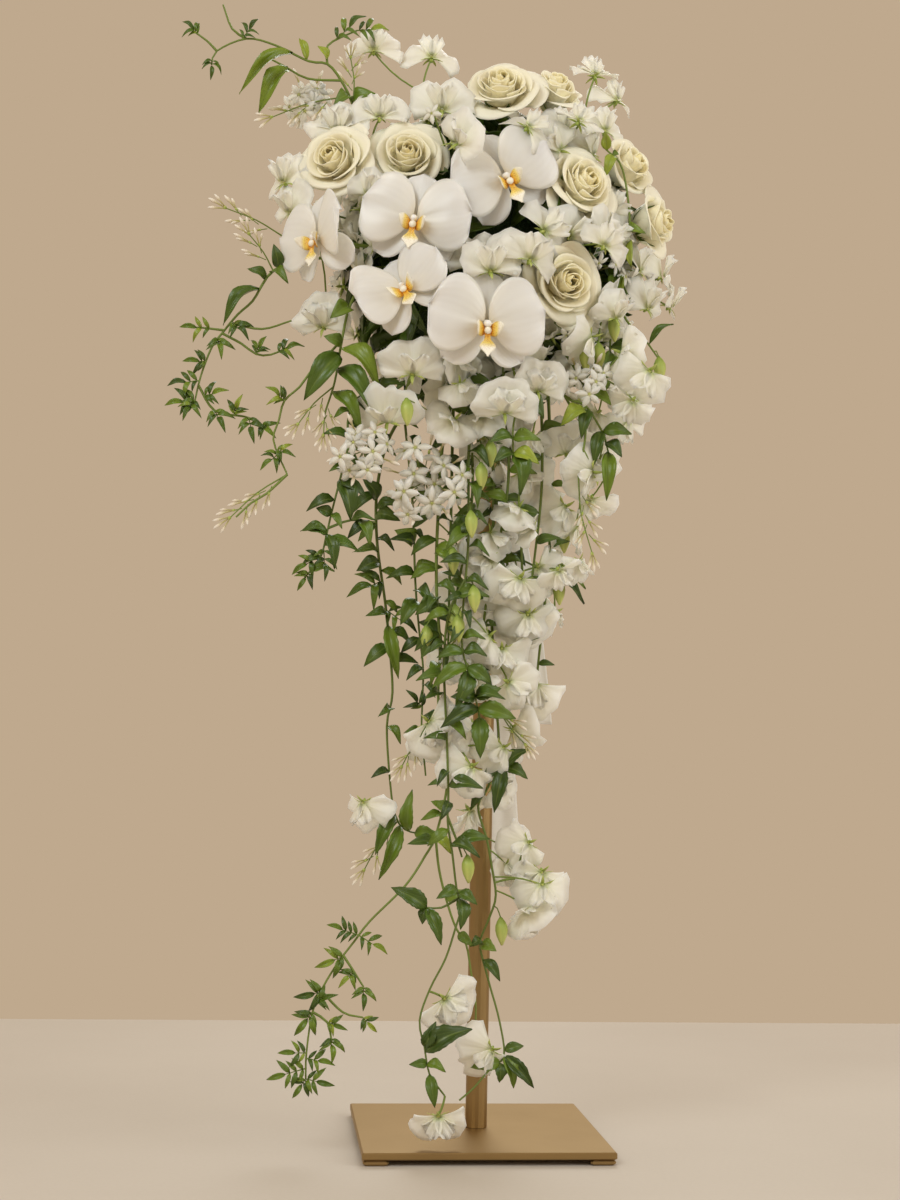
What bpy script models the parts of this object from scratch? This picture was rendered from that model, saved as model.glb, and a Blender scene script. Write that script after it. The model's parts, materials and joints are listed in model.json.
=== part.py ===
# A cascading bridal bouquet on a brass display stand.
#
# Metres, +Z up, and the flowers face -Y. Every place below is measured from
# the foot of the stand's pole, in centimetres as (right, back, up), and the
# whole is then moved by stand_offset, so that the origin is under its middle.
# Each bloom, spray, vine and piece of the stand is one closed solid.

import math
import random

import bpy
import numpy as np
from mathutils.bvhtree import BVHTree

# The stand.
plate_size = 0.250
plate_thickness = 0.007
plate_edge = 0.0012
foot_size = 0.025
foot_height = 0.0052
foot_round = 0.0018
foot_inset = 0.001
pole_radius = 0.01125
pole_top = 0.880
seat_gap = 0.0003

# Where the pole stands, from the middle of the whole object.
stand_offset = (0.0648, 0.0215)

# The green foam ball in the head, and the dome that its blooms lie on.
core_centre = np.array([-0.005, 0.0, 0.930])
core_radii = np.array([0.120, 0.095, 0.125])
core_rings = 7
core_sides = 12
stem_depth = 0.024

# Thicknesses of what grew.
petal_thickness = 0.0008
leaf_thickness = 0.0007
carve_gap = 0.00042
box_margin = 0.001

# A plant that keeps less than this share of its volume after trimming is named.
least_share = 0.97

# Stems, by how wide they are at the root and at the tip.
vine_root_width = 0.0032
branch_root_width = 0.0022
vine_tip_width = 0.0014
bloom_stem_radius = 0.0025
spray_stem_radius = 0.0016
stalk_radius = 0.0011
stalk_seat = 0.0016
step_along_vine = 0.036
stalk_bow = 0.001
bare_tip = 0.003
shoot_gap = 0.0012
shoot_clear = 0.009
shoot_shifts = (0, 0.001, -0.001, 0.002, -0.002, 0.003, -0.003, 0.0045, -0.0045, 0.006, -0.006)

# Leaves longer than this are folded along the rib. Each row of a leaf lies at
# its share of the length and has its share of the width.
large_leaf = 0.045
large_leaf_rows = ((0.30, 1.0), (0.68, 0.74))
small_leaf_rows = ((0.42, 1.0),)
leaf_arch = 0.10
leaf_fold = 0.11
leaf_tip_drop = 0.05
leaflet_width = 0.42

# The rib of a sprig, from which a pair of leaflets grows at each joint.
sprig_rib = {"half": 0.0006, "thickness": 0.0010, "joint": 0.0022, "first": 0.0025, "spare": 0.0035}
sprig_shortest = 0.0060
sprig_pair_room = 0.0055
sprig_lean = 0.6

# Slender buds, and the forking stalk that they stand on.
slender_bud = {"length": 0.021, "fat_at": 0.72, "half": 0.0013, "thickness": 0.0024, "tip": 0.0008}
spray_stalk = {
    "first": 0.22,
    "span": 0.74,
    "half": 0.0006,
    "widths": [0.0012, 0.0010],
    "depths": [0.0012, 0.0009],
}
spray_spread = {"side": 0.55, "sway": 0.2, "turn": 5.1, "drop": -0.15}

# Plump lime buds: how far their top is over the middle, and rows of (drop, width).
plump_bud = {"top": 0.011, "bow": 0.003, "stalk": 0.0012, "length": 0.022, "tip": 0.0010}
plump_bud_rows = ((0.006, 0.0105), (0.014, 0.0095))
plump_bud_hang = 0.022

# Where the stems stand in the blooms, behind the middle.
orchid_stem_depth = 0.008
rose_stem_depth = 0.018

# A spray's fork, a jasmine head's joint, and how a head's stars turn outwards.
fork_share = 0.45
fork_reach = 0.02
fork_aim = 0.7
star_joint = {"back": (0, 0.020, 0.004), "radius": 0.0028, "seat": 0.0010, "throat": 0.0015}
star_spread = 0.05
golden_turn = 2.39996

# How far a trial shoot stands off its stem, and by how much it must miss all else.
trial_start = 0.0035
trial_half = 0.0005
trial_margin = 0.0008
crossing_margin = 0.0002
near_margin = 0.0005

# The leafy stems at the back: their way round, and how their leaves stand.
back_turn = {"degrees": 38, "sway": 9, "rate": 1.7}
back_lift = 0.014
back_leaf_step = 0.030

# A rose's rims are cut into petals, with so many points round each rim.
rose_petals = 5
rose_columns = 15
closed_rose_columns = 10

# Roses narrower than this are half open, with fewer layers.
closed_rose = 0.065

# The way that the hanging vines turn their leaves: to the front and a little up.
front = np.array([0.0, -1.0, 0.2])

# The ribbon tied round the pole under the head.
ribbon_band = {"low": 0.744, "high": 0.786, "inner": 0.0125, "outer": 0.0150}
ribbon_knot = 0.018
ribbon_width = 0.034
ribbon_thickness = 0.0009

# Where its knot stands behind the pole, and how the tails leave it.
knot_side = 0.004
knot_depth = 0.49
knot_half = 0.72
tail_gap = (0.001, -0.0032)
tail_fold = 0.0035
tail_drift = 0.004
tail_gather = (0.26, 2.4)
tail_rows = 6

# Its tails: the end in cm, the side of the knot that it leaves, and how far it sways.
ribbon_tails = [((6.2, 3.6, 43.2), 1, 0.006), ((3.4, 5.6, 27.2), -1, -0.004)]

# Orchids: place in cm, degrees to the right, degrees upwards, roll, width in cm.
orchids = [
    ((-0.5, -13.5, 98), 5, 0, 28, 10.5),
    ((-9.5, -14, 93), -12, 0, -8, 10.5),
    ((-19, -11, 91.5), -48, 0, 5, 10),
    ((-10.5, -15.5, 85.5), -30, 15, 35, 9.5),
    ((-2.5, -17, 82), 5, -8, 0, 11),
]

# Roses: place in cm, degrees to the right, degrees upwards, width in cm.
roses = [
    ((0, -6.5, 110), -8, 35, 7.4),
    ((-17.5, -9, 100.5), -30, 10, 7.2),
    ((-10, -9.5, 101), -5, 15, 7.2),
    ((8, -11, 98.5), 28, 15, 7.6),
    ((6, -13, 87.5), 20, -5, 7.6),
    ((6, -3.5, 111), 20, 45, 5.6),
    ((13.6, -5.5, 102.3), 45, 20, 6.2),
    ((16.6, -5, 96.6), 55, 0, 6.0),
]

# Sweet peas, one spray a row: what carries it, then each bloom's place in cm,
# degrees to the right, degrees upwards and width in cm.
sweet_peas = {
    "sweet_pea_top": ("core", [
        ((-13.5, -4, 115), -10, 35, 4.6),
        ((-7.5, -4, 114.5), 5, 40, 4.6),
        ((-6.5, -8, 108), -5, 10, 5.4),
    ]),
    "sweet_pea_top_left": ("core", [
        ((-17.2, -7.5, 105.2), -20, 15, 5.0),
        ((-13, -8, 106.5), 0, 20, 4.6),
    ]),
    "sweet_pea_left": ("core", [
        ((-22.5, -6, 100), -45, 10, 5.0),
        ((-22, -7, 96.5), -50, -5, 4.6),
        ((-18.5, -8, 84.5), -35, -15, 5.0),
    ]),
    "sweet_pea_top_right": ("core", [
        ((10.5, -1, 114.5), 15, 55, 4.4),
        ((13, 0, 112.5), 35, 40, 4.4),
        ((6.5, -7, 106.5), 15, 25, 4.6),
        ((11, -5, 107.5), 30, 25, 4.6),
    ]),
    "sweet_pea_centre": ("core", [
        ((-3.5, -14, 90), -5, 0, 4.6),
        ((0.5, -14.5, 90.5), 10, 5, 4.6),
    ]),
    "sweet_pea_front_left": ("core", [
        ((-9.5, -15, 78.5), 0, -15, 5.0),
        ((-12, -12.5, 74), -20, -30, 5.2),
    ]),
    "sweet_pea_front": ("core", [
        ((0, -14.5, 75), 5, -25, 5.0),
        ((3.5, -13.5, 77.5), 15, -20, 4.6),
    ]),
    "sweet_pea_right": ("core", [
        ((18.5, -0.5, 93.4), 68, 5, 4.8),
        ((16.5, -4, 89), 45, -5, 5.0),
        ((20, 1, 90.5), 75, 0, 4.8),
    ]),
    "sweet_pea_right_low": ("core", [
        ((15, -3, 76.5), 40, -35, 4.8),
        ((11, -6, 70.5), 20, -20, 5.0),
        ((7.5, -7, 72.5), 10, -10, 5.0),
    ]),
    "sweet_pea_back": ("core", [
        ((-9, 11.5, 101), 200, 15, 5.0),
        ((-3, 12.5, 96), 185, 5, 5.0),
        ((4, 12.5, 90), 170, -5, 5.0),
        ((11, 9.5, 97), 150, 10, 4.8),
    ]),
    "sweet_pea_cascade_1": ("strand_right", [
        ((3.5, -7.5, 68), 0, -10, 4.8),
        ((6.5, -6.5, 64.5), 20, -20, 5.0),
    ]),
    "sweet_pea_cascade_2": ("strand_right", [
        ((-1.5, -7.5, 59), -5, -5, 4.6),
        ((2, -8.5, 56.5), 0, -20, 5.0),
        ((5.5, -6, 58.5), 25, -10, 4.6),
        ((3.5, -7, 53), 10, -30, 4.6),
    ]),
    "sweet_pea_cascade_3": ("strand_right", [
        ((1, -7, 49.5), -5, -20, 4.4),
        ((2.5, -7, 46.5), 10, -25, 4.6),
    ]),
    "sweet_pea_cascade_4": ("strand_diagonal", [
        ((-5.5, -8, 42), -10, -5, 5.0),
        ((-3, -8.5, 37.5), 5, -20, 4.8),
        ((0.5, -7, 39.5), 15, -15, 4.6),
    ]),
    "sweet_pea_cascade_5": ("strand_right", [
        ((3.5, -4, 30), 5, -15, 4.4),
        ((5.5, -3, 26.5), 20, -20, 5.0),
        ((5.5, -2.5, 23), 15, -35, 4.4),
    ]),
    "sweet_pea_low_left": ("strand_left", [((-12.5, -5.5, 33.5), -45, -20, 4.6)]),
    "sweet_pea_mid": ("strand_front", [((-3.5, -8, 14.5), 10, -10, 4.8)]),
    "sweet_pea_low": ("strand_diagonal", [((-0.5, -7.5, 9.5), 10, -60, 4.8)]),
    "sweet_pea_lowest": ("strand_front", [((-5, -11.5, 3.6), -5, -85, 4.2)]),
}

# Jasmine heads: what carries each, its middle, its half sizes in cm, how many stars.
jasmine = {
    "jasmine_front": ("strand_diagonal", (-7.5, -11, 67), (3.6, 1.4, 4.2), 9),
    "jasmine_left": ("strand_left", (-14, -13.2, 69.5), (2.6, 0.8, 2.6), 5),
    "jasmine_right": ("core", (8.5, -12, 77.5), (2.4, 1.0, 1.8), 5),
    "jasmine_top_left": ("core", (-20.5, -5.5, 108), (2.0, 1.4, 2.0), 5),
}
star_radius = 0.0138

# Leafy vines, each rooted in the foam at its first point. Leaves are given by
# root, tip and width, sprigs by root, tip, pairs of leaflets and leaflet length,
# and sprays of slender buds by root, tip and count. These roots are only near
# the stem, and each shoot grows from the nearest spot on it.
vines = {
    "vine_top_left": {
        "routes": [
            [(-12, -2, 100.5), (-15.5, -5, 107.5), (-17, -6, 110), (-18.5, -6.5, 111.5),
             (-20.5, -7, 111.5), (-24, -7, 113), (-27, -7, 113.5), (-30, -7, 112), (-30.5, -7, 110.5)],
            [(-30, -7, 112), (-31, -7, 113), (-32.5, -7, 114)],
            [(-27, -7, 113.5), (-28.5, -7, 114.5), (-29.5, -7, 117)],
            [(-18.5, -6.5, 111.5), (-18.5, -6.5, 113.5), (-16.5, -6, 115), (-15.5, -6, 115.5)],
            [(-17, -6, 110), (-20.5, -6, 110), (-23, -6.5, 111), (-25.5, -7, 112)],
        ],
        "leaves": [
            ((-22.5, -7, 111.5), (-27.5, -8.5, 107.5), 1.1),
            ((-22.5, -6.5, 111), (-25.5, -8, 106), 1.7),
            ((-20.5, -7, 112), (-21.5, -7, 114), 0.8),
            ((-18.5, -6.5, 112), (-19.5, -7.5, 113), 0.9),
            ((-16, -5, 108.5), (-17.5, -7, 107.5), 1.5),
            ((-15.5, -5, 108), (-13.5, -7, 108.5), 1.6),
        ],
        "sprigs": [
            ((-18, -6.5, 114.5), (-15, -7, 116.5), 1, 2.2),
            ((-15.5, -6, 115.5), (-12.5, -6, 115.8), 1, 2),
            ((-30.5, -7, 111), (-30.5, -7, 109.5), 1, 1.5),
            ((-27.5, -7, 113.5), (-26, -7, 115.5), 1, 1.6),
            ((-32, -7, 113.5), (-33, -7, 114.5), 1, 1.6),
        ],
        "buds": [],
        "sprays": [
            ((-16.5, -5, 108.5), (-24, -6.5, 105.5), 4),
            ((-15.5, -5, 108), (-16, -4.5, 113), 4),
        ],
    },
    "vine_left_upper": {
        "routes": [
            [(-15.5, -3, 92), (-21, -6, 90.5), (-23.5, -7, 89), (-24.5, -7.5, 87.5), (-25.5, -8, 85.5),
             (-27, -8, 84), (-28.5, -8, 82), (-29.5, -8, 80.5), (-30.5, -8, 77.5), (-31, -8, 75)],
            [(-28.5, -8, 82.5), (-30.5, -8, 82.5), (-31.5, -8, 82.5)],
            [(-27.5, -8, 83), (-24.5, -8.5, 82.5), (-21.5, -8.5, 83.5)],
            [(-28.5, -8, 82), (-26.5, -8, 81), (-25, -8, 80), (-23.5, -8, 80), (-21.5, -8, 81)],
            [(-30.5, -8, 76.5), (-29, -8, 74), (-26, -8, 73.5), (-24.5, -8, 73), (-23.5, -8, 72)],
            [(-15.5, -3, 92), (-19, -4.5, 92.8), (-22.5, -5, 93.2)],
        ],
        "leaves": [
            ((-25, -8, 87), (-28.5, -9, 83), 1.3),
            ((-24, -7.5, 88), (-26, -8, 89), 1),
            ((-23, -7, 89.5), (-23.5, -8, 91.5), 1.2),
            ((-23.5, -7, 88.5), (-22, -9, 87.5), 1.2),
        ],
        "sprigs": [
            ((-29.5, -8, 82.5), (-32.5, -8, 82.5), 1, 1.8),
            ((-27.5, -8, 83), (-26, -9, 81.5), 1, 2),
            ((-29, -8, 81.5), (-28.5, -9, 79.5), 1, 2),
            ((-25, -8, 80), (-24.5, -8, 81), 1, 1.6),
            ((-23, -8, 80.5), (-20.5, -8, 81), 1, 2),
            ((-30, -8, 79), (-32, -8, 79), 1, 1.8),
            ((-30.5, -8, 77), (-33.5, -8, 76.5), 1, 2),
            ((-31, -8, 75), (-33.5, -8, 74.5), 2, 2),
            ((-31, -8, 75), (-32, -9, 73), 1, 1.8),
            ((-30, -8, 75.5), (-28, -8.5, 76), 1, 1.8),
            ((-29, -8, 74), (-28, -9, 72), 1, 2),
            ((-27, -8, 73.5), (-26.5, -8.5, 75), 1, 1.7),
            ((-25.5, -8, 73.5), (-25, -9, 71), 1, 2),
            ((-24, -8, 73), (-23, -9, 71.5), 1, 1.8),
        ],
        "buds": [],
        "sprays": [
            ((-22.5, -5, 93.2), (-28.5, -6.5, 95.5), 4),
            ((-23.5, -7, 89), (-26, -7.5, 92.5), 3),
        ],
    },
    "vine_left_mid": {
        "routes": [
            [(-13, -4, 90), (-15.5, -9, 85.5), (-16.5, -10, 80.5), (-17, -10, 77), (-18, -10, 73.5)],
            [(-16.5, -10, 81.5), (-18.5, -9.5, 79), (-19.5, -9.5, 78), (-20.5, -9.5, 76.5),
             (-22, -9.5, 75), (-22.5, -9.5, 73), (-23, -9.5, 71), (-22, -9.5, 68.5),
             (-21.5, -9.5, 67.5)],
            [(-21.5, -9.5, 67.5), (-23.5, -9.5, 65.5), (-25, -9.5, 64.5), (-26.5, -9.5, 63)],
        ],
        "leaves": [
            ((-17, -10, 80), (-20, -11.5, 75), 2.2),
            ((-16.5, -10, 81), (-18, -11, 81.5), 1.3),
            ((-16.5, -10, 80.5), (-12.5, -12, 76.5), 2),
            ((-17, -10, 78.5), (-13, -12, 74), 2),
            ((-17, -10, 76), (-14, -11.5, 72), 1.5),
            ((-16, -9, 85), (-17.5, -11, 83.5), 1.7),
        ],
        "sprigs": [
            ((-22.5, -9.5, 70), (-21.5, -10, 69.5), 1, 1.6),
            ((-22.5, -9.5, 69.5), (-24, -10, 68), 1, 1.7),
            ((-22, -9.5, 75), (-23.5, -10, 76), 1, 1.8),
        ],
        "buds": [],
        "sprays": [
            ((-21.5, -9.5, 67.5), (-27, -9.5, 63), 6),
            ((-17, -10, 76.5), (-20.5, -11, 72.5), 3),
            ((-17.5, -10, 75.5), (-18, -11, 71.5), 3),
        ],
    },
    "strand_left": {
        "routes": [
            [(-5.5, -4, 80), (-10.5, -5, 73.5), (-12, -4, 68), (-12, -4, 62), (-11, -4, 55.5),
             (-10.5, -4, 51.5), (-10, -4, 46), (-10.5, -4, 42.5), (-10, -4, 36.5), (-9.5, -4.5, 33.5),
             (-8.5, -5, 32), (-6.5, -5.5, 31.5)],
            [(-9.5, -5, 75), (-8.5, -5.5, 66), (-8, -5.5, 57.5), (-7.5, -5.5, 52.5), (-7, -5.5, 48.5),
             (-7, -5.5, 45), (-7, -5.5, 42), (-6.5, -5.5, 37.5)],
            [(-5.5, -4, 80), (-14, -9.5, 76), (-15.5, -10.5, 73.5), (-15.5, -10.5, 70.5),
             (-16, -10.5, 68), (-17, -10.5, 63.5), (-17.5, -10.5, 61), (-18, -10.5, 59),
             (-19.5, -10.5, 57)],
            [(-17, -10.5, 62), (-15, -10, 63), (-12.5, -9, 63)],
        ],
        "leaves": [
            ((-10.5, -4, 53), (-9.5, -5, 47.5), 1.4),
            ((-9.5, -4.5, 33.5), (-11.5, -5.5, 29.5), 1.4),
            ((-9, -5, 32.5), (-11, -6, 27), 1.4),
            ((-8, -5, 32), (-8, -6, 36), 1.4),
            ((-7.5, -5.5, 32), (-5, -6.5, 31.5), 1.3),
            ((-12, -4, 66), (-13.5, -5, 68), 1.6),
            ((-12, -4, 59.5), (-14, -5, 58.5), 1.5),
            ((-8, -5.5, 61.5), (-10, -7, 62.5), 1.8),
            ((-8, -5.5, 58), (-5.5, -7, 59), 1.7),
            ((-8, -5.5, 55.5), (-9.5, -7, 53), 1.6),
            ((-12, -4, 64.5), (-10, -5.5, 64), 1.6),
            ((-16, -10.5, 67), (-15, -11.5, 63), 1.8),
            ((-17, -10.5, 63.5), (-18.5, -11, 64), 1.1),
            ((-17.5, -10.5, 61.5), (-19.5, -11, 62), 1.1),
            ((-17.5, -10.5, 61.5), (-16.5, -11.5, 58), 1.2),
            ((-14, -10, 63), (-13, -11, 60.5), 1.2),
        ],
        "sprigs": [
            ((-11.5, -4, 57.5), (-14.5, -5, 56), 1, 3),
            ((-11, -4, 54.5), (-8, -5, 52.5), 1, 2.4),
            ((-7, -5.5, 44.5), (-8.5, -6, 46), 1, 1.8),
            ((-18, -10.5, 59.5), (-20.5, -10.5, 57.5), 1, 1.9),
            ((-17.5, -10.5, 60), (-17.5, -11.5, 57), 1, 1.8),
            ((-19, -10.5, 57.5), (-20, -10.5, 56), 1, 1.6),
        ],
        "buds": [],
        "sprays": [
            ((-7, -5.5, 41.5), (-9, -6.5, 38.5), 3),
            ((-9, -5, 33), (-12.5, -5.5, 28), 4),
        ],
    },
    "strand_diagonal": {
        "routes": [
            [(-3.5, -5, 79.5), (-5.5, -7.5, 73), (-6, -7.5, 63.5), (-6, -7.5, 57), (-5.5, -7.5, 50.5),
             (-5.5, -7, 45), (-4.5, -7, 39), (-4.5, -7, 36), (-5.5, -7, 31.5), (-6.5, -7, 29.5),
             (-8.5, -7.5, 26.5), (-12, -8, 23), (-13.5, -8, 21), (-15, -8, 19), (-16.5, -8, 16.5),
             (-17.5, -8, 14), (-18, -8, 10), (-18, -8, 7.5)],
            [(-5.5, -7, 31.5), (-5, -6.5, 28), (-4, -6, 24.5), (-3, -5.5, 22), (-2, -5.5, 20.5),
             (-1.5, -5.5, 18), (-1, -6, 15), (-1, -6.5, 12.5)],
            [(-16.5, -8, 16), (-14.5, -8, 14), (-12.5, -8, 13.5)],
            [(-17.5, -8, 14), (-16, -8, 13), (-15.5, -8, 11)],
            [(-14.5, -8, 19.5), (-13.5, -8, 18), (-12.5, -8, 16.5)],
        ],
        "leaves": [
            ((-6, -7.5, 61), (-4, -8.5, 59.5), 1.5),
            ((-6, -7.5, 55.5), (-8, -8.5, 54), 1.5),
            ((-6, -7.5, 51.5), (-7.5, -8.5, 49.5), 1.4),
            ((-5, -7, 34), (-6, -8, 35), 1.2),
            ((-5.5, -7, 31.5), (-4, -8, 30), 1.1),
            ((-4.5, -6, 25), (-2, -7, 26), 1.2),
            ((-3, -5.5, 21.5), (-1.5, -6.5, 20.5), 1),
        ],
        "sprigs": [
            ((-13, -8, 21.5), (-16, -8, 22.5), 2, 1.7),
            ((-13, -8, 21.5), (-10.5, -8.5, 20), 1, 1.8),
            ((-14.5, -8, 19.5), (-17, -8, 18.5), 1, 2.2),
            ((-13.5, -8, 18), (-14.5, -8.5, 17), 1, 1.7),
            ((-12.5, -8, 16.5), (-12.5, -8.5, 15), 1, 1.8),
            ((-16.5, -8, 16), (-19, -8, 15.5), 1, 2.2),
            ((-17, -8, 15), (-16, -8.5, 15.5), 1, 1.8),
            ((-17.5, -8, 14), (-19, -8, 12), 1, 2.2),
            ((-12.5, -8, 13.5), (-11.5, -8, 12.5), 1, 1.5),
            ((-15.5, -8, 11.5), (-15.5, -8.5, 10), 1, 1.9),
            ((-16, -8, 13), (-14.5, -8.5, 12.5), 1, 1.6),
            ((-18, -8, 10), (-20.5, -8, 10), 1, 1.8),
            ((-18, -8, 9.5), (-15.5, -8.5, 9), 1, 1.8),
            ((-18, -8, 8.5), (-21.5, -8, 7.5), 2, 2),
            ((-18, -8, 7.5), (-19, -8, 6), 1, 1.7),
            ((-18, -8, 7.5), (-15.5, -8.5, 7), 1, 1.9),
        ],
        "buds": [(-4.5, -8.5, 59.5), (-4.5, -8.5, 53), (-7, -8, 51.5), (-10, -14.5, 73.5)],
        "sprays": [],
    },
    "strand_front": {
        "routes": [
            [(-1, -6, 79.5), (-3, -9, 72), (-3, -9.5, 61.5), (-3.5, -9.5, 51.5), (-2.5, -9.5, 47.5),
             (-2, -9.5, 45.5), (-1.5, -9.5, 43.5)],
            [(-3, -9.5, 57.5), (-4.8, -9.2, 54), (-5.2, -9, 49), (-4.8, -9, 42), (-4.5, -9, 36),
             (-4.5, -9, 33), (-4, -9, 30), (-3.5, -9, 26.5), (-3, -9, 24.5),
             (-3.5, -9, 22.5), (-4.5, -9.5, 19.5), (-6, -9.5, 16.5),
             (-7, -10, 13.5), (-6.5, -10.5, 11), (-6, -11, 8.5), (-4.5, -11.5, 6.5)],
            [(-4.5, -9, 33.5), (-3.5, -9, 31), (-3, -9, 29.5)],
            [(-3, -9, 25.5), (-5, -9.5, 24.5), (-6.5, -9.5, 24.5)],
        ],
        "leaves": [
            ((-3.5, -9.5, 50), (-6, -10, 49.5), 1.3),
            ((-3.5, -9.5, 50), (-1, -10, 50), 1.3),
            ((-3, -9.5, 48.5), (-6.5, -10.5, 46.5), 1.5),
            ((-3, -9.5, 48.5), (-0.5, -10, 47), 1.5),
            ((-3, -9.5, 48), (-4, -10.5, 44.5), 1.7),
            ((-2, -9.5, 45.5), (-4.5, -10.5, 45.5), 1.4),
            ((-2, -9.5, 45.5), (0.5, -10, 46.5), 1.5),
            ((-1.5, -9.5, 44.5), (-5.5, -10.5, 42.5), 1.6),
            ((-1.5, -9.5, 44.5), (2, -10.5, 43.5), 1.7),
            ((-1.5, -9.5, 43.5), (-1.5, -10.5, 39.5), 1.7),
            ((-3, -9.5, 63.5), (-5, -10.5, 62), 1.6),
            ((-6.5, -9.5, 24.5), (-10, -10, 26.5), 1.7),
            ((-6.5, -9.5, 24.5), (-5, -10.5, 21), 1.3),
            ((-6.5, -9.5, 24.5), (-7, -10, 23), 1),
            ((-3, -9, 26.5), (-5.5, -10, 25.5), 1.2),
            ((-3, -9, 25.5), (-3, -10, 22.5), 1.4),
            ((-3, -9, 26), (-1.5, -10, 25), 1.2),
            ((-6.5, -10.5, 11), (-5.5, -11, 13.5), 1.3),
            ((-6.5, -10.5, 10.5), (-2, -11, 13), 2.1),
            ((-6.5, -11, 9.5), (-4.5, -11.5, 9), 1),
            ((-6.5, -11, 9.5), (-8, -11.5, 9.5), 0.9),
            ((-6, -11, 8.5), (-5.5, -12, 5.5), 1.1),
        ],
        "sprigs": [],
        "buds": [(-1, -9.5, 70.5), (-2, -10.5, 68), (-3, -11, 63), (-2.5, -10.5, 55.5),
                 (-4, -10, 52.5), (-2.5, -9.5, 28.5)],
        "sprays": [],
    },
    "strand_right": {
        "routes": [
            [(1.5, -4, 80), (0.5, -5, 70), (0, -5, 62), (0, -5, 55), (0.5, -5, 47), (1, -5, 40.5),
             (0, -5, 36.5), (-1, -5, 34.5), (0, -5, 31), (0.5, -5, 28.5), (1, -5, 25.5),
             (0.5, -5, 23.5), (-0.5, -5, 21), (-0.5, -5, 20), (0.5, -5, 16.5), (1.5, -5.5, 13),
             (2, -6, 9.5), (0.5, -7.5, 8.5), (-1.5, -10, 7), (-3, -11, 6)],
            [(0, -5, 62), (3.5, -4.5, 60), (6, -4.5, 59)],
            [(1, -5, 40), (1.5, -5.5, 38.5)],
        ],
        "leaves": [
            ((6, -4.5, 59), (10, -5, 57.5), 1.2),
            ((6, -4.5, 59), (10, -5, 56), 1),
            ((1.5, -5.5, 38.5), (4, -6, 40.5), 1.3),
            ((1.5, -5.5, 38.5), (4, -6, 37.5), 1.3),
            ((1.5, -5.5, 38.5), (0.5, -6.5, 34), 1.5),
            ((-0.5, -5, 20.5), (1, -6, 20), 1.3),
            ((0, -5, 19), (1.5, -6, 17), 1.1),
            ((-0.5, -5, 21), (-1.5, -6, 20.5), 1),
            ((2, -6, 10), (4, -6, 10.5), 1),
            ((1.5, -6.5, 9), (-1.5, -7, 8.5), 1.3),
            ((1.5, -6.5, 8.5), (1.5, -7, 7), 1.2),
            ((2, -6, 9.5), (3, -7, 6.5), 1.3),
            ((2, -6, 9.5), (5, -7, 6.5), 1.3),
        ],
        "sprigs": [],
        "buds": [(7, -5, 57), (7.5, -4.5, 62.5), (1.5, -5.5, 22)],
        "sprays": [
            ((0.5, -5, 45), (3.5, -6.5, 41), 3),
        ],
    },
    "vine_right_low": {
        "routes": [
            [(5, -5, 82.5), (6.5, -10.5, 76.5), (8.5, -11, 75.5), (10.5, -10, 73), (11, -9.5, 72),
             (11.5, -9.5, 70)],
            [(6, -9, 79), (2, -12, 75.5), (1, -12.5, 73), (1, -12.5, 70)],
            [(8.5, -11, 75.5), (9.5, -11, 77), (10.5, -10, 78.5)],
            [(8.5, -11, 75.5), (8.5, -11.5, 72), (8, -10.5, 68.5)],
        ],
        "leaves": [
            ((11, -9.5, 71), (11, -10.5, 66), 1.4),
            ((10.5, -10, 73), (13.5, -10.5, 73), 1.3),
            ((11, -9.5, 72), (12.5, -10.5, 70.5), 1.3),
            ((10.5, -10, 73), (9.5, -11, 69.5), 1.3),
            ((8.5, -11, 75), (6, -12, 73.5), 1.6),
            ((9, -11, 75), (8, -12, 72), 1.3),
            ((1, -12.5, 71.5), (-1.5, -13.5, 71), 1.3),
            ((1, -12.5, 71.5), (3.5, -13.5, 71.5), 1.3),
            ((1, -12.5, 70), (-1, -13.5, 69), 1.3),
            ((1, -12.5, 70), (3.5, -13.5, 69), 1.4),
            ((1, -12.5, 70), (2, -13.5, 66), 1.6),
            ((10.5, -10, 78.5), (10, -11, 76.5), 1.2),
            ((9.5, -11, 77), (11, -12, 75.5), 1.1),
            ((2.5, -12, 76), (4, -13, 74), 1.5),
        ],
        "sprigs": [],
        "buds": [],
        "sprays": [
            ((8, -10.5, 68.5), (9.5, -10.5, 60.5), 5),
        ],
    },
    "vine_right_upper": {
        "routes": [
            [(12.6, -4.5, 92.5), (12.4, -7, 88.5), (13.5, -7, 85.5), (15.5, -7, 83.5), (17, -7, 81.5)],
            [(12.5, -7, 87), (12, -6, 83.5), (12.5, -5, 81), (13.5, -4.5, 79)],
            [(12, -7, 88.5), (10.5, -9, 85), (10, -10, 82)],
            [(12.6, -4.5, 92.5), (13.6, -7.5, 95), (12.5, -9, 101), (10.5, -9.5, 103)],
        ],
        "leaves": [
            ((12, -7, 91), (11.5, -8.5, 87), 1.3),
            ((13, -7, 90.5), (12.5, -8.5, 87), 1.2),
            ((12, -7.5, 92.5), (13.5, -9, 91), 1.4),
            ((12, -7, 88.5), (10, -9, 86.5), 1.3),
            ((12, -5.5, 82.5), (11, -7, 78), 1.3),
            ((12.5, -5.5, 83), (15, -6.5, 82), 1.5),
            ((16, -7, 83), (18.5, -7, 85.5), 0.7),
            ((11.5, -8, 94.5), (14.5, -9.5, 94.5), 1.1),
            ((10.5, -9.5, 102.5), (10.5, -10, 104.5), 1),
            ((11, -9, 102), (12, -9.5, 102.5), 0.8),
            ((11, -9, 102), (10.5, -10, 100), 1.1),
        ],
        "sprigs": [],
        "buds": [(17, -7, 80.5), (10, -10, 81), (8.5, -10.5, 80.5), (12, -7.5, 84.5)],
        "sprays": [],
    },
}

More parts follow.
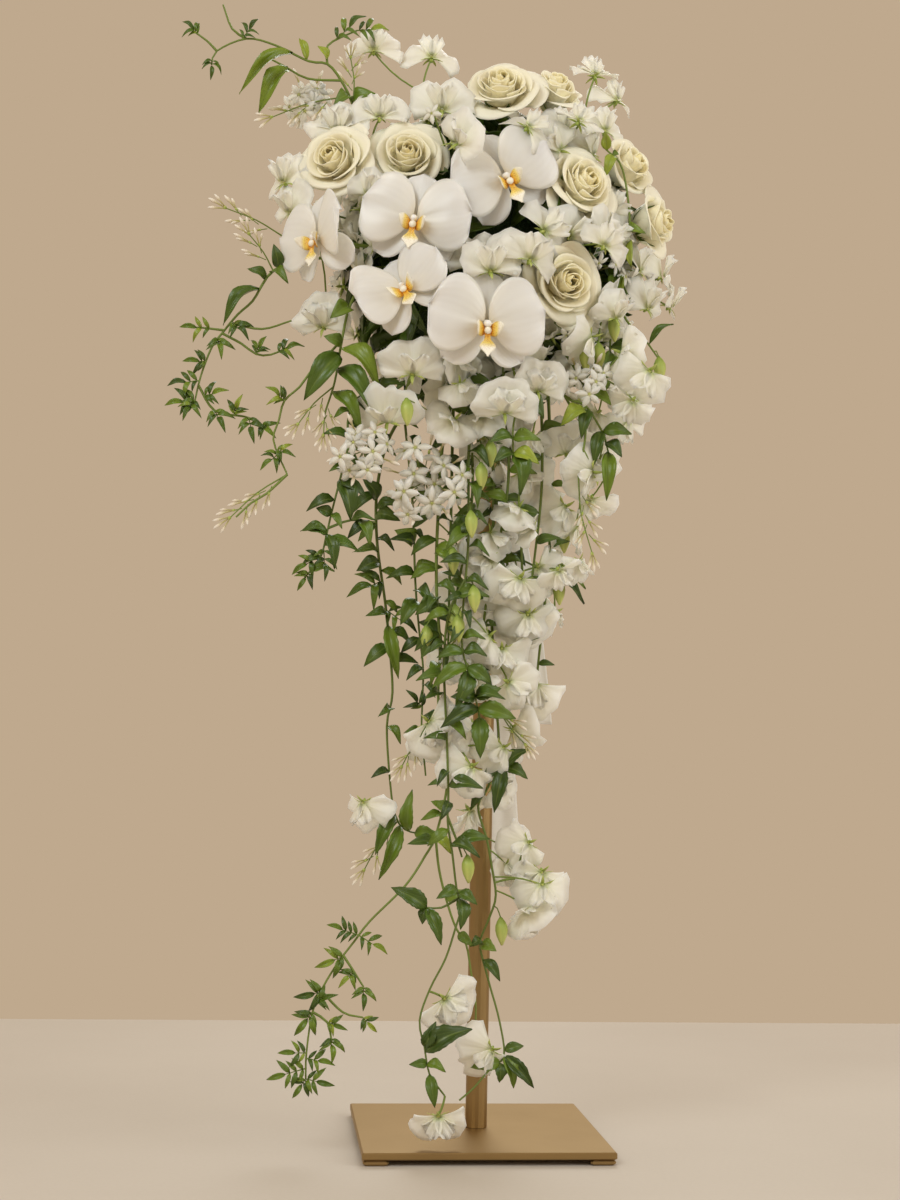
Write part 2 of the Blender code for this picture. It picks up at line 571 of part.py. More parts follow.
# Leafy stems that finish the back: a way round the foam, by degrees round it
# from the back, degrees up, and the leaves' length and width in cm.
back_stems = {
    "foliage_back_left": {"turn": -1, "ups": (52, 22, -8, -38), "leaf": (7.5, 3.4)},
    "foliage_back_right": {"turn": 1, "ups": (46, 16, -14, -42), "leaf": (7.2, 3.3)},
}


# Small vector helpers.
def unit(vector):
    vector = np.asarray(vector, float)
    return vector / max(np.linalg.norm(vector), 1e-12)


def cm(place):
    return np.array(place, float) / 100


def facing(right_degrees, up_degrees):
    # The direction a bloom looks in: 0, 0 is straight to the front.
    turn = math.radians(right_degrees)
    lift = math.radians(up_degrees)
    return np.array([math.sin(turn) * math.cos(lift), -math.cos(turn) * math.cos(lift), math.sin(lift)])


def axes_facing(forward, roll_degrees=0.0):
    # Columns: right, up and forward, as one who looks at the bloom sees them.
    forward = unit(forward)
    near_up = (0, 1, 0) if abs(forward[2]) > 0.97 else (0, 0, 1)
    right = unit(np.cross(near_up, forward))
    up = np.cross(forward, right)
    roll = math.radians(roll_degrees)
    turned_right = right * math.cos(roll) + up * math.sin(roll)
    turned_up = up * math.cos(roll) - right * math.sin(roll)
    return np.stack([turned_right, turned_up, forward], axis=1)


def turned(vector, axis, degrees):
    angle = math.radians(degrees)
    along = axis * axis.dot(vector)
    return along + (vector - along) * math.cos(angle) + np.cross(axis, vector) * math.sin(angle)


def smooth_path(points, step):
    # A Catmull-Rom curve through the points, sampled about every step.
    points = np.asarray(points, float)
    ends = np.vstack([2 * points[0] - points[1], points, 2 * points[-1] - points[-2]])
    found = []
    for i in range(len(points) - 1):
        before, start, end, after = ends[i : i + 4]
        count = max(1, int(round(np.linalg.norm(end - start) / step)))
        for k in range(count):
            t = k / count
            curve = 2 * start + (end - before) * t
            curve = curve + (2 * before - 5 * start + 4 * end - after) * t * t
            curve = curve + (3 * start - before - 3 * end + after) * t ** 3
            found.append(curve / 2)
    found.append(points[-1])
    return np.array(found)


def lengths_along(path):
    return np.concatenate([[0], np.cumsum(np.linalg.norm(np.diff(path, axis=0), axis=1))])


def nearest_on(path, place):
    # The distance from the path, the length along it and the nearest spot on it.
    starts = path[:-1]
    spans = path[1:] - starts
    share = np.clip(((place - starts) * spans).sum(axis=1) / (spans ** 2).sum(axis=1), 0, 1)
    spots = starts + spans * share[:, None]
    gaps = np.linalg.norm(spots - place, axis=1)
    best = gaps.argmin()
    along = lengths_along(path)[best] + share[best] * np.linalg.norm(spans[best])
    return gaps[best], along, spots[best]


def core_surface_to(place, depth=0.0):
    # Where the line from the foam's middle to this place leaves the foam, less a depth.
    along = place - core_centre
    reach = np.linalg.norm(along / core_radii)
    return core_centre + along / reach - unit(along) * depth


# Sheets. Petals, leaves and whole vines are laid out as one middle surface of
# points with a thickness each, which is then given its two faces and its rim.
def new_sheet():
    return {"points": [], "thickness": [], "triangles": []}


def add_row(sheet, places, thickness):
    first = len(sheet["points"])
    sheet["points"] += [np.asarray(place, float) for place in places]
    sheet["thickness"] += [thickness] * len(places)
    return list(range(first, first + len(places)))


def stitch(sheet, lower, upper, lower_at=None, upper_at=None):
    # Fills the band between two rows of points, both listed from left to right.
    lower_at = np.linspace(0, 1, len(lower)) if lower_at is None else lower_at
    upper_at = np.linspace(0, 1, len(upper)) if upper_at is None else upper_at
    i = 0
    j = 0
    while i < len(lower) - 1 or j < len(upper) - 1:
        step_low = j == len(upper) - 1
        if not step_low and i < len(lower) - 1:
            step_low = lower_at[i] + lower_at[i + 1] <= upper_at[j] + upper_at[j + 1]
        if step_low:
            corners = (lower[i], lower[i + 1], upper[j])
            i += 1
        else:
            corners = (lower[i], upper[j + 1], upper[j])
            j += 1
        if len(set(corners)) == 3:
            sheet["triangles"].append(corners)


def thickened(sheet, extra=0.0):
    # The closed solid of a sheet: its faces are split alike, and a rim joins them.
    points = np.array(sheet["points"])
    triangles = np.array(sheet["triangles"])
    half = (np.array(sheet["thickness"])[:, None] + extra) / 2
    corners = points[triangles]
    flat = np.cross(corners[:, 1] - corners[:, 0], corners[:, 2] - corners[:, 0])
    normals = np.zeros_like(points)
    for k in range(3):
        np.add.at(normals, triangles[:, k], flat)
    normals /= np.maximum(np.linalg.norm(normals, axis=1, keepdims=True), 1e-12)
    count = len(points)
    faces = [tuple(t) for t in triangles] + [(a + count, c + count, b + count) for a, b, c in triangles]
    edges = {(t[k], t[(k + 1) % 3]) for t in triangles.tolist() for k in range(3)}
    for start, end in sorted(edges):
        if (end, start) not in edges:
            faces.append((start + count, end + count, end))
            faces.append((start + count, end, start))
    return np.vstack([points + normals * half, points - normals * half]), np.array(faces)


def tube(path, radii, sides=3):
    # A round bar along a path, closed at both ends.
    path = np.asarray(path, float)
    radii = np.broadcast_to(radii, len(path))
    ways = np.gradient(path, axis=0)
    side = unit(np.cross(ways[0], (0.31, 0.52, 0.79)))
    rings = []
    for place, way, radius in zip(path, ways, radii):
        way = unit(way)
        side = unit(side - way * side.dot(way))
        other = np.cross(way, side)
        angles = np.arange(sides) * math.tau / sides
        rings.append(place + radius * (np.outer(np.cos(angles), side) + np.outer(np.sin(angles), other)))
    faces = []
    for i in range(len(path) - 1):
        for k in range(sides):
            a = i * sides + k
            b = i * sides + (k + 1) % sides
            faces += [(a, b, b + sides), (a, b + sides, a + sides)]
    last = (len(path) - 1) * sides
    for k in range(1, sides - 1):
        faces += [(0, k + 1, k), (last, last + k, last + k + 1)]
    return np.vstack(rings), np.array(faces)


def turned_solid(rings, top, bottom):
    # A closed solid from rings of points, each listed round the axis from top to bottom.
    count = len(rings[0])
    points = [place for ring in rings for place in ring] + [top, bottom]
    last = (len(rings) - 1) * count
    faces = []
    for k in range(count):
        n = (k + 1) % count
        faces.append((len(points) - 2, k, n))
        faces.append((len(points) - 1, last + n, last + k))
        for i in range(len(rings) - 1):
            a = i * count + k
            b = i * count + n
            faces += [(a, a + count, b + count), (a, b + count, b)]
    return np.array(points, float), np.array(faces)


# Blooms, in their own axes: right, up and towards the one who looks.
def lobed(hub_radius, lobes, front_tip, back_tip, thickness):
    # Petals round a hub. Each lobe has its angle, and its rows as (distance,
    # half width, height of the middle, height of the edge, points).
    sheet = new_sheet()
    centre = add_row(sheet, [(0, 0, 0)], thickness)[0]
    angles = [lobe["angle"] for lobe in lobes]
    rights = [(angles[k - 1] - (360 if k == 0 else 0) + angles[k]) / 2 for k in range(len(lobes))]
    hub = []
    for angle in rights:
        turn = math.radians(angle)
        hub += add_row(sheet, [(-hub_radius * math.sin(turn), hub_radius * math.cos(turn), 0)], thickness)
    for k, lobe in enumerate(lobes):
        left = hub[(k + 1) % len(hub)]
        right = hub[k]
        sheet["triangles"].append((centre, right, left))
        turn = math.radians(lobe["angle"])
        along = np.array([-math.sin(turn), math.cos(turn), 0])
        across = np.array([math.cos(turn), math.sin(turn), 0])
        lower = [left, right]
        for distance, half, middle, edge, count in lobe["rows"]:
            places = []
            for u in np.linspace(-1, 1, count) if count > 1 else [0]:
                height = middle + (edge - middle) * u * u
                places.append(along * (distance - 0.12 * half * u * u) + across * half * u + (0, 0, height))
            upper = add_row(sheet, places, thickness)
            stitch(sheet, lower, upper)
            lower = upper
    points, faces = thickened(sheet)
    points[centre] = front_tip
    points[centre + len(sheet["points"])] = back_tip
    return points, faces


def scaled_rows(rows, size):
    return [tuple(value * size for value in row[:4]) + row[4:] for row in rows]


def orchid_solid(width):
    size = width / 0.105
    sepal = scaled_rows([
        (0.013, 0.0054, -0.0035, -0.0030, 2),
        (0.031, 0.0175, -0.0070, -0.0030, 3),
        (0.046, 0.0080, -0.0110, -0.0110, 2),
    ], size)
    broad = scaled_rows([
        (0.009, 0.0038, 0.0025, 0.0025, 2),
        (0.025, 0.0290, 0.0065, 0.0020, 3),
        (0.043, 0.0260, 0.0050, -0.0010, 3),
        (0.052, 0.0090, 0.0000, -0.0010, 2),
    ], size)
    lobes = [
        {"angle": 0, "rows": sepal},
        {"angle": 76, "rows": broad},
        {"angle": 130, "rows": sepal},
        {"angle": 230, "rows": sepal},
        {"angle": 284, "rows": broad},
    ]
    return lobed(0.0046, lobes, (0, 0.002, 0.010), (0, 0, -0.013), petal_thickness)


def lip_solid():
    middle = [(0.007, 0.0035, 0.000, 0.001, 2), (0.014, 0.0075, 0.001, 0.003, 2), (0.021, 0, 0.005, 0, 1)]
    wing = [(0.009, 0.0050, 0.005, 0.005, 2), (0.013, 0, 0.011, 0, 1)]
    lobes = [
        {"angle": 60, "rows": wing},
        {"angle": 180, "rows": middle},
        {"angle": 300, "rows": wing},
    ]
    points, faces = lobed(0.0026, lobes, (0, 0, 0.0030), (0, 0.0050, -0.0052), petal_thickness)
    return points + (0, -0.0085, 0.0080), faces


def rose_solid(width):
    # Petal layers as rims that rise over grooves, each rim cut into five petals.
    size = width / 0.074
    columns = rose_columns
    rows = [
        (0.0062, 0.0185, 0.0000, 0.0015, 0.0),
        (0.0090, 0.0085, 0.0000, 0.0000, 0.0),
        (0.0155, 0.0175, 0.0015, 0.0055, 0.5),
        (0.0170, 0.0060, 0.0000, 0.0000, 0.5),
        (0.0255, 0.0125, 0.0035, 0.0070, 0.0),
        (0.0245, 0.0000, 0.0000, 0.0000, 0.0),
        (0.0370, 0.0050, 0.0085, 0.0060, 0.5),
        (0.0330, 0.0000, 0.0075, 0.0055, 0.5),
        (0.0150, -0.0165, 0.0000, 0.0000, 0.5),
    ]
    if width < closed_rose:
        rows = rows[:5] + [(0.0235, 0.0070, 0.0035, 0.0070, 0.0), (0.0130, -0.0160, 0.0000, 0.0000, 0.0)]
        size = width / 0.051
        columns = closed_rose_columns
    rings = []
    for radius, height, draw_in, dip, phase in rows:
        ring = []
        for k in range(columns):
            share = (k / columns * rose_petals - phase) % 1
            notch = max(0.0, math.cos(math.tau * share)) ** 2
            turn = math.tau * k / columns
            out = (radius - draw_in * notch) * size
            ring.append((out * math.cos(turn), out * math.sin(turn), (height - dip * notch) * size))
        rings.append(ring)
    return turned_solid(rings, (0, 0, 0.0105 * size), (0, 0, -0.0240 * size))


def sweet_pea_solid(width):
    # One folded sheet: the ruffled banner stands behind the two hooded wings.
    size = width / 0.05
    sheet = new_sheet()
    base = add_row(sheet, [np.array((x, -0.0140, -0.0020)) * size for x in (-0.0022, 0.0022)], 0.0030 * size)
    banner = [
        [(-0.0185, -0.0050, 0.0020), (0, -0.0045, -0.0030), (0.0185, -0.0050, 0.0000)],
        [(-0.0245, 0.0080, -0.0030), (0, 0.0105, 0.0020), (0.0245, 0.0080, -0.0010)],
        [(-0.0130, 0.0195, -0.0070), (0.0130, 0.0195, -0.0090)],
    ]
    wings = [
        [(0.0115, -0.0020, 0.0060), (0, -0.0040, 0.0105), (-0.0115, -0.0020, 0.0060)],
        [(0.0070, 0.0085, 0.0075), (-0.0070, 0.0085, 0.0075)],
    ]
    for lower, rows in ((base, banner), (base[::-1], wings)):
        for row in rows:
            upper = add_row(sheet, [np.array(place) * size for place in row], petal_thickness)
            stitch(sheet, lower, upper)
            lower = upper
    return thickened(sheet)


def sweet_pea_root(width):
    return np.array([0, -0.0135, -0.0022]) * width / 0.05


def star_solid(back_tip):
    lobe = [(star_radius, 0, 0.001, 0, 1)]
    lobes = [{"angle": 72 * k, "rows": lobe} for k in range(5)]
    return lobed(star_radius * 0.32, lobes, (0, 0, -0.0002), back_tip, leaf_thickness)


def placed(solid, axes, middle):
    return solid[0] @ axes.T + middle, solid[1]


def bead(middle, along, radius):
    # The thick joint of a spray, where its stalks meet.
    way = unit(along)
    path = [middle - way * radius * 1.2, middle, middle + way * radius * 2.2]
    return tube(path, [radius * 0.5, radius, radius * 0.75], 4)


# Strips: stems, twigs and stalks, with leaves and buds that grow out of their
# edges. A shoot is where it grows, on which side, and what lays it out there.
def strip_sides(path, outward):
    # The way to the right at each point of a path, for one who looks at it from outward.
    ways = np.gradient(path, axis=0)
    side = None
    sides = []
    for way in ways[::-1]:
        way = unit(way)
        wanted = np.cross(way, outward)
        if side is not None:
            wanted = wanted + 0.3 * side
        side = unit(wanted - way * way.dot(wanted))
        sides.append(side)
    return np.array(sides[::-1])


def spaced(shoots, length, side):
    # The shoots on one side, stalks and branches first, each moved a little along
    # the stem where its root would touch another's. One with no room is left off.
    mine = [shoot for shoot in shoots if shoot["side"] == side]
    mine.sort(key=lambda shoot: (shoot["kind"] not in ("stalk", "branch"), shoot["at"]))
    kept = []
    for shoot in mine:
        half = shoot["half"]
        for shift in shoot_shifts:
            at = min(max(shoot["at"], half + shoot_gap), length - half - shoot_gap / 2) + shift
            free = all(abs(at - other["at"]) > half + other["half"] + shoot_gap for other in kept)
            if free and half + shoot_gap <= at <= length - half - shoot_gap / 2:
                kept.append({**shoot, "at": at})
                break
    return sorted(kept, key=lambda shoot: shoot["at"])


def lay_strip(sheet, path, widths, thickness, outward, base=None, shoots=(), end=None):
    at = lengths_along(path)
    sides = strip_sides(path, outward)
    widths = np.broadcast_to(widths, len(path))
    thickness = np.broadcast_to(thickness, len(path))

    def edge_point(along, sign):
        edge = path + sides * widths[:, None] / 2 * sign
        place = [np.interp(along, at, edge[:, axis]) for axis in range(3)]
        return add_row(sheet, [place], float(np.interp(along, at, thickness)))[0]

    rows = {}
    bases = []
    for sign in (-1, 1):
        grown_here = spaced(shoots, at[-1], sign)
        marks = [(0.0, None, None)] + [(spot, None, None) for spot in at[1:-1]] + [(at[-1], None, None)]
        taken = [shoot["at"] for shoot in grown_here]
        ends = (0.0, at[-1])
        marks = [m for m in marks if m[0] in ends or all(abs(m[0] - t) > shoot_clear for t in taken)]
        for shoot in grown_here:
            marks.append((shoot["at"] - shoot["half"], shoot, 0))
            marks.append((shoot["at"] + shoot["half"], shoot, 1))
        marks.sort(key=lambda mark: mark[0])
        row = []
        for spot, shoot, place in marks:
            if spot == 0.0 and base is not None:
                index = base[0] if sign < 0 else base[1]
            else:
                index = edge_point(spot, sign)
            row.append(index)
            if place == 0:
                first = index
            if place == 1:
                bases.append((shoot, (first, index) if sign < 0 else (index, first)))
        rows[sign] = (row, [mark[0] for mark in marks])
    stitch(sheet, rows[1][0], rows[-1][0], rows[1][1], rows[-1][1])
    for shoot, ends in bases:
        shoot["lay"](sheet, ends)
    tip = (rows[-1][0][-1], rows[1][0][-1])
    if end is not None:
        end(sheet, tip)


def lay_leaf(sheet, base, root, tip, width, outward, large=False):
    # A pointed leaf: large ones are folded along the rib and arched.
    along = tip - root
    length = np.linalg.norm(along)
    across = unit(np.cross(along, outward))
    lift = unit(np.cross(across, along))
    lower = base
    shape = large_leaf_rows if large else small_leaf_rows
    for share, wide in shape:
        rib = root + along * share + lift * length * leaf_arch * math.sin(math.pi * share)
        edge = across * width / 2 * wide
        if large:
            rise = lift * width * leaf_fold * wide
            places = [rib - edge + rise, rib, rib + edge + rise]
        else:
            places = [rib - edge, rib + edge]
        upper = add_row(sheet, places, leaf_thickness)
        stitch(sheet, lower, upper)
        lower = upper
    point = add_row(sheet, [tip - lift * length * leaf_tip_drop], leaf_thickness)
    stitch(sheet, lower, point)


def lay_sprig(sheet, base, root, tip, outward, pairs, length):
    # A leaf of several leaflets on one thin rib, cut to the rib.
    along = unit(tip - root)
    shortest = sprig_shortest + sprig_pair_room * (pairs - 1)
    reach = max(np.linalg.norm(tip - root) - length * 0.8, shortest)
    across = unit(np.cross(along, outward))
    rib = sprig_rib
    spacing = (reach - rib["spare"]) / pairs
    wide = min(leaflet_width * length, 1.15 * spacing + rib["spare"])
    lower = base
    for pair in range(pairs):
        at = rib["first"] + spacing * (pair + 0.5 * (pairs > 1))
        if pair == pairs - 1:
            at = reach - rib["joint"]
        rows = []
        for spot in (at, at + rib["joint"]):
            place = root + along * spot
            edge = across * rib["half"]
            row = add_row(sheet, [place - edge, place + edge], rib["thickness"])
            stitch(sheet, lower, row)
            rows.append(row)
            lower = row
        for side in (-1, 1):
            small = length * (0.88 + 0.04 * side * (-1) ** pair)
            way = unit(along * sprig_lean + across * side + unit(outward) * 0.10)
            start = root + along * (at + rib["joint"] / 2)
            edge = (rows[0][0], rows[1][0]) if side < 0 else (rows[1][1], rows[0][1])
            lay_leaf(sheet, edge, start, start + way * small, min(small * leaflet_width, wide), outward)
    last = root + along * reach
    lay_leaf(sheet, lower, last, last + along * length, length * leaflet_width, outward)


def lay_bud_spray(sheet, base, root, tip, outward, count):
    # Slender buds on a forking stalk.
    along = tip - root
    length = np.linalg.norm(along)
    across = unit(np.cross(along, outward))
    shoots = []
    for k in range(count - 1):
        at = length * (spray_stalk["first"] + spray_stalk["span"] * (k + 0.5) / count)
        side = 1 if k % 2 else -1
        start = root + unit(along) * at
        spread = spray_spread["side"] + spray_spread["sway"] * math.sin(spray_spread["turn"] * k)
        way = unit(unit(along) + across * side * spread + (0, 0, spray_spread["drop"]))
        lay = slender_bud_of(start, start + way * slender_bud["length"], outward)
        half = spray_stalk["half"]
        shoots.append({"kind": "bud", "at": at, "side": side, "half": half, "lay": lay})
    path = np.array([root, tip])
    end = slender_bud_of(tip, tip + unit(along) * slender_bud["length"], outward)
    lay_strip(sheet, path, spray_stalk["widths"], spray_stalk["depths"], outward, base, shoots, end)


def slender_bud_of(root, tip, outward):
    def lay(sheet, base):
        across = unit(np.cross(tip - root, outward))
        fat = root + (tip - root) * slender_bud["fat_at"]
        edge = across * slender_bud["half"]
        row = add_row(sheet, [fat - edge, fat + edge], slender_bud["thickness"])
        stitch(sheet, base, row)
        stitch(sheet, row, add_row(sheet, [tip], slender_bud["tip"]))

    return lay


def lay_round_bud(sheet, base, root, tip, outward):
    # A plump bud that hangs from a thin stalk.
    top = tip + (0, 0, plump_bud["top"])
    path = np.array([root, (root + top) / 2 + (0, 0, plump_bud["bow"]), top])

    def end(sheet, edge):
        across = unit(np.cross((0, 0, -1), outward))
        lower = edge
        for drop_by, width in plump_bud_rows:
            spot = top - (0, 0, drop_by)
            upper = add_row(sheet, [spot - across * width / 2, spot + across * width / 2], width)
            stitch(sheet, lower, upper)
            lower = upper
        lowest = top - (0, 0, plump_bud["length"])
        stitch(sheet, lower, add_row(sheet, [lowest], plump_bud["tip"]))

    lay_strip(sheet, path, plump_bud["stalk"], plump_bud["stalk"], outward, base, (), end)


# Plants: each holds its pieces by rank. A rank is trimmed by those before it
# where they meet, and stems are never cut.
ranks = ["stand", "stem", "core", "lip", "orchid", "rose", "sweet_pea", "star", "ribbon"]


def new_plant(name, colour, roughness):
    return {
        "name": name,
        "colour": colour,
        "roughness": roughness,
        "metallic": 0.0,
        "pieces": [],
        "shoots": [],
    }


def put(plant, rank, pieces):
    plant["pieces"] += [(ranks.index(rank), points, faces) for points, faces in pieces]


def bloom_stem(back, radius):
    # A stem from the back of a bloom into its hole in the foam.
    surface = core_surface_to(back)
    root = core_surface_to(back, stem_depth)
    return tube([back, (back + surface) / 2, root], radius, 3)


def make_orchids():
    made = []
    for number, (place, right, up, roll, width) in enumerate(orchids, 1):
        axes = axes_facing(facing(right, up), roll)
        middle = cm(place)
        flower = new_plant(f"orchid_{number}", (0.90, 0.88, 0.83), 0.42)
        put(flower, "orchid", [placed(orchid_solid(width / 100), axes, middle)])
        put(flower, "stem", [bloom_stem(middle - axes[:, 2] * orchid_stem_depth, bloom_stem_radius)])
        lip = new_plant(f"orchid_lip_{number}", (0.86, 0.56, 0.08), 0.45)
        put(lip, "lip", [placed(lip_solid(), axes, middle)])
        made += [flower, lip]
    return made


def make_roses():
    made = []
    for number, (place, right, up, width) in enumerate(roses, 1):
        axes = axes_facing(facing(right, up))
        middle = cm(place)
        flower = new_plant(f"rose_{number}", (0.90, 0.85, 0.66), 0.55)
        put(flower, "rose", [placed(rose_solid(width / 100), axes, middle)])
        back = middle - axes[:, 2] * rose_stem_depth * width / 7.4
        put(flower, "stem", [bloom_stem(back, bloom_stem_radius)])
        made.append(flower)
    return made


def spray_fork(roots, carrier):
    # Where the stalks of a spray meet: nearer its carrier than its blooms are.
    middle = np.mean(roots, axis=0)
    gap = np.linalg.norm(carrier - middle)
    return middle + unit(carrier - middle) * min(fork_share * gap, fork_reach)


def hang_spray(plant, fork, aim, reach, carrier_name, vines_made):
    # Stands a spray in the foam, or hangs it from a stalk that its vine grows to
    # within reach of the fork, from the stem nearest to the aim.
    if carrier_name == "core":
        put(plant, "stem", [bloom_stem(fork, spray_stem_radius)])
        return
    vine = vines_made[carrier_name]
    strand = min(range(len(vine["paths"])), key=lambda k: nearest_on(vine["paths"][k], aim)[0])
    at, spot = nearest_on(vine["paths"][strand], aim)[1:]
    shoot = {"root": spot, "tip": fork + unit(spot - fork) * reach, "kind": "stalk", "at": at}
    vine["shoots"].append((strand, shoot))


def carrier_of(name, vines_made, place):
    # The spot that a spray hangs from: on the foam, or on the nearest stem of its vine.
    if name == "core":
        return core_surface_to(place)
    found = [nearest_on(path, place) for path in vines_made[name]["paths"]]
    return min(found, key=lambda near: near[0])[2]


def make_sweet_peas(vines_made):
    made = []
    for name, (carrier_name, blooms) in sweet_peas.items():
        spray = new_plant(name, (0.92, 0.91, 0.86), 0.55)
        poses = []
        for place, right, up, width in blooms:
            poses.append((axes_facing(facing(right, up)), cm(place), width / 100))
        roots = [middle + axes @ sweet_pea_root(width) for axes, middle, width in poses]
        carrier = carrier_of(carrier_name, vines_made, np.mean(roots, axis=0))
        fork = spray_fork(roots, carrier) if len(roots) > 1 else roots[0]
        middles = np.mean([middle for axes, middle, width in poses], axis=0)
        aim = fork * (1 + fork_aim) - middles * fork_aim
        hang_spray(spray, fork, aim, stalk_seat, carrier_name, vines_made)
        for root, (axes, middle, width) in zip(roots, poses):
            put(spray, "sweet_pea", [placed(sweet_pea_solid(width), axes, middle)])
            if len(roots) > 1:
                put(spray, "sweet_pea", [tube([fork, root], stalk_radius, 3)])
        made.append(spray)
    return made


def make_jasmine(vines_made):
    made = []
    for seed, (name, (carrier_name, middle, half, count)) in enumerate(jasmine.items()):
        draw = random.Random(40 + seed)
        head = new_plant(name, (0.93, 0.91, 0.86), 0.5)
        back = cm(middle) + np.array(star_joint["back"])
        for k in range(count):
            turn = k * golden_turn + draw.uniform(-0.25, 0.25)
            reach = math.sqrt((k + 0.5) / count)
            depth = draw.uniform(-1, 1) * half[1]
            offset = cm((half[0] * reach * math.cos(turn), depth, half[2] * reach * math.sin(turn)))
            place = cm(middle) + offset
            way = facing(0, 0) + offset / star_spread + np.array([0, 0, -0.1])
            axes = axes_facing(way, draw.uniform(0, 72))
            throat = back + unit(place - back) * star_joint["throat"]
            put(head, "star", [placed(star_solid(axes.T @ (throat - place)), axes, place)])
        put(head, "star", [bead(back, (0, 1, 0.2), star_joint["radius"])])
        hang_spray(head, back, back, star_joint["seat"], carrier_name, vines_made)
        made.append(head)
    return made


def start_vines():
    # The stems of each vine, which the blooms are then placed round.
    made = {}
    for name, rows in vines.items():
        plant = new_plant(name, (0.07, 0.16, 0.03), 0.45)
        paths = []
        for number, route in enumerate(rows["routes"]):
            points = [cm(p) for p in route]
            if number == 0:
                points.insert(0, core_surface_to(points[0], stem_depth))
            else:
                strand = min(range(len(paths)), key=lambda k: nearest_on(paths[k], points[0])[0])
                at, points[0] = nearest_on(paths[strand], points[0])[1:]
                branch = {"kind": "branch", "at": at, "strand": number}
                branch.update({"root": points[0], "tip": points[1]})
                plant["shoots"].append((strand, branch))
            paths.append(smooth_path(points, step_along_vine))
        plant["paths"] = paths
        made[name] = plant
    return made


def tree_of(solid):
    return BVHTree.FromPolygons([tuple(p) for p in solid[0]], [tuple(int(i) for i in f) for f in solid[1]])


def box_of(points):
    return points.min(axis=0), points.max(axis=0)


def boxes_meet(first, second, margin):
    return bool((first[0] - margin <= second[1]).all() and (second[0] - margin <= first[1]).all())


def as_obstacle(solid):
    return box_of(solid[0]), tree_of(solid)


def is_clear(solid, obstacles):
    box = box_of(solid[0])
    near = [tree for other, tree in obstacles if boxes_meet(box, other, near_margin)]
    if not near:
        return True
    mine = tree_of(solid)
    return not any(mine.overlap(tree) for tree in near)


bends = [(0, 0), (14, 0), (-14, 0), (0, 14), (0, -14), (28, 0), (-28, 0), (20, 18), (20, -18),
         (-20, 18), (-20, -18), (42, 0), (0, 32), (0, -32), (40, 30), (40, -30), (58, 0)]


def crosses_itself(solid):
    tree = tree_of(solid)
    faces = [set(face) for face in solid[1].tolist()]
    return any(first < other and not faces[first] & faces[other] for first, other in tree.overlap(tree))


def grow_clear(plant, kind, at, root, tip, extra, outward, strand, outward_at, obstacles):
    # Adds the shoot as given, or bent until it is clear of all else. False where it can't be.
    along = tip - root
    across = unit(np.cross(along, outward))
    before = len(vine_sheet(plant, outward_at)["points"])
    for size in (1.0, 0.8):
        for pitch, yaw in bends:
            way = turned(turned(along, across, pitch), unit(outward), yaw) * size
            lay = shoot_layer(kind, root, root + way, extra, outward)
            trial = new_sheet()
            start = root + unit(way) * trial_start
            side = unit(np.cross(way, outward)) * trial_half
            lay(trial, add_row(trial, [start - side, start + side], leaf_thickness))
            solid = thickened(trial, trial_margin)
            if not is_clear(solid, obstacles):
                continue
            shoot = {"kind": kind, "at": at, "root": root, "tip": root + way, "lay": lay}
            plant["shoots"].append((strand, shoot))
            sheet = vine_sheet(plant, outward_at)
            is_laid = len(sheet["points"]) > before + 2
            if is_laid and not crosses_itself(thickened(sheet, crossing_margin)):
                obstacles.append(as_obstacle(solid))
                return True
            plant["shoots"].pop()
    return False


def shoot_layer(kind, root, tip, extra, outward):
    def lay(sheet, base):
        if kind == "leaf":
            lay_leaf(sheet, base, root, tip, extra, outward, np.linalg.norm(tip - root) > large_leaf)
        elif kind == "sprig":
            lay_sprig(sheet, base, root, tip, outward, *extra)
        elif kind == "spray":
            lay_bud_spray(sheet, base, root, tip, outward, extra)
        elif kind == "bud":
            lay_round_bud(sheet, base, root, tip, outward)
    return lay


# Half the width of each kind of shoot where it leaves its stem.
half_roots = {
    "leaf": 0.0010,
    "sprig": 0.0008,
    "spray": 0.0007,
    "bud": 0.0007,
    "stalk": 0.0006,
    "branch": 0.0009,
}


def side_of(path, at, way, outward):
    index = int(np.clip(np.searchsorted(lengths_along(path), at), 1, len(path) - 1))
    along = path[index] - path[index - 1]
    return 1 if np.cross(along, outward).dot(way) > 0 else -1


def wanted_shoots(rows, draw):
    # Every leaf, sprig, spray and bud of a vine, as (kind, root, tip, size, outward).
    found = []
    for place in rows["buds"]:
        middle = cm(place)
        found.append(("bud", middle + (0, 0, plump_bud_hang), middle, None, front))
    for root, tip, width in rows["leaves"]:
        lean = np.array([draw.uniform(-0.3, 0.3), -1, 0.3 + draw.uniform(-0.2, 0.3)])
        found.append(("leaf", cm(root), cm(tip), width / 100, lean))
    for root, tip, pairs, length in rows["sprigs"]:
        lean = np.array([draw.uniform(-0.25, 0.25), -1, 0.25 + draw.uniform(-0.2, 0.2)])
        found.append(("sprig", cm(root), cm(tip), (pairs, length / 100), lean))
    for root, tip, count in rows["sprays"]:
        found.append(("spray", cm(root), cm(tip), count, front))
    return found


def stem_width(number, share):
    root = vine_root_width if number == 0 else branch_root_width
    return root + (vine_tip_width - root) * share


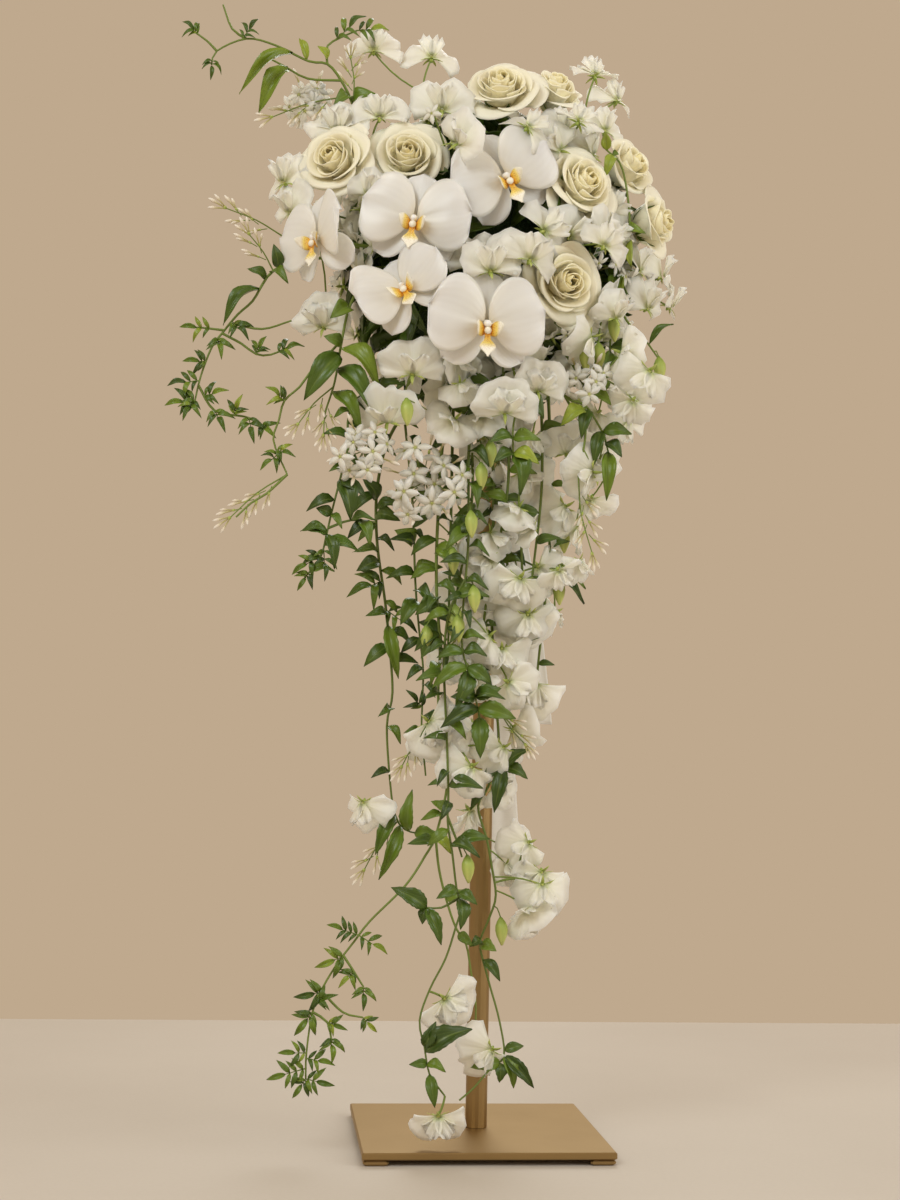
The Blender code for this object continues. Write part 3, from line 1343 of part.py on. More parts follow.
def vine_sheet(plant, outward_at):
    # The vine as one sheet, from its first stem out.
    sheet = new_sheet()

    def lay_strand(number, sheet, base):
        path = plant["paths"][number]
        outward = outward_at(path)
        shoots = []
        end = None
        for strand, shoot in plant["shoots"]:
            if strand != number:
                continue
            made = dict(shoot)
            made["half"] = half_roots[shoot["kind"]]
            made["side"] = side_of(path, shoot["at"], shoot["tip"] - shoot["root"], outward)
            if shoot["kind"] == "branch":
                made["lay"] = strand_layer(shoot["strand"])
            if shoot["kind"] == "stalk":
                made["lay"] = stalk_layer(shoot["root"], shoot["tip"], outward)
                if shoot["at"] > lengths_along(path)[-1] - bare_tip:
                    end = made["lay"]
                    continue
            shoots.append(made)
        widths = stem_width(number, np.linspace(0, 1, len(path)))
        lay_strip(sheet, path, widths, widths * 0.85, outward, base, shoots, end)

    def strand_layer(number):
        return lambda sheet, base: lay_strand(number, sheet, base)

    def stalk_layer(root, tip, outward):
        path = np.array([root, (root + tip) / 2 + (0, 0, stalk_bow), tip])
        width = half_roots["stalk"] * 2
        return lambda sheet, base: lay_strip(sheet, path, width, width, outward, base)

    lay_strand(0, sheet, None)
    return sheet


def finish_vine(plant, wanted, outward_at, obstacles):
    # Grows the leaves of a vine where they are clear, and gives it its thickness.
    if crosses_itself(thickened(vine_sheet(plant, outward_at))):
        print(f"{plant['name']}: its stems cross")
    left_off = []
    for kind, root, tip, extra, outward in wanted:
        gaps = [nearest_on(path, root) for path in plant["paths"]]
        strand = min(range(len(gaps)), key=lambda k: gaps[k][0])
        at, spot = gaps[strand][1:]
        if not grow_clear(plant, kind, at, spot, tip, extra, outward, strand, outward_at, obstacles):
            left_off.append(kind)
    if left_off:
        print(f"{plant['name']}: of {len(wanted)}, left off {left_off}")
    put(plant, "stem", [thickened(vine_sheet(plant, outward_at))])


def front_of(path):
    return front


def back_of(path):
    return unit(path.mean(axis=0) - core_centre)


def make_back_foliage(obstacles):
    made = []
    for seed, (name, rows) in enumerate(back_stems.items()):
        draw = random.Random(90 + seed)
        plant = new_plant(name, (0.06, 0.15, 0.03), 0.45)
        route = []
        for k, up in enumerate(rows["ups"]):
            sway = back_turn["sway"] * math.sin(k * back_turn["rate"])
            turn = math.radians(back_turn["degrees"] + sway) * rows["turn"]
            lift = math.radians(up)
            way = np.array([math.sin(turn) * math.cos(lift), math.cos(turn) * math.cos(lift), math.sin(lift)])
            route.append(core_centre + way * (core_radii + back_lift))
        path = smooth_path([core_surface_to(route[0], stem_depth)] + route, step_along_vine)
        plant["paths"] = [path]
        long, wide = rows["leaf"]
        spots = smooth_path(route, back_leaf_step)
        wanted = []
        for k, spot in enumerate(spots):
            out = unit(spot - core_centre)
            run = unit(spots[min(k + 1, len(spots) - 1)] - spots[max(k - 1, 0)])
            for side in (-1, 1):
                way = unit(np.cross(out, run) * side + run * 0.45 + out * draw.uniform(0.25, 0.5))
                tip = spot + way * long / 100 * draw.uniform(0.85, 1.05)
                wanted.append(("leaf", spot, tip, wide / 100, out))
        finish_vine(plant, wanted, back_of, obstacles)
        made.append(plant)
    return made


def make_core():
    plant = new_plant("foam_core", (0.05, 0.11, 0.03), 0.9)
    rings = []
    for i in range(1, core_rings):
        lift = math.pi / 2 - math.pi * i / core_rings
        ring = []
        for k in range(core_sides):
            turn = math.tau * k / core_sides
            way = np.array([math.cos(lift) * math.cos(turn), math.cos(lift) * math.sin(turn), math.sin(lift)])
            ring.append(core_centre + core_radii * way)
        rings.append(ring)
    tall = core_radii * (0, 0, 1)
    put(plant, "core", [turned_solid(rings, core_centre + tall, core_centre - tall)])
    return plant


def ring_solid(low, high, inner, outer, sides=12):
    rows = []
    for radius, height in ((outer, high), (outer, low), (inner, low), (inner, high)):
        turns = [math.tau * k / sides for k in range(sides)]
        rows.append([(radius * math.cos(t), radius * math.sin(t), height) for t in turns])
    points = np.array(rows).reshape(-1, 3)
    faces = []
    for i in range(4):
        for k in range(sides):
            a = i * sides + k
            b = i * sides + (k + 1) % sides
            c = (i + 1) % 4 * sides + k
            d = (i + 1) % 4 * sides + (k + 1) % sides
            faces += [(a, c, d), (a, d, b)]
    return points, np.array(faces)


def ribbon_tail(start, end, width, sway):
    # A hanging length of ribbon, narrower where it is gathered at the knot.
    sheet = new_sheet()
    upper = None
    for v in np.linspace(0, 1, tail_rows):
        drift = np.array([sway * math.sin(math.pi * v), tail_drift * math.sin(5 * v), 0])
        middle = start + (end - start) * v + drift
        half = width / 2 * min(1.0, tail_gather[0] + tail_gather[1] * v)
        places = []
        for u in (-1, 0, 1):
            fold = tail_fold * math.cos(math.pi * u) * math.sin(3 * v + 0.2)
            places.append(middle + np.array([half * u, fold, 0]))
        row = add_row(sheet, places, ribbon_thickness)
        if upper is not None:
            stitch(sheet, row, upper)
        upper = row
    return thickened(sheet)


def make_ribbon():
    # A band round the pole, its knot behind, and the two tails that hang from the knot.
    plant = new_plant("ribbon", (0.88, 0.87, 0.83), 0.5)
    band = ribbon_band
    put(plant, "ribbon", [ring_solid(band["low"], band["high"], band["inner"], band["outer"])])
    knot = np.array([knot_side, band["outer"] + ribbon_knot * knot_depth, 0])
    ends = [knot + (0, 0, band["low"] - knot_side), knot + (0, 0, band["low"] + ribbon_knot)]
    put(plant, "ribbon", [tube(ends, [ribbon_knot * knot_half] * 2, 4)])
    start = knot + (tail_gap[0], 0, band["low"])
    for end, side, sway in ribbon_tails:
        top = start + (tail_gap[0] * side, tail_gap[1] * side, 0)
        put(plant, "ribbon", [ribbon_tail(top, cm(end), ribbon_width, sway)])
    return plant


# Booleans on closed solids.
def mesh_object(name, points, faces, collection):
    mesh = bpy.data.meshes.new(name)
    mesh.from_pydata([tuple(p) for p in points], [], [tuple(int(i) for i in f) for f in faces])
    body = bpy.data.objects.new(name, mesh)
    collection.objects.link(body)
    return body


def drop(body):
    mesh = body.data
    bpy.data.objects.remove(body)
    bpy.data.meshes.remove(mesh)


def triangles_of(mesh):
    mesh.calc_loop_triangles()
    points = np.empty(len(mesh.vertices) * 3)
    mesh.vertices.foreach_get("co", points)
    faces = np.empty(len(mesh.loop_triangles) * 3, np.int32)
    mesh.loop_triangles.foreach_get("vertices", faces)
    return points.reshape(-1, 3), faces.reshape(-1, 3)


def boolean(solid, others, operation):
    # One Boolean of a solid and a collection of solids.
    if not others:
        return solid
    scene = bpy.context.scene
    group = bpy.data.collections.new("operands")
    scene.collection.children.link(group)
    base = mesh_object("base", *solid, scene.collection)
    operands = [mesh_object("operand", *other, group) for other in others]
    modifier = base.modifiers.new("joined", "BOOLEAN")
    modifier.operation = operation
    modifier.solver = "MANIFOLD"
    modifier.operand_type = "COLLECTION"
    modifier.collection = group
    graph = bpy.context.evaluated_depsgraph_get()
    evaluated = base.evaluated_get(graph)
    result = triangles_of(evaluated.to_mesh())
    evaluated.to_mesh_clear()
    for body in operands + [base]:
        drop(body)
    bpy.data.collections.remove(group)
    return result


def grown(points, faces, gap):
    # The solid with every face moved out by about the gap.
    corners = points[faces]
    flat = np.cross(corners[:, 1] - corners[:, 0], corners[:, 2] - corners[:, 0])
    area = np.maximum(np.linalg.norm(flat, axis=1, keepdims=True), 1e-14)
    even = flat / area
    normals = np.zeros_like(points)
    for k in range(3):
        np.add.at(normals, faces[:, k], even * np.sqrt(area))
    normals /= np.maximum(np.linalg.norm(normals, axis=1, keepdims=True), 1e-14)
    lean = np.zeros(len(points))
    count = np.zeros(len(points))
    for k in range(3):
        np.add.at(lean, faces[:, k], (normals[faces[:, k]] * even).sum(axis=1))
        np.add.at(count, faces[:, k], 1)
    lean = np.clip(lean / np.maximum(count, 1), 0.5, 1.0)
    return points + normals * (gap / lean)[:, None], faces


def largest_body(points, faces):
    # The biggest connected body, and the share of the volume that it holds.
    label = np.arange(len(points))
    while True:
        low = label[faces].min(axis=1)
        fresh = label.copy()
        for k in range(3):
            np.minimum.at(fresh, faces[:, k], low)
        fresh = fresh[fresh]
        if (fresh == label).all():
            break
        label = fresh
    corners = points[faces] - points.mean(axis=0)
    volume = np.einsum("ij,ij->i", corners[:, 0], np.cross(corners[:, 1], corners[:, 2])) / 6
    bodies = label[faces[:, 0]]
    names = np.unique(bodies)
    volumes = np.array([volume[bodies == name].sum() for name in names])
    best = names[volumes.argmax()]
    kept = faces[bodies == best]
    used, index = np.unique(kept, return_inverse=True)
    share = volumes.max() / max(volumes[volumes > 0].sum(), 1e-15)
    return (points[used], index.reshape(-1, 3)), share


def root_hole(path):
    # The plain hole that a vine's root stands in.
    start = path[0] - unit(path[1] - path[0]) * carve_gap
    near = np.linalg.norm(path[1] - path[0]) < stem_depth * 1.4
    end = path[1] if near and len(path) > 2 else core_surface_to(path[0]) * 2 - path[0]
    return tube([start, end], vine_root_width * 1.2 + carve_gap, 4)


def trimmed(plants):
    # Each plant as one solid, cut back where a plant of an earlier rank comes within the gap.
    cutters = []
    holes = []
    for order, plant in enumerate(plants):
        for rank, points, faces in plant["pieces"]:
            cutters.append((rank, order, box_of(points), points, faces))
        if "paths" in plant:
            holes.append(root_hole(plant["paths"][0]))
    solids = []
    for order, plant in enumerate(plants):
        ranked = {}
        for rank, points, faces in plant["pieces"]:
            ranked.setdefault(rank, []).append((points, faces))
        parts = []
        for rank, pieces in sorted(ranked.items()):
            joined = boolean(pieces[0], pieces[1:], "UNION")
            if rank > ranks.index("stem"):
                box = box_of(joined[0])
                mine = tree_of(joined)
                near = []
                for other_rank, other, other_box, points, faces in cutters:
                    if (other_rank, other) >= (rank, order) or other == order:
                        continue
                    if plant["name"] == "foam_core" and "paths" in plants[other]:
                        continue
                    if not boxes_meet(box, other_box, box_margin):
                        continue
                    cutter = grown(points, faces, carve_gap)
                    if mine.overlap(tree_of(cutter)):
                        near.append(cutter)
                if plant["name"] == "foam_core":
                    near += holes
                joined = boolean(joined, near, "DIFFERENCE")
            parts.append(joined)
        whole = boolean(parts[0], parts[1:], "UNION")
        solid, share = largest_body(*whole)
        if share < least_share:
            print(f"{plant['name']}: kept {share:.3f} of it")
        solids.append(solid)
    return solids


def shaded(plant, solid, parent):
    body = mesh_object(plant["name"], *solid, bpy.context.scene.collection)
    material = bpy.data.materials.new(plant["name"])
    material.use_nodes = True
    shader = material.node_tree.nodes["Principled BSDF"]
    shader.inputs["Base Color"].default_value = (*plant["colour"], 1.0)
    shader.inputs["Roughness"].default_value = plant["roughness"]
    shader.inputs["Metallic"].default_value = plant["metallic"]
    body.data.materials.append(material)
    body.data.shade_smooth()
    body.data.set_sharp_from_angle(angle=math.radians(40))
    body.parent = parent
    return body


# The stand.
def rounded_block(half, low, high, bevel):
    # A square block whose edges are cut at 45 degrees.
    rings = []
    for height, inset in ((high, bevel), (high - bevel, 0), (low + bevel, 0), (low, bevel)):
        side = half - inset
        near = side - bevel
        corner = [(side, -near), (side, near), (near, side), (-near, side)]
        corner += [(-x, -y) for x, y in corner]
        rings.append([(x, y, height) for x, y in corner])
    return turned_solid(rings, (0, 0, high), (0, 0, low))


def new_metal(name):
    plant = new_plant(name, (0.45, 0.30, 0.13), 0.4)
    plant["metallic"] = 1.0
    return plant


def make_stand():
    low = foot_height + seat_gap
    high = low + plate_thickness
    plate = new_metal("stand_plate")
    put(plate, "stand", [rounded_block(plate_size / 2, low, high, plate_edge)])
    made = [plate]
    reach = plate_size / 2 - foot_size / 2 - foot_inset
    for number, (x, y) in enumerate(((-1, -1), (1, -1), (1, 1), (-1, 1)), 1):
        foot = new_metal(f"stand_foot_{number}")
        points, faces = rounded_block(foot_size / 2, 0.0, foot_height, foot_round)
        put(foot, "stand", [(points + np.array([x * reach, y * reach, 0]), faces)])
        made.append(foot)
    pole = new_metal("stand_pole")
    put(pole, "stand", [tube([(0, 0, high + seat_gap), (0, 0, pole_top)], pole_radius, 20)])
    made.append(pole)
    return made


def gather():
    vines_made = start_vines()
    blooms = make_orchids() + make_roses() + make_sweet_peas(vines_made) + make_jasmine(vines_made)
    stand = make_stand()
    ribbon = make_ribbon()
    core = make_core()
    obstacles = []
    for plant in stand + blooms + [ribbon, core]:
        obstacles += [as_obstacle((points, faces)) for rank, points, faces in plant["pieces"]]
    for plant in vines_made.values():
        for number, path in enumerate(plant["paths"]):
            radii = 0.6 * stem_width(number, np.linspace(0, 1, len(path)))
            obstacles.append(as_obstacle(tube(path, radii, 4)))
    back = make_back_foliage(obstacles)
    for seed, (name, rows) in enumerate(vines.items()):
        finish_vine(vines_made[name], wanted_shoots(rows, random.Random(seed)), front_of, obstacles)
    return stand + list(vines_made.values()) + back + blooms + [ribbon, core]


def main():
    for old in list(bpy.data.objects):
        bpy.data.objects.remove(old)
    middle = bpy.data.objects.new("bouquet", None)
    middle.location = (*stand_offset, 0)
    bpy.context.scene.collection.objects.link(middle)
    plants = gather()
    for plant, solid in zip(plants, trimmed(plants)):
        shaded(plant, solid, middle)


if __name__ == "__main__":
    main()
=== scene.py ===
import json
import math
import random

import bpy
import numpy as np
from mathutils import Matrix, Vector

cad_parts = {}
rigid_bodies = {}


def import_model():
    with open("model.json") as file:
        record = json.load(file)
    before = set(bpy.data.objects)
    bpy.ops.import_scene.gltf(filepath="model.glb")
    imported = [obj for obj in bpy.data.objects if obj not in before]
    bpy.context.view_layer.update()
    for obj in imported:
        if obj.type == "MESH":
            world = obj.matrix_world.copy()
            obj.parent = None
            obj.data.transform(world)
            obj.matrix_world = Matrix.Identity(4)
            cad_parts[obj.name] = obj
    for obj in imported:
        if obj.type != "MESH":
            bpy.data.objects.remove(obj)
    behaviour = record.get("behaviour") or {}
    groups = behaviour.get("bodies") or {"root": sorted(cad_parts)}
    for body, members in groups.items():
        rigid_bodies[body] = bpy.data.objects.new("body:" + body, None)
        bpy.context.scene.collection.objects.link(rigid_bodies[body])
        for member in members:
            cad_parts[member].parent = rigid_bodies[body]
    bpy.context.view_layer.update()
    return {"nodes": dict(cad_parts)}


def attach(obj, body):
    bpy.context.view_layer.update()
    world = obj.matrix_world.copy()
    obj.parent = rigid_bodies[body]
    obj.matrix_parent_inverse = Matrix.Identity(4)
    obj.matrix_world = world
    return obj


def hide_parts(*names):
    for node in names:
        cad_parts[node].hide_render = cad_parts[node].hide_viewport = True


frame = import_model()
print("frame loaded:", len(frame["nodes"]), "nodes")

# Places in the lists are in centimetres from the foot of the pole: right, back, up.
# Here, in metres: where that foot stands, the foam's middle and half sizes, and how
# deep the stems go into the foam.
standOffset = np.array([0.0648, 0.0215, 0.0])
coreCentre = np.array([-0.005, 0.0, 0.930])
coreRadii = np.array([0.120, 0.095, 0.125])
stemDepth = 0.024
# Radians from one petal or leaf of a spiral to the next.
goldenTurn = 2.39996
# The camera stands as the photograph's did, whose frame is 900 by 1200.
cameraForm = {
    "place": (-0.2282, -1.8906, 0.3948), "yaw": 0.1002, "pitch": 0.0873, "roll": 0.0201, "lens": 53.76,
}


def wireMath(operation, isReversed=False):
    def made(self, *others):
        values = [*others, self] if isReversed else [self, *others]
        return self.bench.add("ShaderNodeMath", {"operation": operation}, values)["Value"]
    return made


class Wire:
    # An output of a node. Sums and products of wires add Math nodes.
    def __init__(self, bench, socket):
        self.bench = bench
        self.socket = socket

    __add__, __radd__ = wireMath("ADD"), wireMath("ADD", True)
    __sub__, __rsub__ = wireMath("SUBTRACT"), wireMath("SUBTRACT", True)
    __mul__, __rmul__ = wireMath("MULTIPLY"), wireMath("MULTIPLY", True)
    __truediv__, __pow__ = wireMath("DIVIDE"), wireMath("POWER")
    sin, cos, size = wireMath("SINE"), wireMath("COSINE"), wireMath("ABSOLUTE")

    def clipped(self):
        return self.bench.add("ShaderNodeClamp", {}, [self])["Result"]


class Bench:
    # A node tree to build on.
    def __init__(self, tree):
        self.tree = tree
        tree.nodes.clear()

    def add(self, kind, settings=None, values=None):
        node = self.tree.nodes.new(kind)
        for name, value in (settings or {}).items():
            if name == "stops":
                self.setStops(node.color_ramp, value)
            else:
                setattr(node, name, value)
        pairs = enumerate(values) if isinstance(values, list) else (values or {}).items()
        for key, value in pairs:
            socket = node.inputs[key] if isinstance(key, int) else self.named(node.inputs, key)
            if isinstance(value, Wire):
                self.tree.links.new(value.socket, socket)
            elif value is not None:
                socket.default_value = value
        made = [s for s in node.outputs if s.enabled]
        found = {s.name: Wire(self, s) for s in reversed(made)}
        if made:
            found[0] = Wire(self, made[0])
        return found

    @staticmethod
    def named(sockets, name):
        return next(s for s in sockets if s.name == name and s.enabled)

    @staticmethod
    def setStops(ramp, stops):
        while len(ramp.elements) < len(stops):
            ramp.elements.new(0.5)
        for element, (place, *colour) in zip(ramp.elements, stops):
            element.position = place
            element.color = sRgb(colour)

    def attribute(self, name, kind="FLOAT"):
        return self.add("GeometryNodeInputNamedAttribute", {"data_type": kind}, {"Name": name})["Attribute"]

    def stored(self, geometry, domain, name, value, kind="FLOAT"):
        values = {"Geometry": geometry, "Name": name, "Value": value}
        return self.add("GeometryNodeStoreNamedAttribute", {"data_type": kind, "domain": domain}, values)[0]


def newTree(name, inputs, output):
    # A geometry tree with its inputs, ready to build on.
    tree = bpy.data.node_groups.new(name, "GeometryNodeTree")
    for socket, kind in inputs.items():
        tree.interface.new_socket(socket, in_out="INPUT", socket_type="NodeSocket" + kind)
    tree.interface.new_socket(output, in_out="OUTPUT", socket_type="NodeSocketGeometry")
    bench = Bench(tree)
    return bench, bench.add("NodeGroupInput")


# Materials. Their colours are sRGB from 0 to 255, and a ramp's stop is its place and colour.
def sRgb(colour):
    return (*(((c / 255 + 0.055) / 1.055) ** 2.4 if c > 10 else c / 3295 for c in colour), 1.0)


class Paint(Bench):
    # A material's tree. Every blade, petal and stem carries "grain": across from -1 to 1,
    # along from 0 to 1, and how far out it lies in its bloom. "tint" is its own shade.
    def __init__(self, tree):
        super().__init__(tree)
        grain = self.add("ShaderNodeAttribute", {"attribute_name": "grain"})["Vector"]
        parts = self.add("ShaderNodeSeparateXYZ", {}, {"Vector": grain})
        self.across, self.along, self.depth = parts["X"], parts["Y"], parts["Z"]
        self.tint = self.add("ShaderNodeAttribute", {"attribute_name": "tint"})["Fac"]
        self.place = self.add("ShaderNodeTexCoord")["Object"]

    def mix(self, share, first, second, blend="MIX"):
        first, second = [sRgb(c) if isinstance(c, tuple) else c for c in (first, second)]
        settings = {"data_type": "RGBA", "blend_type": blend}
        return self.add("ShaderNodeMix", settings, {"Factor": share, "A": first, "B": second})["Result"]

    def noise(self, scale, detail=3.0, place=None):
        values = {"Vector": place or self.place, "Scale": scale, "Detail": detail}
        return self.add("ShaderNodeTexNoise", {}, values)["Fac"]

    def cells(self, scale):
        return self.add("ShaderNodeTexVoronoi", {}, {"Vector": self.place, "Scale": scale})["Distance"]

    def ramp(self, value, *stops):
        return self.add("ShaderNodeValToRGB", {"stops": stops}, {"Fac": value})["Color"]

    def veins(self, count, lean):
        # Fine lines that fan out from the rib, or along the petal where lean is 0.
        ways = self.across * count + self.across.size() * self.along * lean
        return (ways * math.pi).sin() * 0.5 + 0.5

    def surface(self, colour, rough, height, strength, distance, **more):
        values = {"Height": height, "Strength": strength, "Distance": distance}
        normal = self.add("ShaderNodeBump", {}, values)["Normal"]
        return {"Base Color": colour, "Roughness": rough, "Normal": normal, **more}


def newMaterial(name, build, **constants):
    material = bpy.data.materials.new(name)
    material.use_nodes = True
    paint = Paint(material.node_tree)
    made = build(paint)
    made.update({name.replace("_", " "): value for name, value in constants.items()})
    shader = paint.add("ShaderNodeBsdfPrincipled", {}, made)["BSDF"]
    paint.add("ShaderNodeOutputMaterial", {}, {"Surface": shader})
    return material


def petalWhite(paint):
    fade = paint.ramp(paint.along, (0.0, 196, 210, 120), (0.22, 250, 248, 222), (1.0, 255, 254, 244))
    lines = paint.veins(15, 3)
    cloud = paint.noise(90)
    colour = paint.mix(lines * 0.10 + cloud * 0.04, fade, (238, 238, 228))
    height = lines * 0.6 + cloud * 0.5 + paint.noise(260, 4.0) * 0.2
    return paint.surface(colour, cloud * 0.15 + 0.42, height, 0.3, 0.0006)


def petalOrchid(paint):
    fade = paint.ramp(paint.along, (0.0, 233, 219, 190), (0.16, 246, 243, 232), (1.0, 253, 252, 250))
    lines = paint.veins(9, 4)
    cloud = paint.noise(60)
    colour = paint.mix(lines * 0.07 + cloud * 0.05, fade, (226, 220, 208))
    height = lines * 0.4 + paint.noise(600, 1.0) * 0.2
    return paint.surface(colour, cloud * 0.12 + 0.32, height, 0.25, 0.0005)


def petalRose(paint):
    heart = paint.ramp(paint.depth, (0.0, 255, 242, 188), (0.30, 255, 248, 214), (1.0, 255, 252, 231))
    foot = paint.ramp(paint.along, (0.0, 255, 250, 224), (0.30, 255, 254, 244), (0.60, 255, 255, 255))
    lines = paint.veins(8, 5)
    cloud = paint.noise(80)
    colour = paint.mix(1.0, heart, foot, "MULTIPLY")
    colour = paint.mix(lines * 0.05 + cloud * 0.04, colour, (250, 236, 204))
    return paint.surface(colour, cloud * 0.15 + 0.42, lines * 0.4 + cloud * 0.5, 0.3, 0.0006)


def petalStar(paint):
    fade = paint.ramp(paint.along, (0.0, 222, 216, 130), (0.14, 246, 244, 226), (1.0, 253, 253, 250))
    crease = 1.0 - paint.across.size()
    cloud = paint.noise(200)
    colour = paint.mix(cloud * 0.10, fade, (228, 222, 206))
    return paint.surface(colour, cloud * 0.1 + 0.42, crease, 0.3, 0.0006)


def lipGold(paint):
    # Gold, paler towards the tip, with dark flecks near the throat.
    spots = paint.cells(900.0)
    flecks = paint.ramp(spots, (0.22, 255, 255, 255), (0.40, 0, 0, 0))
    fade = paint.ramp(
        paint.along, (0.0, 228, 128, 26), (0.20, 244, 188, 50), (0.46, 250, 226, 120), (0.66, 255, 252, 238))
    throat = 1.0 - paint.along
    share = paint.add("ShaderNodeSeparateColor", {}, {"Color": flecks})["Red"] * throat
    return paint.surface(paint.mix(share, fade, (158, 40, 16)), spots * 0.2 + 0.34, spots, 0.3, 0.0004)


def leafGreen(paint):
    # Darker or fresher by the leaf, paler on its rib and side veins.
    shade = paint.ramp(
        paint.tint, (0.0, 48, 70, 18), (0.5, 86, 114, 28), (0.85, 126, 152, 40), (1.0, 172, 188, 62))
    cloud = paint.noise(160)
    rib = (1.0 - paint.across.size() * 7.0).clipped()
    side = paint.veins(0.0, 15.0) ** 6
    colour = paint.mix(cloud * 0.4, shade, (42, 64, 18))
    colour = paint.mix(rib * 0.45 + side * 0.12, colour, (126, 146, 66))
    height = rib * -0.8 + side * -0.35 + cloud * 0.4
    return paint.surface(colour, cloud * 0.22 + 0.26, height, 0.5, 0.0007)


def stemGreen(paint):
    fine = paint.noise(700)
    shade = paint.ramp(paint.tint, (0.0, 74, 86, 36), (0.5, 108, 132, 50), (1.0, 150, 174, 78))
    colour = paint.mix(paint.noise(70) * 0.35, shade, (84, 72, 40))
    return paint.surface(colour, fine * 0.2 + 0.45, fine, 0.4, 0.0005)


def budLime(paint):
    fade = paint.ramp(paint.along, (0.0, 122, 152, 52), (0.35, 176, 192, 92), (1.0, 214, 216, 132))
    ribs = paint.veins(5.0, 0.0)
    cloud = paint.noise(250)
    colour = paint.mix(ribs * 0.35 + cloud * 0.12, fade, (132, 162, 60))
    return paint.surface(colour, cloud * 0.2 + 0.4, ribs + cloud * 0.3, 0.4, 0.0006)


def budPink(paint):
    fade = paint.ramp(
        paint.along, (0.0, 140, 136, 70), (0.28, 190, 184, 120), (0.55, 238, 228, 208), (1.0, 252, 250, 244))
    cloud = paint.noise(300)
    colour = paint.mix(cloud * 0.2, fade, (206, 166, 150))
    return paint.surface(colour, cloud * 0.15 + 0.45, cloud, 0.3, 0.0003)


def brassSatin(paint):
    # Brushed brass, with faint stains and a fine tooth.
    strokes = {"Vector": paint.place, "Scale": (12.0, 900.0, 12.0)}
    brushed = paint.noise(4.0, 2.0, paint.add("ShaderNodeMapping", {}, strokes)["Vector"])
    stains = paint.noise(9.0, 5.0)
    colour = paint.mix(stains, (172, 145, 100), (152, 127, 86))
    rough = stains * 0.10 + brushed * 0.05 + 0.36
    return paint.surface(colour, rough, brushed + paint.noise(1500.0, 1.0) * 0.3, 0.05, 0.0002)


def foamGreen(paint):
    cells = paint.cells(420.0)
    colour = paint.mix(paint.noise(30), (30, 52, 26), (48, 72, 36))
    return paint.surface(colour, cells * 0.1 + 0.85, cells, 0.8, 0.002)


def ribbonSilk(paint):
    # A fine plain weave, a selvedge at both sides, and a little light through it.
    warp = (paint.across * 150.0).sin() * 0.5 + 0.5
    weft = (paint.along * 2400.0).sin() * 0.5 + 0.5
    edge = (paint.across.size() * 14.0 - 13.0).clipped()
    cloud = paint.noise(40)
    colour = paint.mix(warp * weft * 0.12 + cloud * 0.06, (252, 251, 248), (230, 226, 217))
    sheer = edge * 0.12 + cloud * 0.06 + 0.84
    return paint.surface(colour, cloud * 0.12 + 0.42, warp + weft + edge * 2.0, 0.2, 0.0002, Alpha=sheer)


def floorPaper(paint):
    grit = paint.noise(220.0)
    colour = paint.mix(paint.noise(3.0, 4.0) * 0.5 + grit * 0.2, (212, 204, 194), (190, 181, 170))
    return paint.surface(colour, grit * 0.1 + 0.7, grit, 0.1, 0.0005)


softLight = {"Subsurface_Weight": 0.5, "Subsurface_Radius": (1.0, 0.9, 0.7), "Subsurface_Scale": 0.008}
roseLight = {"Subsurface_Weight": 0.35, "Subsurface_Radius": (1.0, 0.96, 0.84), "Subsurface_Scale": 0.003}
brassFinish = newMaterial("brassFinish", brassSatin, Metallic=1.0)
foamFinish = newMaterial("foamFinish", foamGreen)
silkFinish = newMaterial("silkFinish", ribbonSilk, Sheen_Weight=0.4)

# What each part of a plant is made of. Its place in the list is its number in the "part" attribute.
partFinishes = {
    "stem": newMaterial("stemFinish", stemGreen),
    "leaf": newMaterial("leafFinish", leafGreen, Coat_Weight=0.08),
    "petal": newMaterial("petalFinish", petalWhite, Sheen_Weight=0.15, **softLight),
    "star": newMaterial("starFinish", petalStar, **softLight),
    "lime": newMaterial("limeFinish", budLime, Coat_Weight=0.1),
    "pink": newMaterial("pinkFinish", budPink),
    "orchid": newMaterial("orchidFinish", petalOrchid, Coat_Weight=0.15, **softLight),
    "lip": newMaterial("lipFinish", lipGold, Coat_Weight=0.3),
    "rose": newMaterial("roseFinish", petalRose, Sheen_Weight=0.1, **roseLight),
}
partNumbers = {part: number for number, part in enumerate(partFinishes)}
print("materials ready")


# Small vector helpers.
def unit(vector):
    vector = np.asarray(vector, float)
    return vector / max(np.linalg.norm(vector), 1e-12)


def cm(place):
    return np.array(place, float) / 100


def facing(right, up):
    # Degrees to the right and upwards. 0, 0 looks straight to the front.
    turn = math.radians(right)
    lift = math.radians(up)
    return np.array([math.sin(turn) * math.cos(lift), -math.cos(turn) * math.cos(lift), math.sin(lift)])


def axesFacing(forward, roll=0.0):
    # Columns: right, up and forward, as one who looks at the bloom sees them.
    forward = unit(forward)
    nearUp = (0, 1, 0) if abs(forward[2]) > 0.97 else (0, 0, 1)
    right = unit(np.cross(nearUp, forward))
    up = np.cross(forward, right)
    turn = math.radians(roll)
    turnedRight = right * math.cos(turn) + up * math.sin(turn)
    turnedUp = up * math.cos(turn) - right * math.sin(turn)
    return np.stack([turnedRight, turnedUp, forward], axis=1)


def axesAlong(along, outward):
    # Columns: across, along and outward.
    along = unit(along)
    across = unit(np.cross(along, outward))
    return np.stack([across, along, np.cross(across, along)], axis=1)


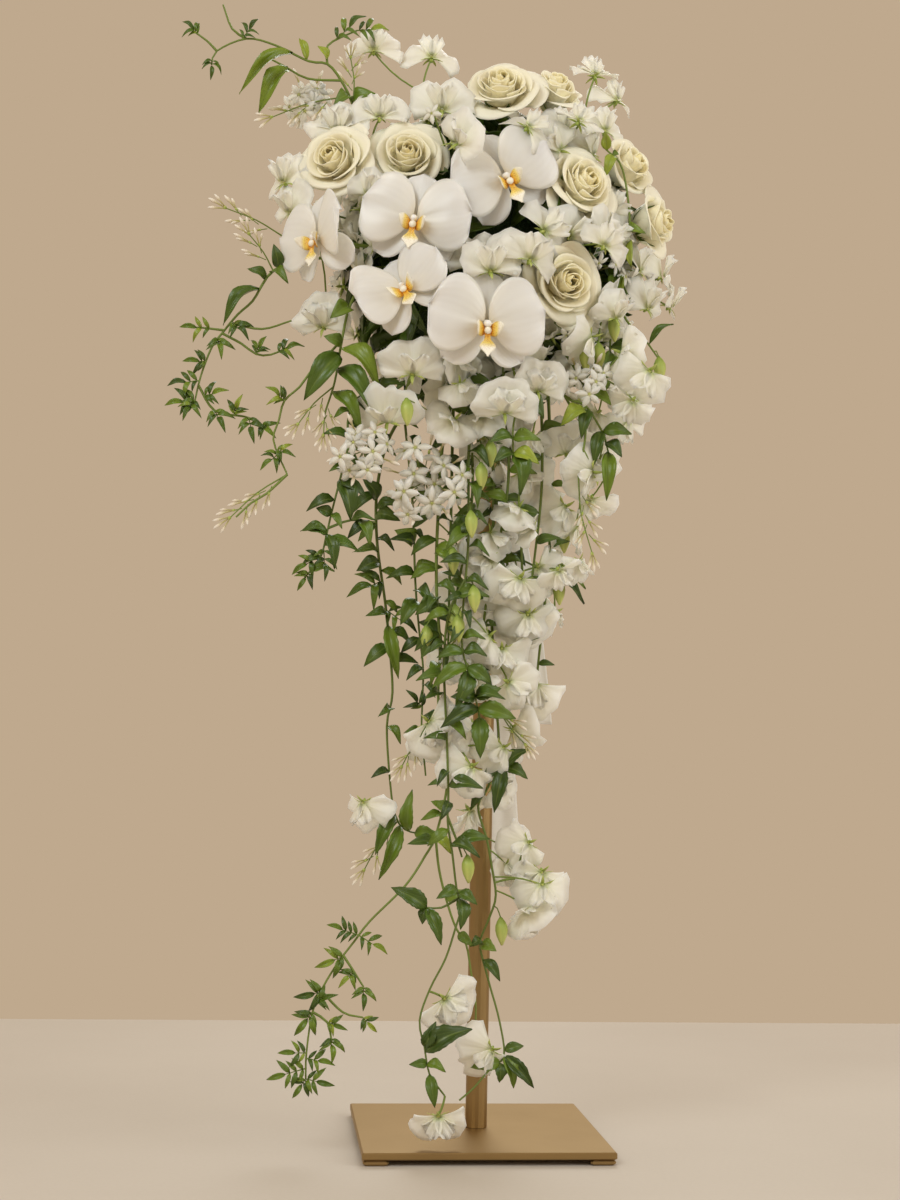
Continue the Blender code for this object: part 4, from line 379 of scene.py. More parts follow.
def smoothPath(points, step):
    # A Catmull-Rom curve through the points, sampled about every step.
    points = np.asarray(points, float)
    ends = np.vstack([2 * points[0] - points[1], points, 2 * points[-1] - points[-2]])
    found = []
    for i in range(len(points) - 1):
        before, start, end, after = ends[i : i + 4]
        count = max(1, int(round(np.linalg.norm(end - start) / step)))
        for k in range(count):
            t = k / count
            curve = 2 * start + (end - before) * t
            curve = curve + (2 * before - 5 * start + 4 * end - after) * t * t
            curve = curve + (3 * start - before - 3 * end + after) * t ** 3
            found.append(curve / 2)
    found.append(points[-1])
    return np.array(found)


def nearestOn(path, place):
    # How far the path is from the place, and the nearest spot on it.
    starts = path[:-1]
    spans = path[1:] - starts
    share = np.clip(((place - starts) * spans).sum(axis=1) / (spans ** 2).sum(axis=1), 0, 1)
    spots = starts + spans * share[:, None]
    gaps = np.linalg.norm(spots - place, axis=1)
    best = gaps.argmin()
    return gaps[best], spots[best]


def nearestSpot(paths, place):
    return min((nearestOn(path, place) for path in paths), key=lambda near: near[0])[1]


def coreSurfaceTo(place, depth=0.0):
    # Where the line from the foam's middle to this place leaves the foam, less a depth.
    along = place - coreCentre
    reach = np.linalg.norm(along / coreRadii)
    return coreCentre + along / reach - unit(along) * depth


def aboutZ(degrees):
    turn = math.radians(degrees)
    return np.array([[math.cos(turn), -math.sin(turn), 0], [math.sin(turn), math.cos(turn), 0], [0, 0, 1]])


# Shapes: grids of points, each with its part and its grain.
def gridFaces(columns, rows):
    corners = [j * columns + i for j in range(rows - 1) for i in range(columns - 1)]
    return [(a, a + 1, a + 1 + columns, a + columns) for a in corners]


def gridOf(columns, rows, placeAt, part, isFlipped=False):
    # placeAt takes u, from -1 to 1 across, and v, from 0 to 1 along.
    ways = [(u, v) for v in np.linspace(0, 1, rows) for u in np.linspace(-1, 1, columns)]
    points = np.array([placeAt(u, v) for u, v in ways], float)
    grain = [(u, v, 0.0) for u, v in ways]
    faces = [face[::-1] if isFlipped else face for face in gridFaces(columns, rows)]
    return {"points": points, "grain": grain, "faces": faces, "part": partNumbers[part]}


def shell(grid, thickness):
    # The closed solid of a grid: two faces and a rim.
    points = grid["points"]
    quads = np.array(grid["faces"])
    flat = np.cross(points[quads[:, 2]] - points[quads[:, 0]], points[quads[:, 3]] - points[quads[:, 1]])
    normals = np.zeros_like(points)
    for k in range(4):
        np.add.at(normals, quads[:, k], flat)
    normals /= np.maximum(np.linalg.norm(normals, axis=1, keepdims=True), 1e-12)
    count = len(points)
    edges = {(quad[k], quad[(k + 1) % 4]) for quad in quads.tolist() for k in range(4)}
    rim = [(e, s, s + count, e + count) for s, e in sorted(edges) if (e, s) not in edges]
    faces = quads.tolist() + (quads[:, ::-1] + count).tolist() + rim
    points = np.vstack([points + normals * thickness / 2, points - normals * thickness / 2])
    return {**grid, "points": points, "grain": list(grid["grain"]) * 2, "faces": faces}


def lathe(profile, sides, part, ribs=0.0):
    # Turned about +Z from (radius, height) pairs, from the lowest up, closed at both ends.
    points = []
    grain = []
    last = len(profile) - 1
    for j, (radius, height) in enumerate(profile):
        for k in range(sides):
            turn = math.tau * k / sides
            wave = radius * (1 + ribs * (k % 2))
            points.append((wave * math.cos(turn), wave * math.sin(turn), height))
            grain.append((-1 + 2 * k / sides, j / last, 0.0))
    faces = [tuple(range(sides))[::-1]]
    for j in range(0, last * sides, sides):
        for k in range(sides):
            a, b = j + k, j + (k + 1) % sides
            faces.append((a, b, b + sides, a + sides))
    faces.append(tuple(range(last * sides, (last + 1) * sides)))
    return {"points": np.array(points), "grain": grain, "faces": faces, "part": partNumbers[part]}


def moved(grid, axes, middle=(0, 0, 0), scale=1.0):
    return {**grid, "points": grid["points"] * scale @ np.asarray(axes, float).T + middle}


def meshOf(name, grids):
    faces = []
    parts = []
    for g in grids:
        faces += [tuple(i + len(parts) for i in face) for face in g["faces"]]
        parts += [g["part"]] * len(g["points"])
    mesh = bpy.data.meshes.new(name)
    mesh.from_pydata(np.vstack([g["points"] for g in grids]).tolist(), [], faces)
    store(mesh, "grain", "FLOAT_VECTOR", np.vstack([g["grain"] for g in grids]))
    store(mesh, "part", "INT", parts)
    mesh.shade_smooth()
    return mesh


def store(mesh, name, kind, values):
    held = mesh.attributes.new(name, kind, "POINT").data
    held.foreach_set("vector" if kind == "FLOAT_VECTOR" else "value", np.ravel(values))


shapes = bpy.data.collections.new("shapes")
shapeNumbers = {}


def addShape(name, *grids):
    # A shape that the plants repeat. Its number is its place in the collection.
    shapeNumbers[name] = len(shapeNumbers)
    shapes.objects.link(bpy.data.objects.new(f"shape{shapeNumbers[name]:02d}", meshOf(name, grids)))


# One tree grows every plant: stems along its edges, shapes on its loose points.
def growTree():
    bench, given = newTree("grow", {
        "Plan": "Geometry", "Shapes": "Collection", "Stem Sides": "Int",
        "Tint": "Float", "Tint Spread": "Float", "Seed": "Int"}, "Plant")
    circle = {"Resolution": given["Stem Sides"], "Radius": 1.0}
    ring = bench.add("GeometryNodeCurvePrimitiveCircle", {}, circle)[0]
    stems = bench.add("GeometryNodeCurveToMesh", {}, {
        "Curve": bench.add("GeometryNodeMeshToCurve", {}, {"Mesh": given["Plan"]})[0],
        "Profile Curve": ring, "Scale": bench.attribute("radius"), "Fill Caps": True})[0]
    kind = bench.attribute("kind", "INT")
    picked = {"Collection": given["Shapes"], "Separate Children": True}

    def compared(value, operation, other):
        settings = {"data_type": "INT", "operation": operation}
        return bench.add("FunctionNodeCompare", settings, {"A": value, "B": other})[0]

    placed = bench.add("GeometryNodeInstanceOnPoints", {}, {
        "Points": given["Plan"], "Selection": compared(kind, "GREATER_EQUAL", 0), "Pick Instance": True,
        "Instance": bench.add("GeometryNodeCollectionInfo", {}, picked)[0], "Instance Index": kind,
        "Rotation": bench.attribute("turn", "QUATERNION"), "Scale": bench.attribute("size", "FLOAT_VECTOR")})[0]
    limits = {"Min": -1.0, "Max": 1.0, "Seed": given["Seed"]}
    spread = bench.add("FunctionNodeRandomValue", {"data_type": "FLOAT"}, limits)[0]
    shade = given["Tint"] + spread * given["Tint Spread"]
    join = bench.tree.nodes.new("GeometryNodeJoinGeometry")
    stems = bench.stored(stems, "POINT", "tint", given["Tint"])
    placed = bench.stored(placed, "INSTANCE", "tint", shade)
    for source in (stems, placed):
        bench.tree.links.new(source.socket, join.inputs[0])
    whole = bench.add("GeometryNodeRealizeInstances", {}, {"Geometry": Wire(bench, join.outputs[0])})[0]
    part = bench.attribute("part", "INT")
    for number, finish in enumerate(partFinishes.values()):
        chosen = {"Geometry": whole, "Selection": compared(part, "EQUAL", number), "Material": finish}
        whole = bench.add("GeometryNodeSetMaterial", {}, chosen)[0]
    bench.add("NodeGroupOutput", {}, {"Plant": whole})
    return bench.tree


def addTree(made, tree, values):
    modifier = made.modifiers.new(tree.name, "NODES")
    modifier.node_group = tree
    for socket in tree.interface.items_tree:
        if socket.in_out == "INPUT" and socket.name in values:
            modifier[socket.identifier] = values[socket.name]


def bodyless(name, data):
    made = bpy.data.objects.new(name, data)
    bpy.context.scene.collection.objects.link(made)
    return made


def applied(made):
    # The evaluated object as a plain mesh, with its modifiers gone.
    graph = bpy.context.evaluated_depsgraph_get()
    mesh = bpy.data.meshes.new_from_object(
        made.evaluated_get(graph), preserve_all_data_layers=True, depsgraph=graph)
    made.modifiers.clear()
    made.data = mesh
    mesh.name = made.name
    mesh.shade_smooth()
    return made


def dress(made, slot, *nodes):
    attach(made, "root")
    if nodes:
        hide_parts(*nodes)


grower = growTree()


class Plan:
    # The stems and shoots of one plant, in metres from the foot of the pole.
    def __init__(self):
        self.stems = []
        self.shoots = []

    def stem(self, path, radii):
        path = np.asarray(path, float)
        self.stems.append((path, np.broadcast_to(radii, len(path))))

    def coreStem(self, end, radius, towards=None):
        # A stem out of the foam, below the place that it leads towards.
        towards = end if towards is None else towards
        self.stem([coreSurfaceTo(towards, stemDepth), coreSurfaceTo(towards), end], radius)

    def stalk(self, start, end, radius):
        # A thin stalk with a slight bow.
        bow = np.cross(end - start, (0.3, 0.5, 0.2)) * 0.10
        ways = np.linspace(0, 1, 6)
        self.stem([start + (end - start) * t + bow * math.sin(math.pi * t) for t in ways], radius)

    def shoot(self, kind, place, axes, size):
        size = (size, size, size) if np.isscalar(size) else size
        self.shoots.append((shapeNumbers[kind], np.asarray(place, float), np.asarray(axes, float), size))

    def leaf(self, kind, place, along, outward, length, width):
        self.shoot(kind, place, axesAlong(along, outward), (width, length, length))

    def grow(self, name, slot, nodes=(), tint=0.4, spread=0.25, seed=1):
        points = []
        edges = []
        radii = []
        for path, widths in self.stems:
            edges += [(len(points) + i, len(points) + i + 1) for i in range(len(path) - 1)]
            points += list(path + standOffset)
            radii += list(widths)
        kinds, places, axes, sizes = zip(*self.shoots)
        turns = [tuple(Matrix(one.tolist()).to_quaternion()) for one in axes]
        bare = len(points)
        mesh = bpy.data.meshes.new(name)
        points += [place + standOffset for place in places]
        mesh.from_pydata([tuple(place) for place in points], edges, [])
        store(mesh, "radius", "FLOAT", radii + [0.0] * len(kinds))
        store(mesh, "kind", "INT", [-1] * bare + list(kinds))
        store(mesh, "turn", "QUATERNION", [(1.0, 0.0, 0.0, 0.0)] * bare + turns)
        store(mesh, "size", "FLOAT_VECTOR", [(1.0, 1.0, 1.0)] * bare + list(sizes))
        made = bodyless(name, mesh)
        addTree(made, grower, {
            "Shapes": shapes, "Stem Sides": 5, "Tint": tint, "Tint Spread": spread, "Seed": seed})
        dress(applied(made), slot, *nodes)


# Leaves, a metre long and a metre wide, to be scaled. Their edges are smooth, waved or toothed.
leafForm = {"arch": 0.20, "droop": 0.10, "fold": 0.16, "widest": 0.42, "rise": 0.7, "tooth": 0.16}
leafShapes = {
    "leaf": ((3, 6), 0.02, {}),
    "leafCurled": ((3, 6), 0.02, {"curl": 0.18}),
    "leafWide": ((5, 9), 0.012, {"wave": 0.035}),
    "leafTwisted": ((5, 9), 0.012, {"wave": 0.07, "curl": 0.12}),
    "leafToothed": ((5, 15), 0.012, {"teeth": 7, "wave": 0.03}),
}
leafNames = ("leafWide", "leafTwisted", "leafWide")


def leafAt(teeth=0, wave=0.0, curl=0.0):
    form = leafForm
    peak = form["widest"] ** form["rise"] * (1 - form["widest"])

    def placeAt(u, v):
        half = 0.5 * max(v ** form["rise"] * (1 - v) / peak, 0.03)
        if teeth and abs(u) > 0.9:
            half *= 1.0 - form["tooth"] * ((v * teeth) % 1.0)
        rise = form["arch"] * math.sin(math.pi * v) - form["droop"] * v * v - curl * v ** 3
        lift = form["fold"] * abs(u) * half * 2 + wave * abs(u) * math.sin(9 * v + 2.5 * u)
        return (u * half, v, rise + lift)
    return placeAt


for name, (size, thickness, edge) in leafShapes.items():
    addShape(name, shell(gridOf(*size, leafAt(**edge), "leaf"), thickness))

# Buds, and stars of five petals, at their real size: radius and height up each profile.
budProfiles = {
    "slim": [(0.0006, 0), (0.0008, 0.006), (0.0009, 0.011), (0.0018, 0.0145), (0.0019, 0.017), (0.0011, 0.020),
             (0.0002, 0.0215)],
    "calyx": [(0.0004, -0.0005), (0.0013, 0.0008), (0.0012, 0.0030), (0.0007, 0.0038)],
    "plump": [(0.0008, 0), (0.0034, 0.0015), (0.0053, 0.0055), (0.0056, 0.0095), (0.0046, 0.0140),
              (0.0028, 0.0180), (0.0008, 0.0218)],
    "starTube": [(0.0009, -0.020), (0.0010, -0.008), (0.0013, -0.0004)],
    "starEye": [(0.0015, -0.0010), (0.0016, 0.0004), (0.0007, 0.0012)],
}
starForm = {"inner": 0.0008, "radius": 0.0138, "half": 0.0032, "thickness": 0.0005}
# Turns what a lathe made about +Z so that it lies along +Y, as a leaf does.
zToY = np.array([[0, 1, 0], [0, 0, 1], [1, 0, 0]], float)


def bud(name, sides, part, ribs=0.0, scale=1.0):
    return moved(lathe(budProfiles[name], sides, part, ribs), zToY, scale=scale)


def starPetal(turn):
    form = starForm

    def placeAt(u, v):
        reach = form["inner"] + (form["radius"] - form["inner"]) * v
        half = form["half"] * max(math.sin(math.pi * min(1.0, 0.10 + 0.90 * v ** 1.2)), 0.10 * (1 - v))
        arch = 0.0014 * math.sin(math.pi * v) * (1 - 0.8 * u * u)
        return (u * half, reach, 0.0005 + arch - 0.0026 * v * v)
    return moved(shell(gridOf(3, 6, placeAt, "star"), form["thickness"]), aboutZ(turn))


addShape("slimBud", bud("slim", 6, "pink"), bud("calyx", 5, "lime"))
addShape("plumpBud", bud("plump", 10, "lime", -0.10), bud("calyx", 6, "lime", scale=3.0))
for name, twist in (("star", 0), ("starTurned", 9)):
    petals = [starPetal(72 * k + twist * math.sin(2.7 * k)) for k in range(5)]
    addShape(name, *petals, lathe(budProfiles["starTube"], 5, "pink"), lathe(budProfiles["starEye"], 6, "lime"))

# Sweet pea blooms, 50 mm across: a ruffled banner behind two wings, and a calyx. Every
# second kind has an inner banner, and each has a plain copy with few faces for the fill.
peaForm = {
    "root": np.array([0, -0.0135, -0.0022]), "ruffle": 0.0044, "thickness": 0.0005, "drop": 0.0140,
    "back": {"long": 0.0355, "spread": 106, "lift": 0.0, "size": (25, 7)},
    "inner": {"long": 0.0245, "spread": 74, "lift": 0.0036, "size": (13, 5)},
    "plain": {"long": 0.0355 * 0.94, "spread": 106, "lift": 0.0, "size": (15, 4)},
    "wingHalf": 0.0082, "wingLong": 0.0200, "sepalHalf": 0.0019, "sepalLong": 0.0125,
    "calyxWay": (0, 0.78, 0.62),
    "cup": [(0.0008, -0.0045), (0.0022, -0.0020), (0.0026, 0.0006), (0.0018, 0.0022)],
}
peaFolds = {"pea0": -0.009, "pea1": 0.004, "pea2": -0.013, "pea3": 0.008, "pea4": -0.005}
peaKinds = tuple(peaFolds)


def peaBanner(phase, fold, long, spread, lift, size):
    def placeAt(u, v):
        turn = math.radians(spread * (u + 0.05 * math.sin(5 * u + phase) * v))
        notch = 0.14 * math.exp(-(u / 0.10) ** 2)
        frill = 0.06 * math.sin(8 * u + phase) + 0.04 * math.sin(19 * u + 2 * phase)
        reach = 0.0025 + long * v * (1 - notch - 0.26 * abs(u) ** 3 + frill * v)
        pleat = 1.3 * abs(math.sin(4.5 * u + phase)) - 0.65
        pleat = pleat + 0.7 * math.sin(11 * u + 2.3 * phase) + 0.4 * math.sin(19 * u + phase)
        bowl = fold * abs(u) ** 1.4 * v - 0.0030 * v ** 2 - 0.0022 * v ** 6
        crease = -0.0030 * math.exp(-(u / 0.12) ** 2) * math.sin(math.pi * v)
        z = lift * v + peaForm["ruffle"] * v ** 1.7 * pleat + bowl + crease
        return (reach * math.sin(turn), reach * math.cos(turn) - peaForm["drop"], z)
    return shell(gridOf(*size, placeAt, "petal"), peaForm["thickness"])


def peaWing(side, phase):
    def placeAt(u, v):
        half = peaForm["wingHalf"] * math.sin(math.pi * (0.10 + 0.66 * v)) ** 0.8
        x = side * (0.0016 + 0.0085 * v * v) + u * half
        y = -0.0130 + peaForm["wingLong"] * v - 0.0040 * u * u * v
        z = 0.0026 + 0.0120 * v - 0.0040 * side * u * v
        return (x, y, z + 0.0026 * v * math.sin(5 * u + 3 * v + phase) + 0.0012 * v * math.sin(11 * u - phase))
    return shell(gridOf(7, 5, placeAt, "petal"), peaForm["thickness"])


def sepalAt(u, v):
    half = peaForm["sepalHalf"] * max(math.sin(math.pi * (0.2 + 0.8 * v)), 0.05)
    return (u * half, 0.0012 + peaForm["sepalLong"] * v, 0.0010 + 0.0010 * v - 0.0045 * v * v)


def peaCalyx():
    axes = axesFacing(peaForm["calyxWay"])
    root = peaForm["root"]
    sepals = [moved(shell(gridOf(3, 4, sepalAt, "lime"), 0.0004), aboutZ(72 * k)) for k in range(5)]
    sepals = [moved(sepal, axes, root + (0, -0.0006, -0.0012)) for sepal in sepals]
    return [*sepals, moved(lathe(peaForm["cup"], 6, "lime"), axes, root)]


for number, (name, fold) in enumerate(peaFolds.items()):
    phase = 1.3 * number
    others = [peaWing(1, phase), peaWing(-1, phase + 2), *peaCalyx()]
    inner = [peaBanner(phase + 2.1, fold * 0.7, **peaForm["inner"])] if number % 2 else []
    addShape(name, peaBanner(phase, fold, **peaForm["back"]), *inner, *others)
    addShape(name + "Plain", peaBanner(phase + 0.7, fold, **peaForm["plain"]), *others)
print("shapes ready:", len(shapeNumbers))


# Orchids: place in cm, degrees to the right, degrees upwards, roll, width in cm.
orchids = [
    ((-0.5, -13.5, 98), 5, 0, 28, 10.5),
    ((-9.5, -14, 93), -12, 0, -8, 10.5),
    ((-19, -11, 91.5), -48, 0, 5, 10),
    ((-10.5, -15.5, 85.5), -30, 15, 35, 9.5),
    ((-2.5, -17, 82), 5, -8, 0, 11),
]
# Each orchid is modelled petal by petal, in its own axes. Curls are by orchid and petal.
orchidForm = {
    "sepalTurns": (0, 130, 230), "sepalReach": 0.0475, "sepalHalf": 0.0172,
    "petalTurns": (75, 285), "petalReach": 0.0535, "petalHalf": 0.0336, "thickness": 0.0009,
    "curls": {(3, 285): 0.016, (4, 75): 0.022, (4, 285): 0.006},
    "width": 10.5, "swell": 1.08, "lipAt": (0, -0.0075, 0.0080), "lipSize": 1.22,
    "trunk": [(0.0020, -0.004), (0.0027, 0.001), (0.0031, 0.005), (0.0034, 0.0085), (0.0026, 0.0112),
              (0.0008, 0.0122)],
    "neck": [(0.0010, -0.022), (0.0018, -0.012), (0.0022, -0.003)],
    "callus": [(0.0010, 0), (0.0032, 0.0008), (0.0030, 0.0030), (0.0012, 0.0042)],
}


def petalWidth(v, rise, fall):
    peak = rise / (rise + fall)
    return max(v, 1e-6) ** rise * (1 - v) ** fall / (peak ** rise * (1 - peak) ** fall)


def orchidSepal(turn, phase):
    form = orchidForm

    def placeAt(u, v):
        half = form["sepalHalf"] * petalWidth(v, 0.95, 0.50) + 0.0022 * (1 - v) + 0.0002
        along = 0.0025 + (form["sepalReach"] - 0.0025) * v - 0.12 * half * u * u
        z = -0.0032 - 0.0075 * v ** 1.6 + 0.0040 * u * u * math.sin(math.pi * v)
        return (u * half, along, z + 0.0007 * math.sin(4 * u + 5 * v + phase))
    return moved(shell(gridOf(11, 14, placeAt, "orchid"), form["thickness"]), aboutZ(turn))


def orchidPetal(turn, phase, curl):
    form = orchidForm

    def placeAt(u, v):
        half = form["petalHalf"] * petalWidth(v, 0.70, 0.36) + 0.0025 * (1 - v) + 0.0002
        along = 0.0030 + (form["petalReach"] - 0.0030) * (v - 6 * curl * v ** 3) - 0.13 * half * u * u
        wave = 0.0014 * v * math.sin(3.2 * u + 4 * v + phase) + 0.0009 * v * math.sin(7 * u + phase * 2)
        z = 0.0022 + 0.0048 * math.sin(math.pi * v * 0.8)
        z = z - 0.0050 * u * u * math.sin(math.pi * v) - 0.0030 * v ** 4
        crease = -0.0012 * math.exp(-(u / 0.10) ** 2) * (1 - v)
        return (u * half, along, z + wave + crease + curl * v * v * (1 + 0.4 * u))
    return moved(shell(gridOf(19, 17, placeAt, "orchid"), form["thickness"]), aboutZ(turn))


def lipSide(side):
    def placeAt(u, v):
        half = 0.0060 * math.sin(math.pi * (0.18 + 0.72 * v))
        x = side * (0.0022 + 0.0085 * math.sin(v * 1.35))
        return (x, u * half + 0.0035 * v, 0.0004 + 0.0115 * v ** 1.4 - 0.0018 * u * u)
    return shell(gridOf(7, 7, placeAt, "lip", side < 0), 0.0007)


def lipMiddleAt(u, v):
    half = 0.0024 + 0.0056 * math.exp(-((v - 0.62) / 0.20) ** 2) - 0.0019 * v
    z = 0.0008 + 0.0030 * v * v + 0.0022 * u * u * math.sin(math.pi * v) + 0.0030 * v ** 6
    return (u * half, -0.0005 - 0.0205 * v, z)


def handMade(name, slot, node, grids, finishes):
    # A piece made grid by grid. Each face takes the finish of its part.
    made = bodyless(name, meshOf(name, grids))
    for part in finishes:
        made.data.materials.append(partFinishes[part])
    numbers = [partNumbers[part] for part in finishes]
    held = made.data.attributes["part"].data
    for face in made.data.polygons:
        face.material_index = numbers.index(held[face.vertices[0]].value)
    dress(made, slot, node)


def orchidPieces():
    form = orchidForm
    for number, (place, right, up, roll, width) in enumerate(orchids, 1):
        axes = axesFacing(facing(right, up), roll)
        middle = cm(place) + standOffset
        size = width / form["width"] * form["swell"]
        phase = number * 1.7
        grids = [orchidSepal(turn, phase + turn) for turn in form["sepalTurns"]]
        for turn in form["petalTurns"]:
            grids.append(orchidPetal(turn, phase + turn, form["curls"].get((number, turn), 0.0)))
        grids.append(moved(lathe(form["trunk"], 10, "orchid"), axesFacing((0, -0.22, 1)), (0, 0.0010, 0)))
        grids.append(lathe(form["neck"], 7, "lime"))
        grids = [moved(grid, axes, middle, size) for grid in grids]
        handMade(f"orchidBloom{number}", "orchid_petal", f"orchid_{number}", grids, ("orchid", "lime"))
        lip = [lipSide(1), lipSide(-1), shell(gridOf(7, 14, lipMiddleAt, "lip", True), 0.0008)]
        lip.append(lathe(form["callus"], 8, "lip"))
        lip = [moved(grid, axes, middle + axes @ np.array(form["lipAt"]), form["lipSize"]) for grid in lip]
        handMade(f"orchidTongue{number}", "orchid_lip", f"orchid_lip_{number}", lip, ("lip",))


orchidPieces()
print("orchids ready")


# Roses: place in cm, degrees to the right, degrees upwards, width in cm.
roses = [
    ((0, -6.5, 110), -8, 35, 7.4), ((-17.5, -9, 100.5), -30, 10, 7.2), ((-10, -9.5, 101), -5, 15, 7.2),
    ((8, -11, 98.5), 28, 15, 7.6), ((6, -13, 87.5), 20, -5, 7.6), ((6, -3.5, 111), 20, 45, 5.6),
    ((13.6, -5.5, 102.3), 45, 20, 6.2), ((16.6, -5, 96.6), 55, 0, 6.0),
]
# One tree makes every rose: petals in a spiral, each bent round its own rim. A rose
# narrower than closedWidth is half open. The sizes are what the tree makes, in cm.
roseForm = {
    "open": {"Petals": 19, "Outer Reach": 0.0400, "Rim Drop": 0.0200}, "openSize": 7.4,
    "closed": {"Petals": 13, "Outer Reach": 0.0235, "Rim Drop": 0.0115}, "closedSize": 5.1,
    "closedWidth": 6.5, "thickness": 0.0007,
    "petal": {"Size X": 2.0, "Size Y": 1.0, "Vertices X": 17, "Vertices Y": 15},
}


def roseTree():
    bench, given = newTree("rose", {
        "Petals": "Int", "Outer Reach": "Float", "Rim Drop": "Float", "Seed": "Float"}, "Rose")

    def joined(x, y, z):
        return bench.add("ShaderNodeCombineXYZ", {}, [x, y, z])[0]

    petal = bench.add("GeometryNodeMeshGrid", {}, roseForm["petal"])["Mesh"]
    place = bench.add("ShaderNodeSeparateXYZ", {}, [bench.add("GeometryNodeInputPosition")[0]])
    petal = bench.stored(petal, "POINT", "across", place["X"])
    petal = bench.stored(petal, "POINT", "along", place["Y"] + 0.5)
    spots = bench.add("GeometryNodePoints", {}, {"Count": given["Petals"]})[0]
    petals = bench.add("GeometryNodeInstanceOnPoints", {}, {"Points": spots, "Instance": petal})[0]
    petals = bench.stored(petals, "INSTANCE", "petal", bench.add("GeometryNodeInputIndex")[0])
    whole = bench.add("GeometryNodeRealizeInstances", {}, {"Geometry": petals})[0]

    # u is across the petal, v up it, and t from the innermost petal to the outermost.
    u = bench.attribute("across")
    v = bench.attribute("along")
    number = bench.attribute("petal")
    t = number / (given["Petals"] - 1.0)
    tall = v * (1.0 - (u.size() ** 2.4) * 0.17)
    rimReach = given["Outer Reach"] * t ** 1.35 + 0.0030
    rimHeight = 0.0190 - given["Rim Drop"] * t ** 2.4
    rolled = ((tall - 0.66) / 0.34).clipped() ** 2 * t
    belly = (v * math.pi).sin() * (1.0 - t * 0.6) * 0.0042
    reach = (rimReach - 0.004) * tall ** (t * 0.35 + 0.55) + 0.004 + belly + rolled * 0.0075
    reach = reach - u * (t * 0.0024 + 0.0012)
    height = (rimHeight + 0.020) * tall ** 1.1 - 0.020 - rolled * 0.0075
    width = (1.9 - t * 0.72) * ((v * 0.95 + 0.25).clipped() * (math.pi / 2)).sin()
    turn = number * goldenTurn + given["Seed"] + u * width
    ripple = (turn * 4.0 + number * 1.7).sin() * v ** 3 * (t * 0.0016 + 0.0004)
    height = height + (turn * 3.0 + number).sin() * v ** 2 * (t * 0.0018 + 0.0008)
    at = joined((reach + ripple) * turn.cos(), (reach + ripple) * turn.sin(), height)
    whole = bench.stored(whole, "POINT", "grain", joined(u, v, t), "FLOAT_VECTOR")
    whole = bench.add("GeometryNodeSetPosition", {}, {"Geometry": whole, "Position": at})[0]
    finish = {"Geometry": whole, "Material": partFinishes["rose"]}
    bench.add("NodeGroupOutput", {}, {"Rose": bench.add("GeometryNodeSetMaterial", {}, finish)[0]})
    return bench.tree


def rosePieces():
    tree = roseTree()
    for number, (place, right, up, width) in enumerate(roses, 1):
        kind = "closed" if width < roseForm["closedWidth"] else "open"
        made = bodyless(f"roseBloom{number}", bpy.data.meshes.new("rose"))
        addTree(made, tree, {**roseForm[kind], "Seed": number * 1.31})
        wall = made.modifiers.new("wall", "SOLIDIFY")
        wall.thickness = roseForm["thickness"]
        wall.offset = 0.0
        applied(made)
        axes = axesFacing(facing(right, up)) * (width / roseForm[kind + "Size"])
        pose = Matrix(axes.tolist()).to_4x4()
        pose.translation = Vector(cm(place) + standOffset)
        made.data.transform(pose)
        dress(made, "rose_petal", f"rose_{number}")


rosePieces()
print("roses ready")


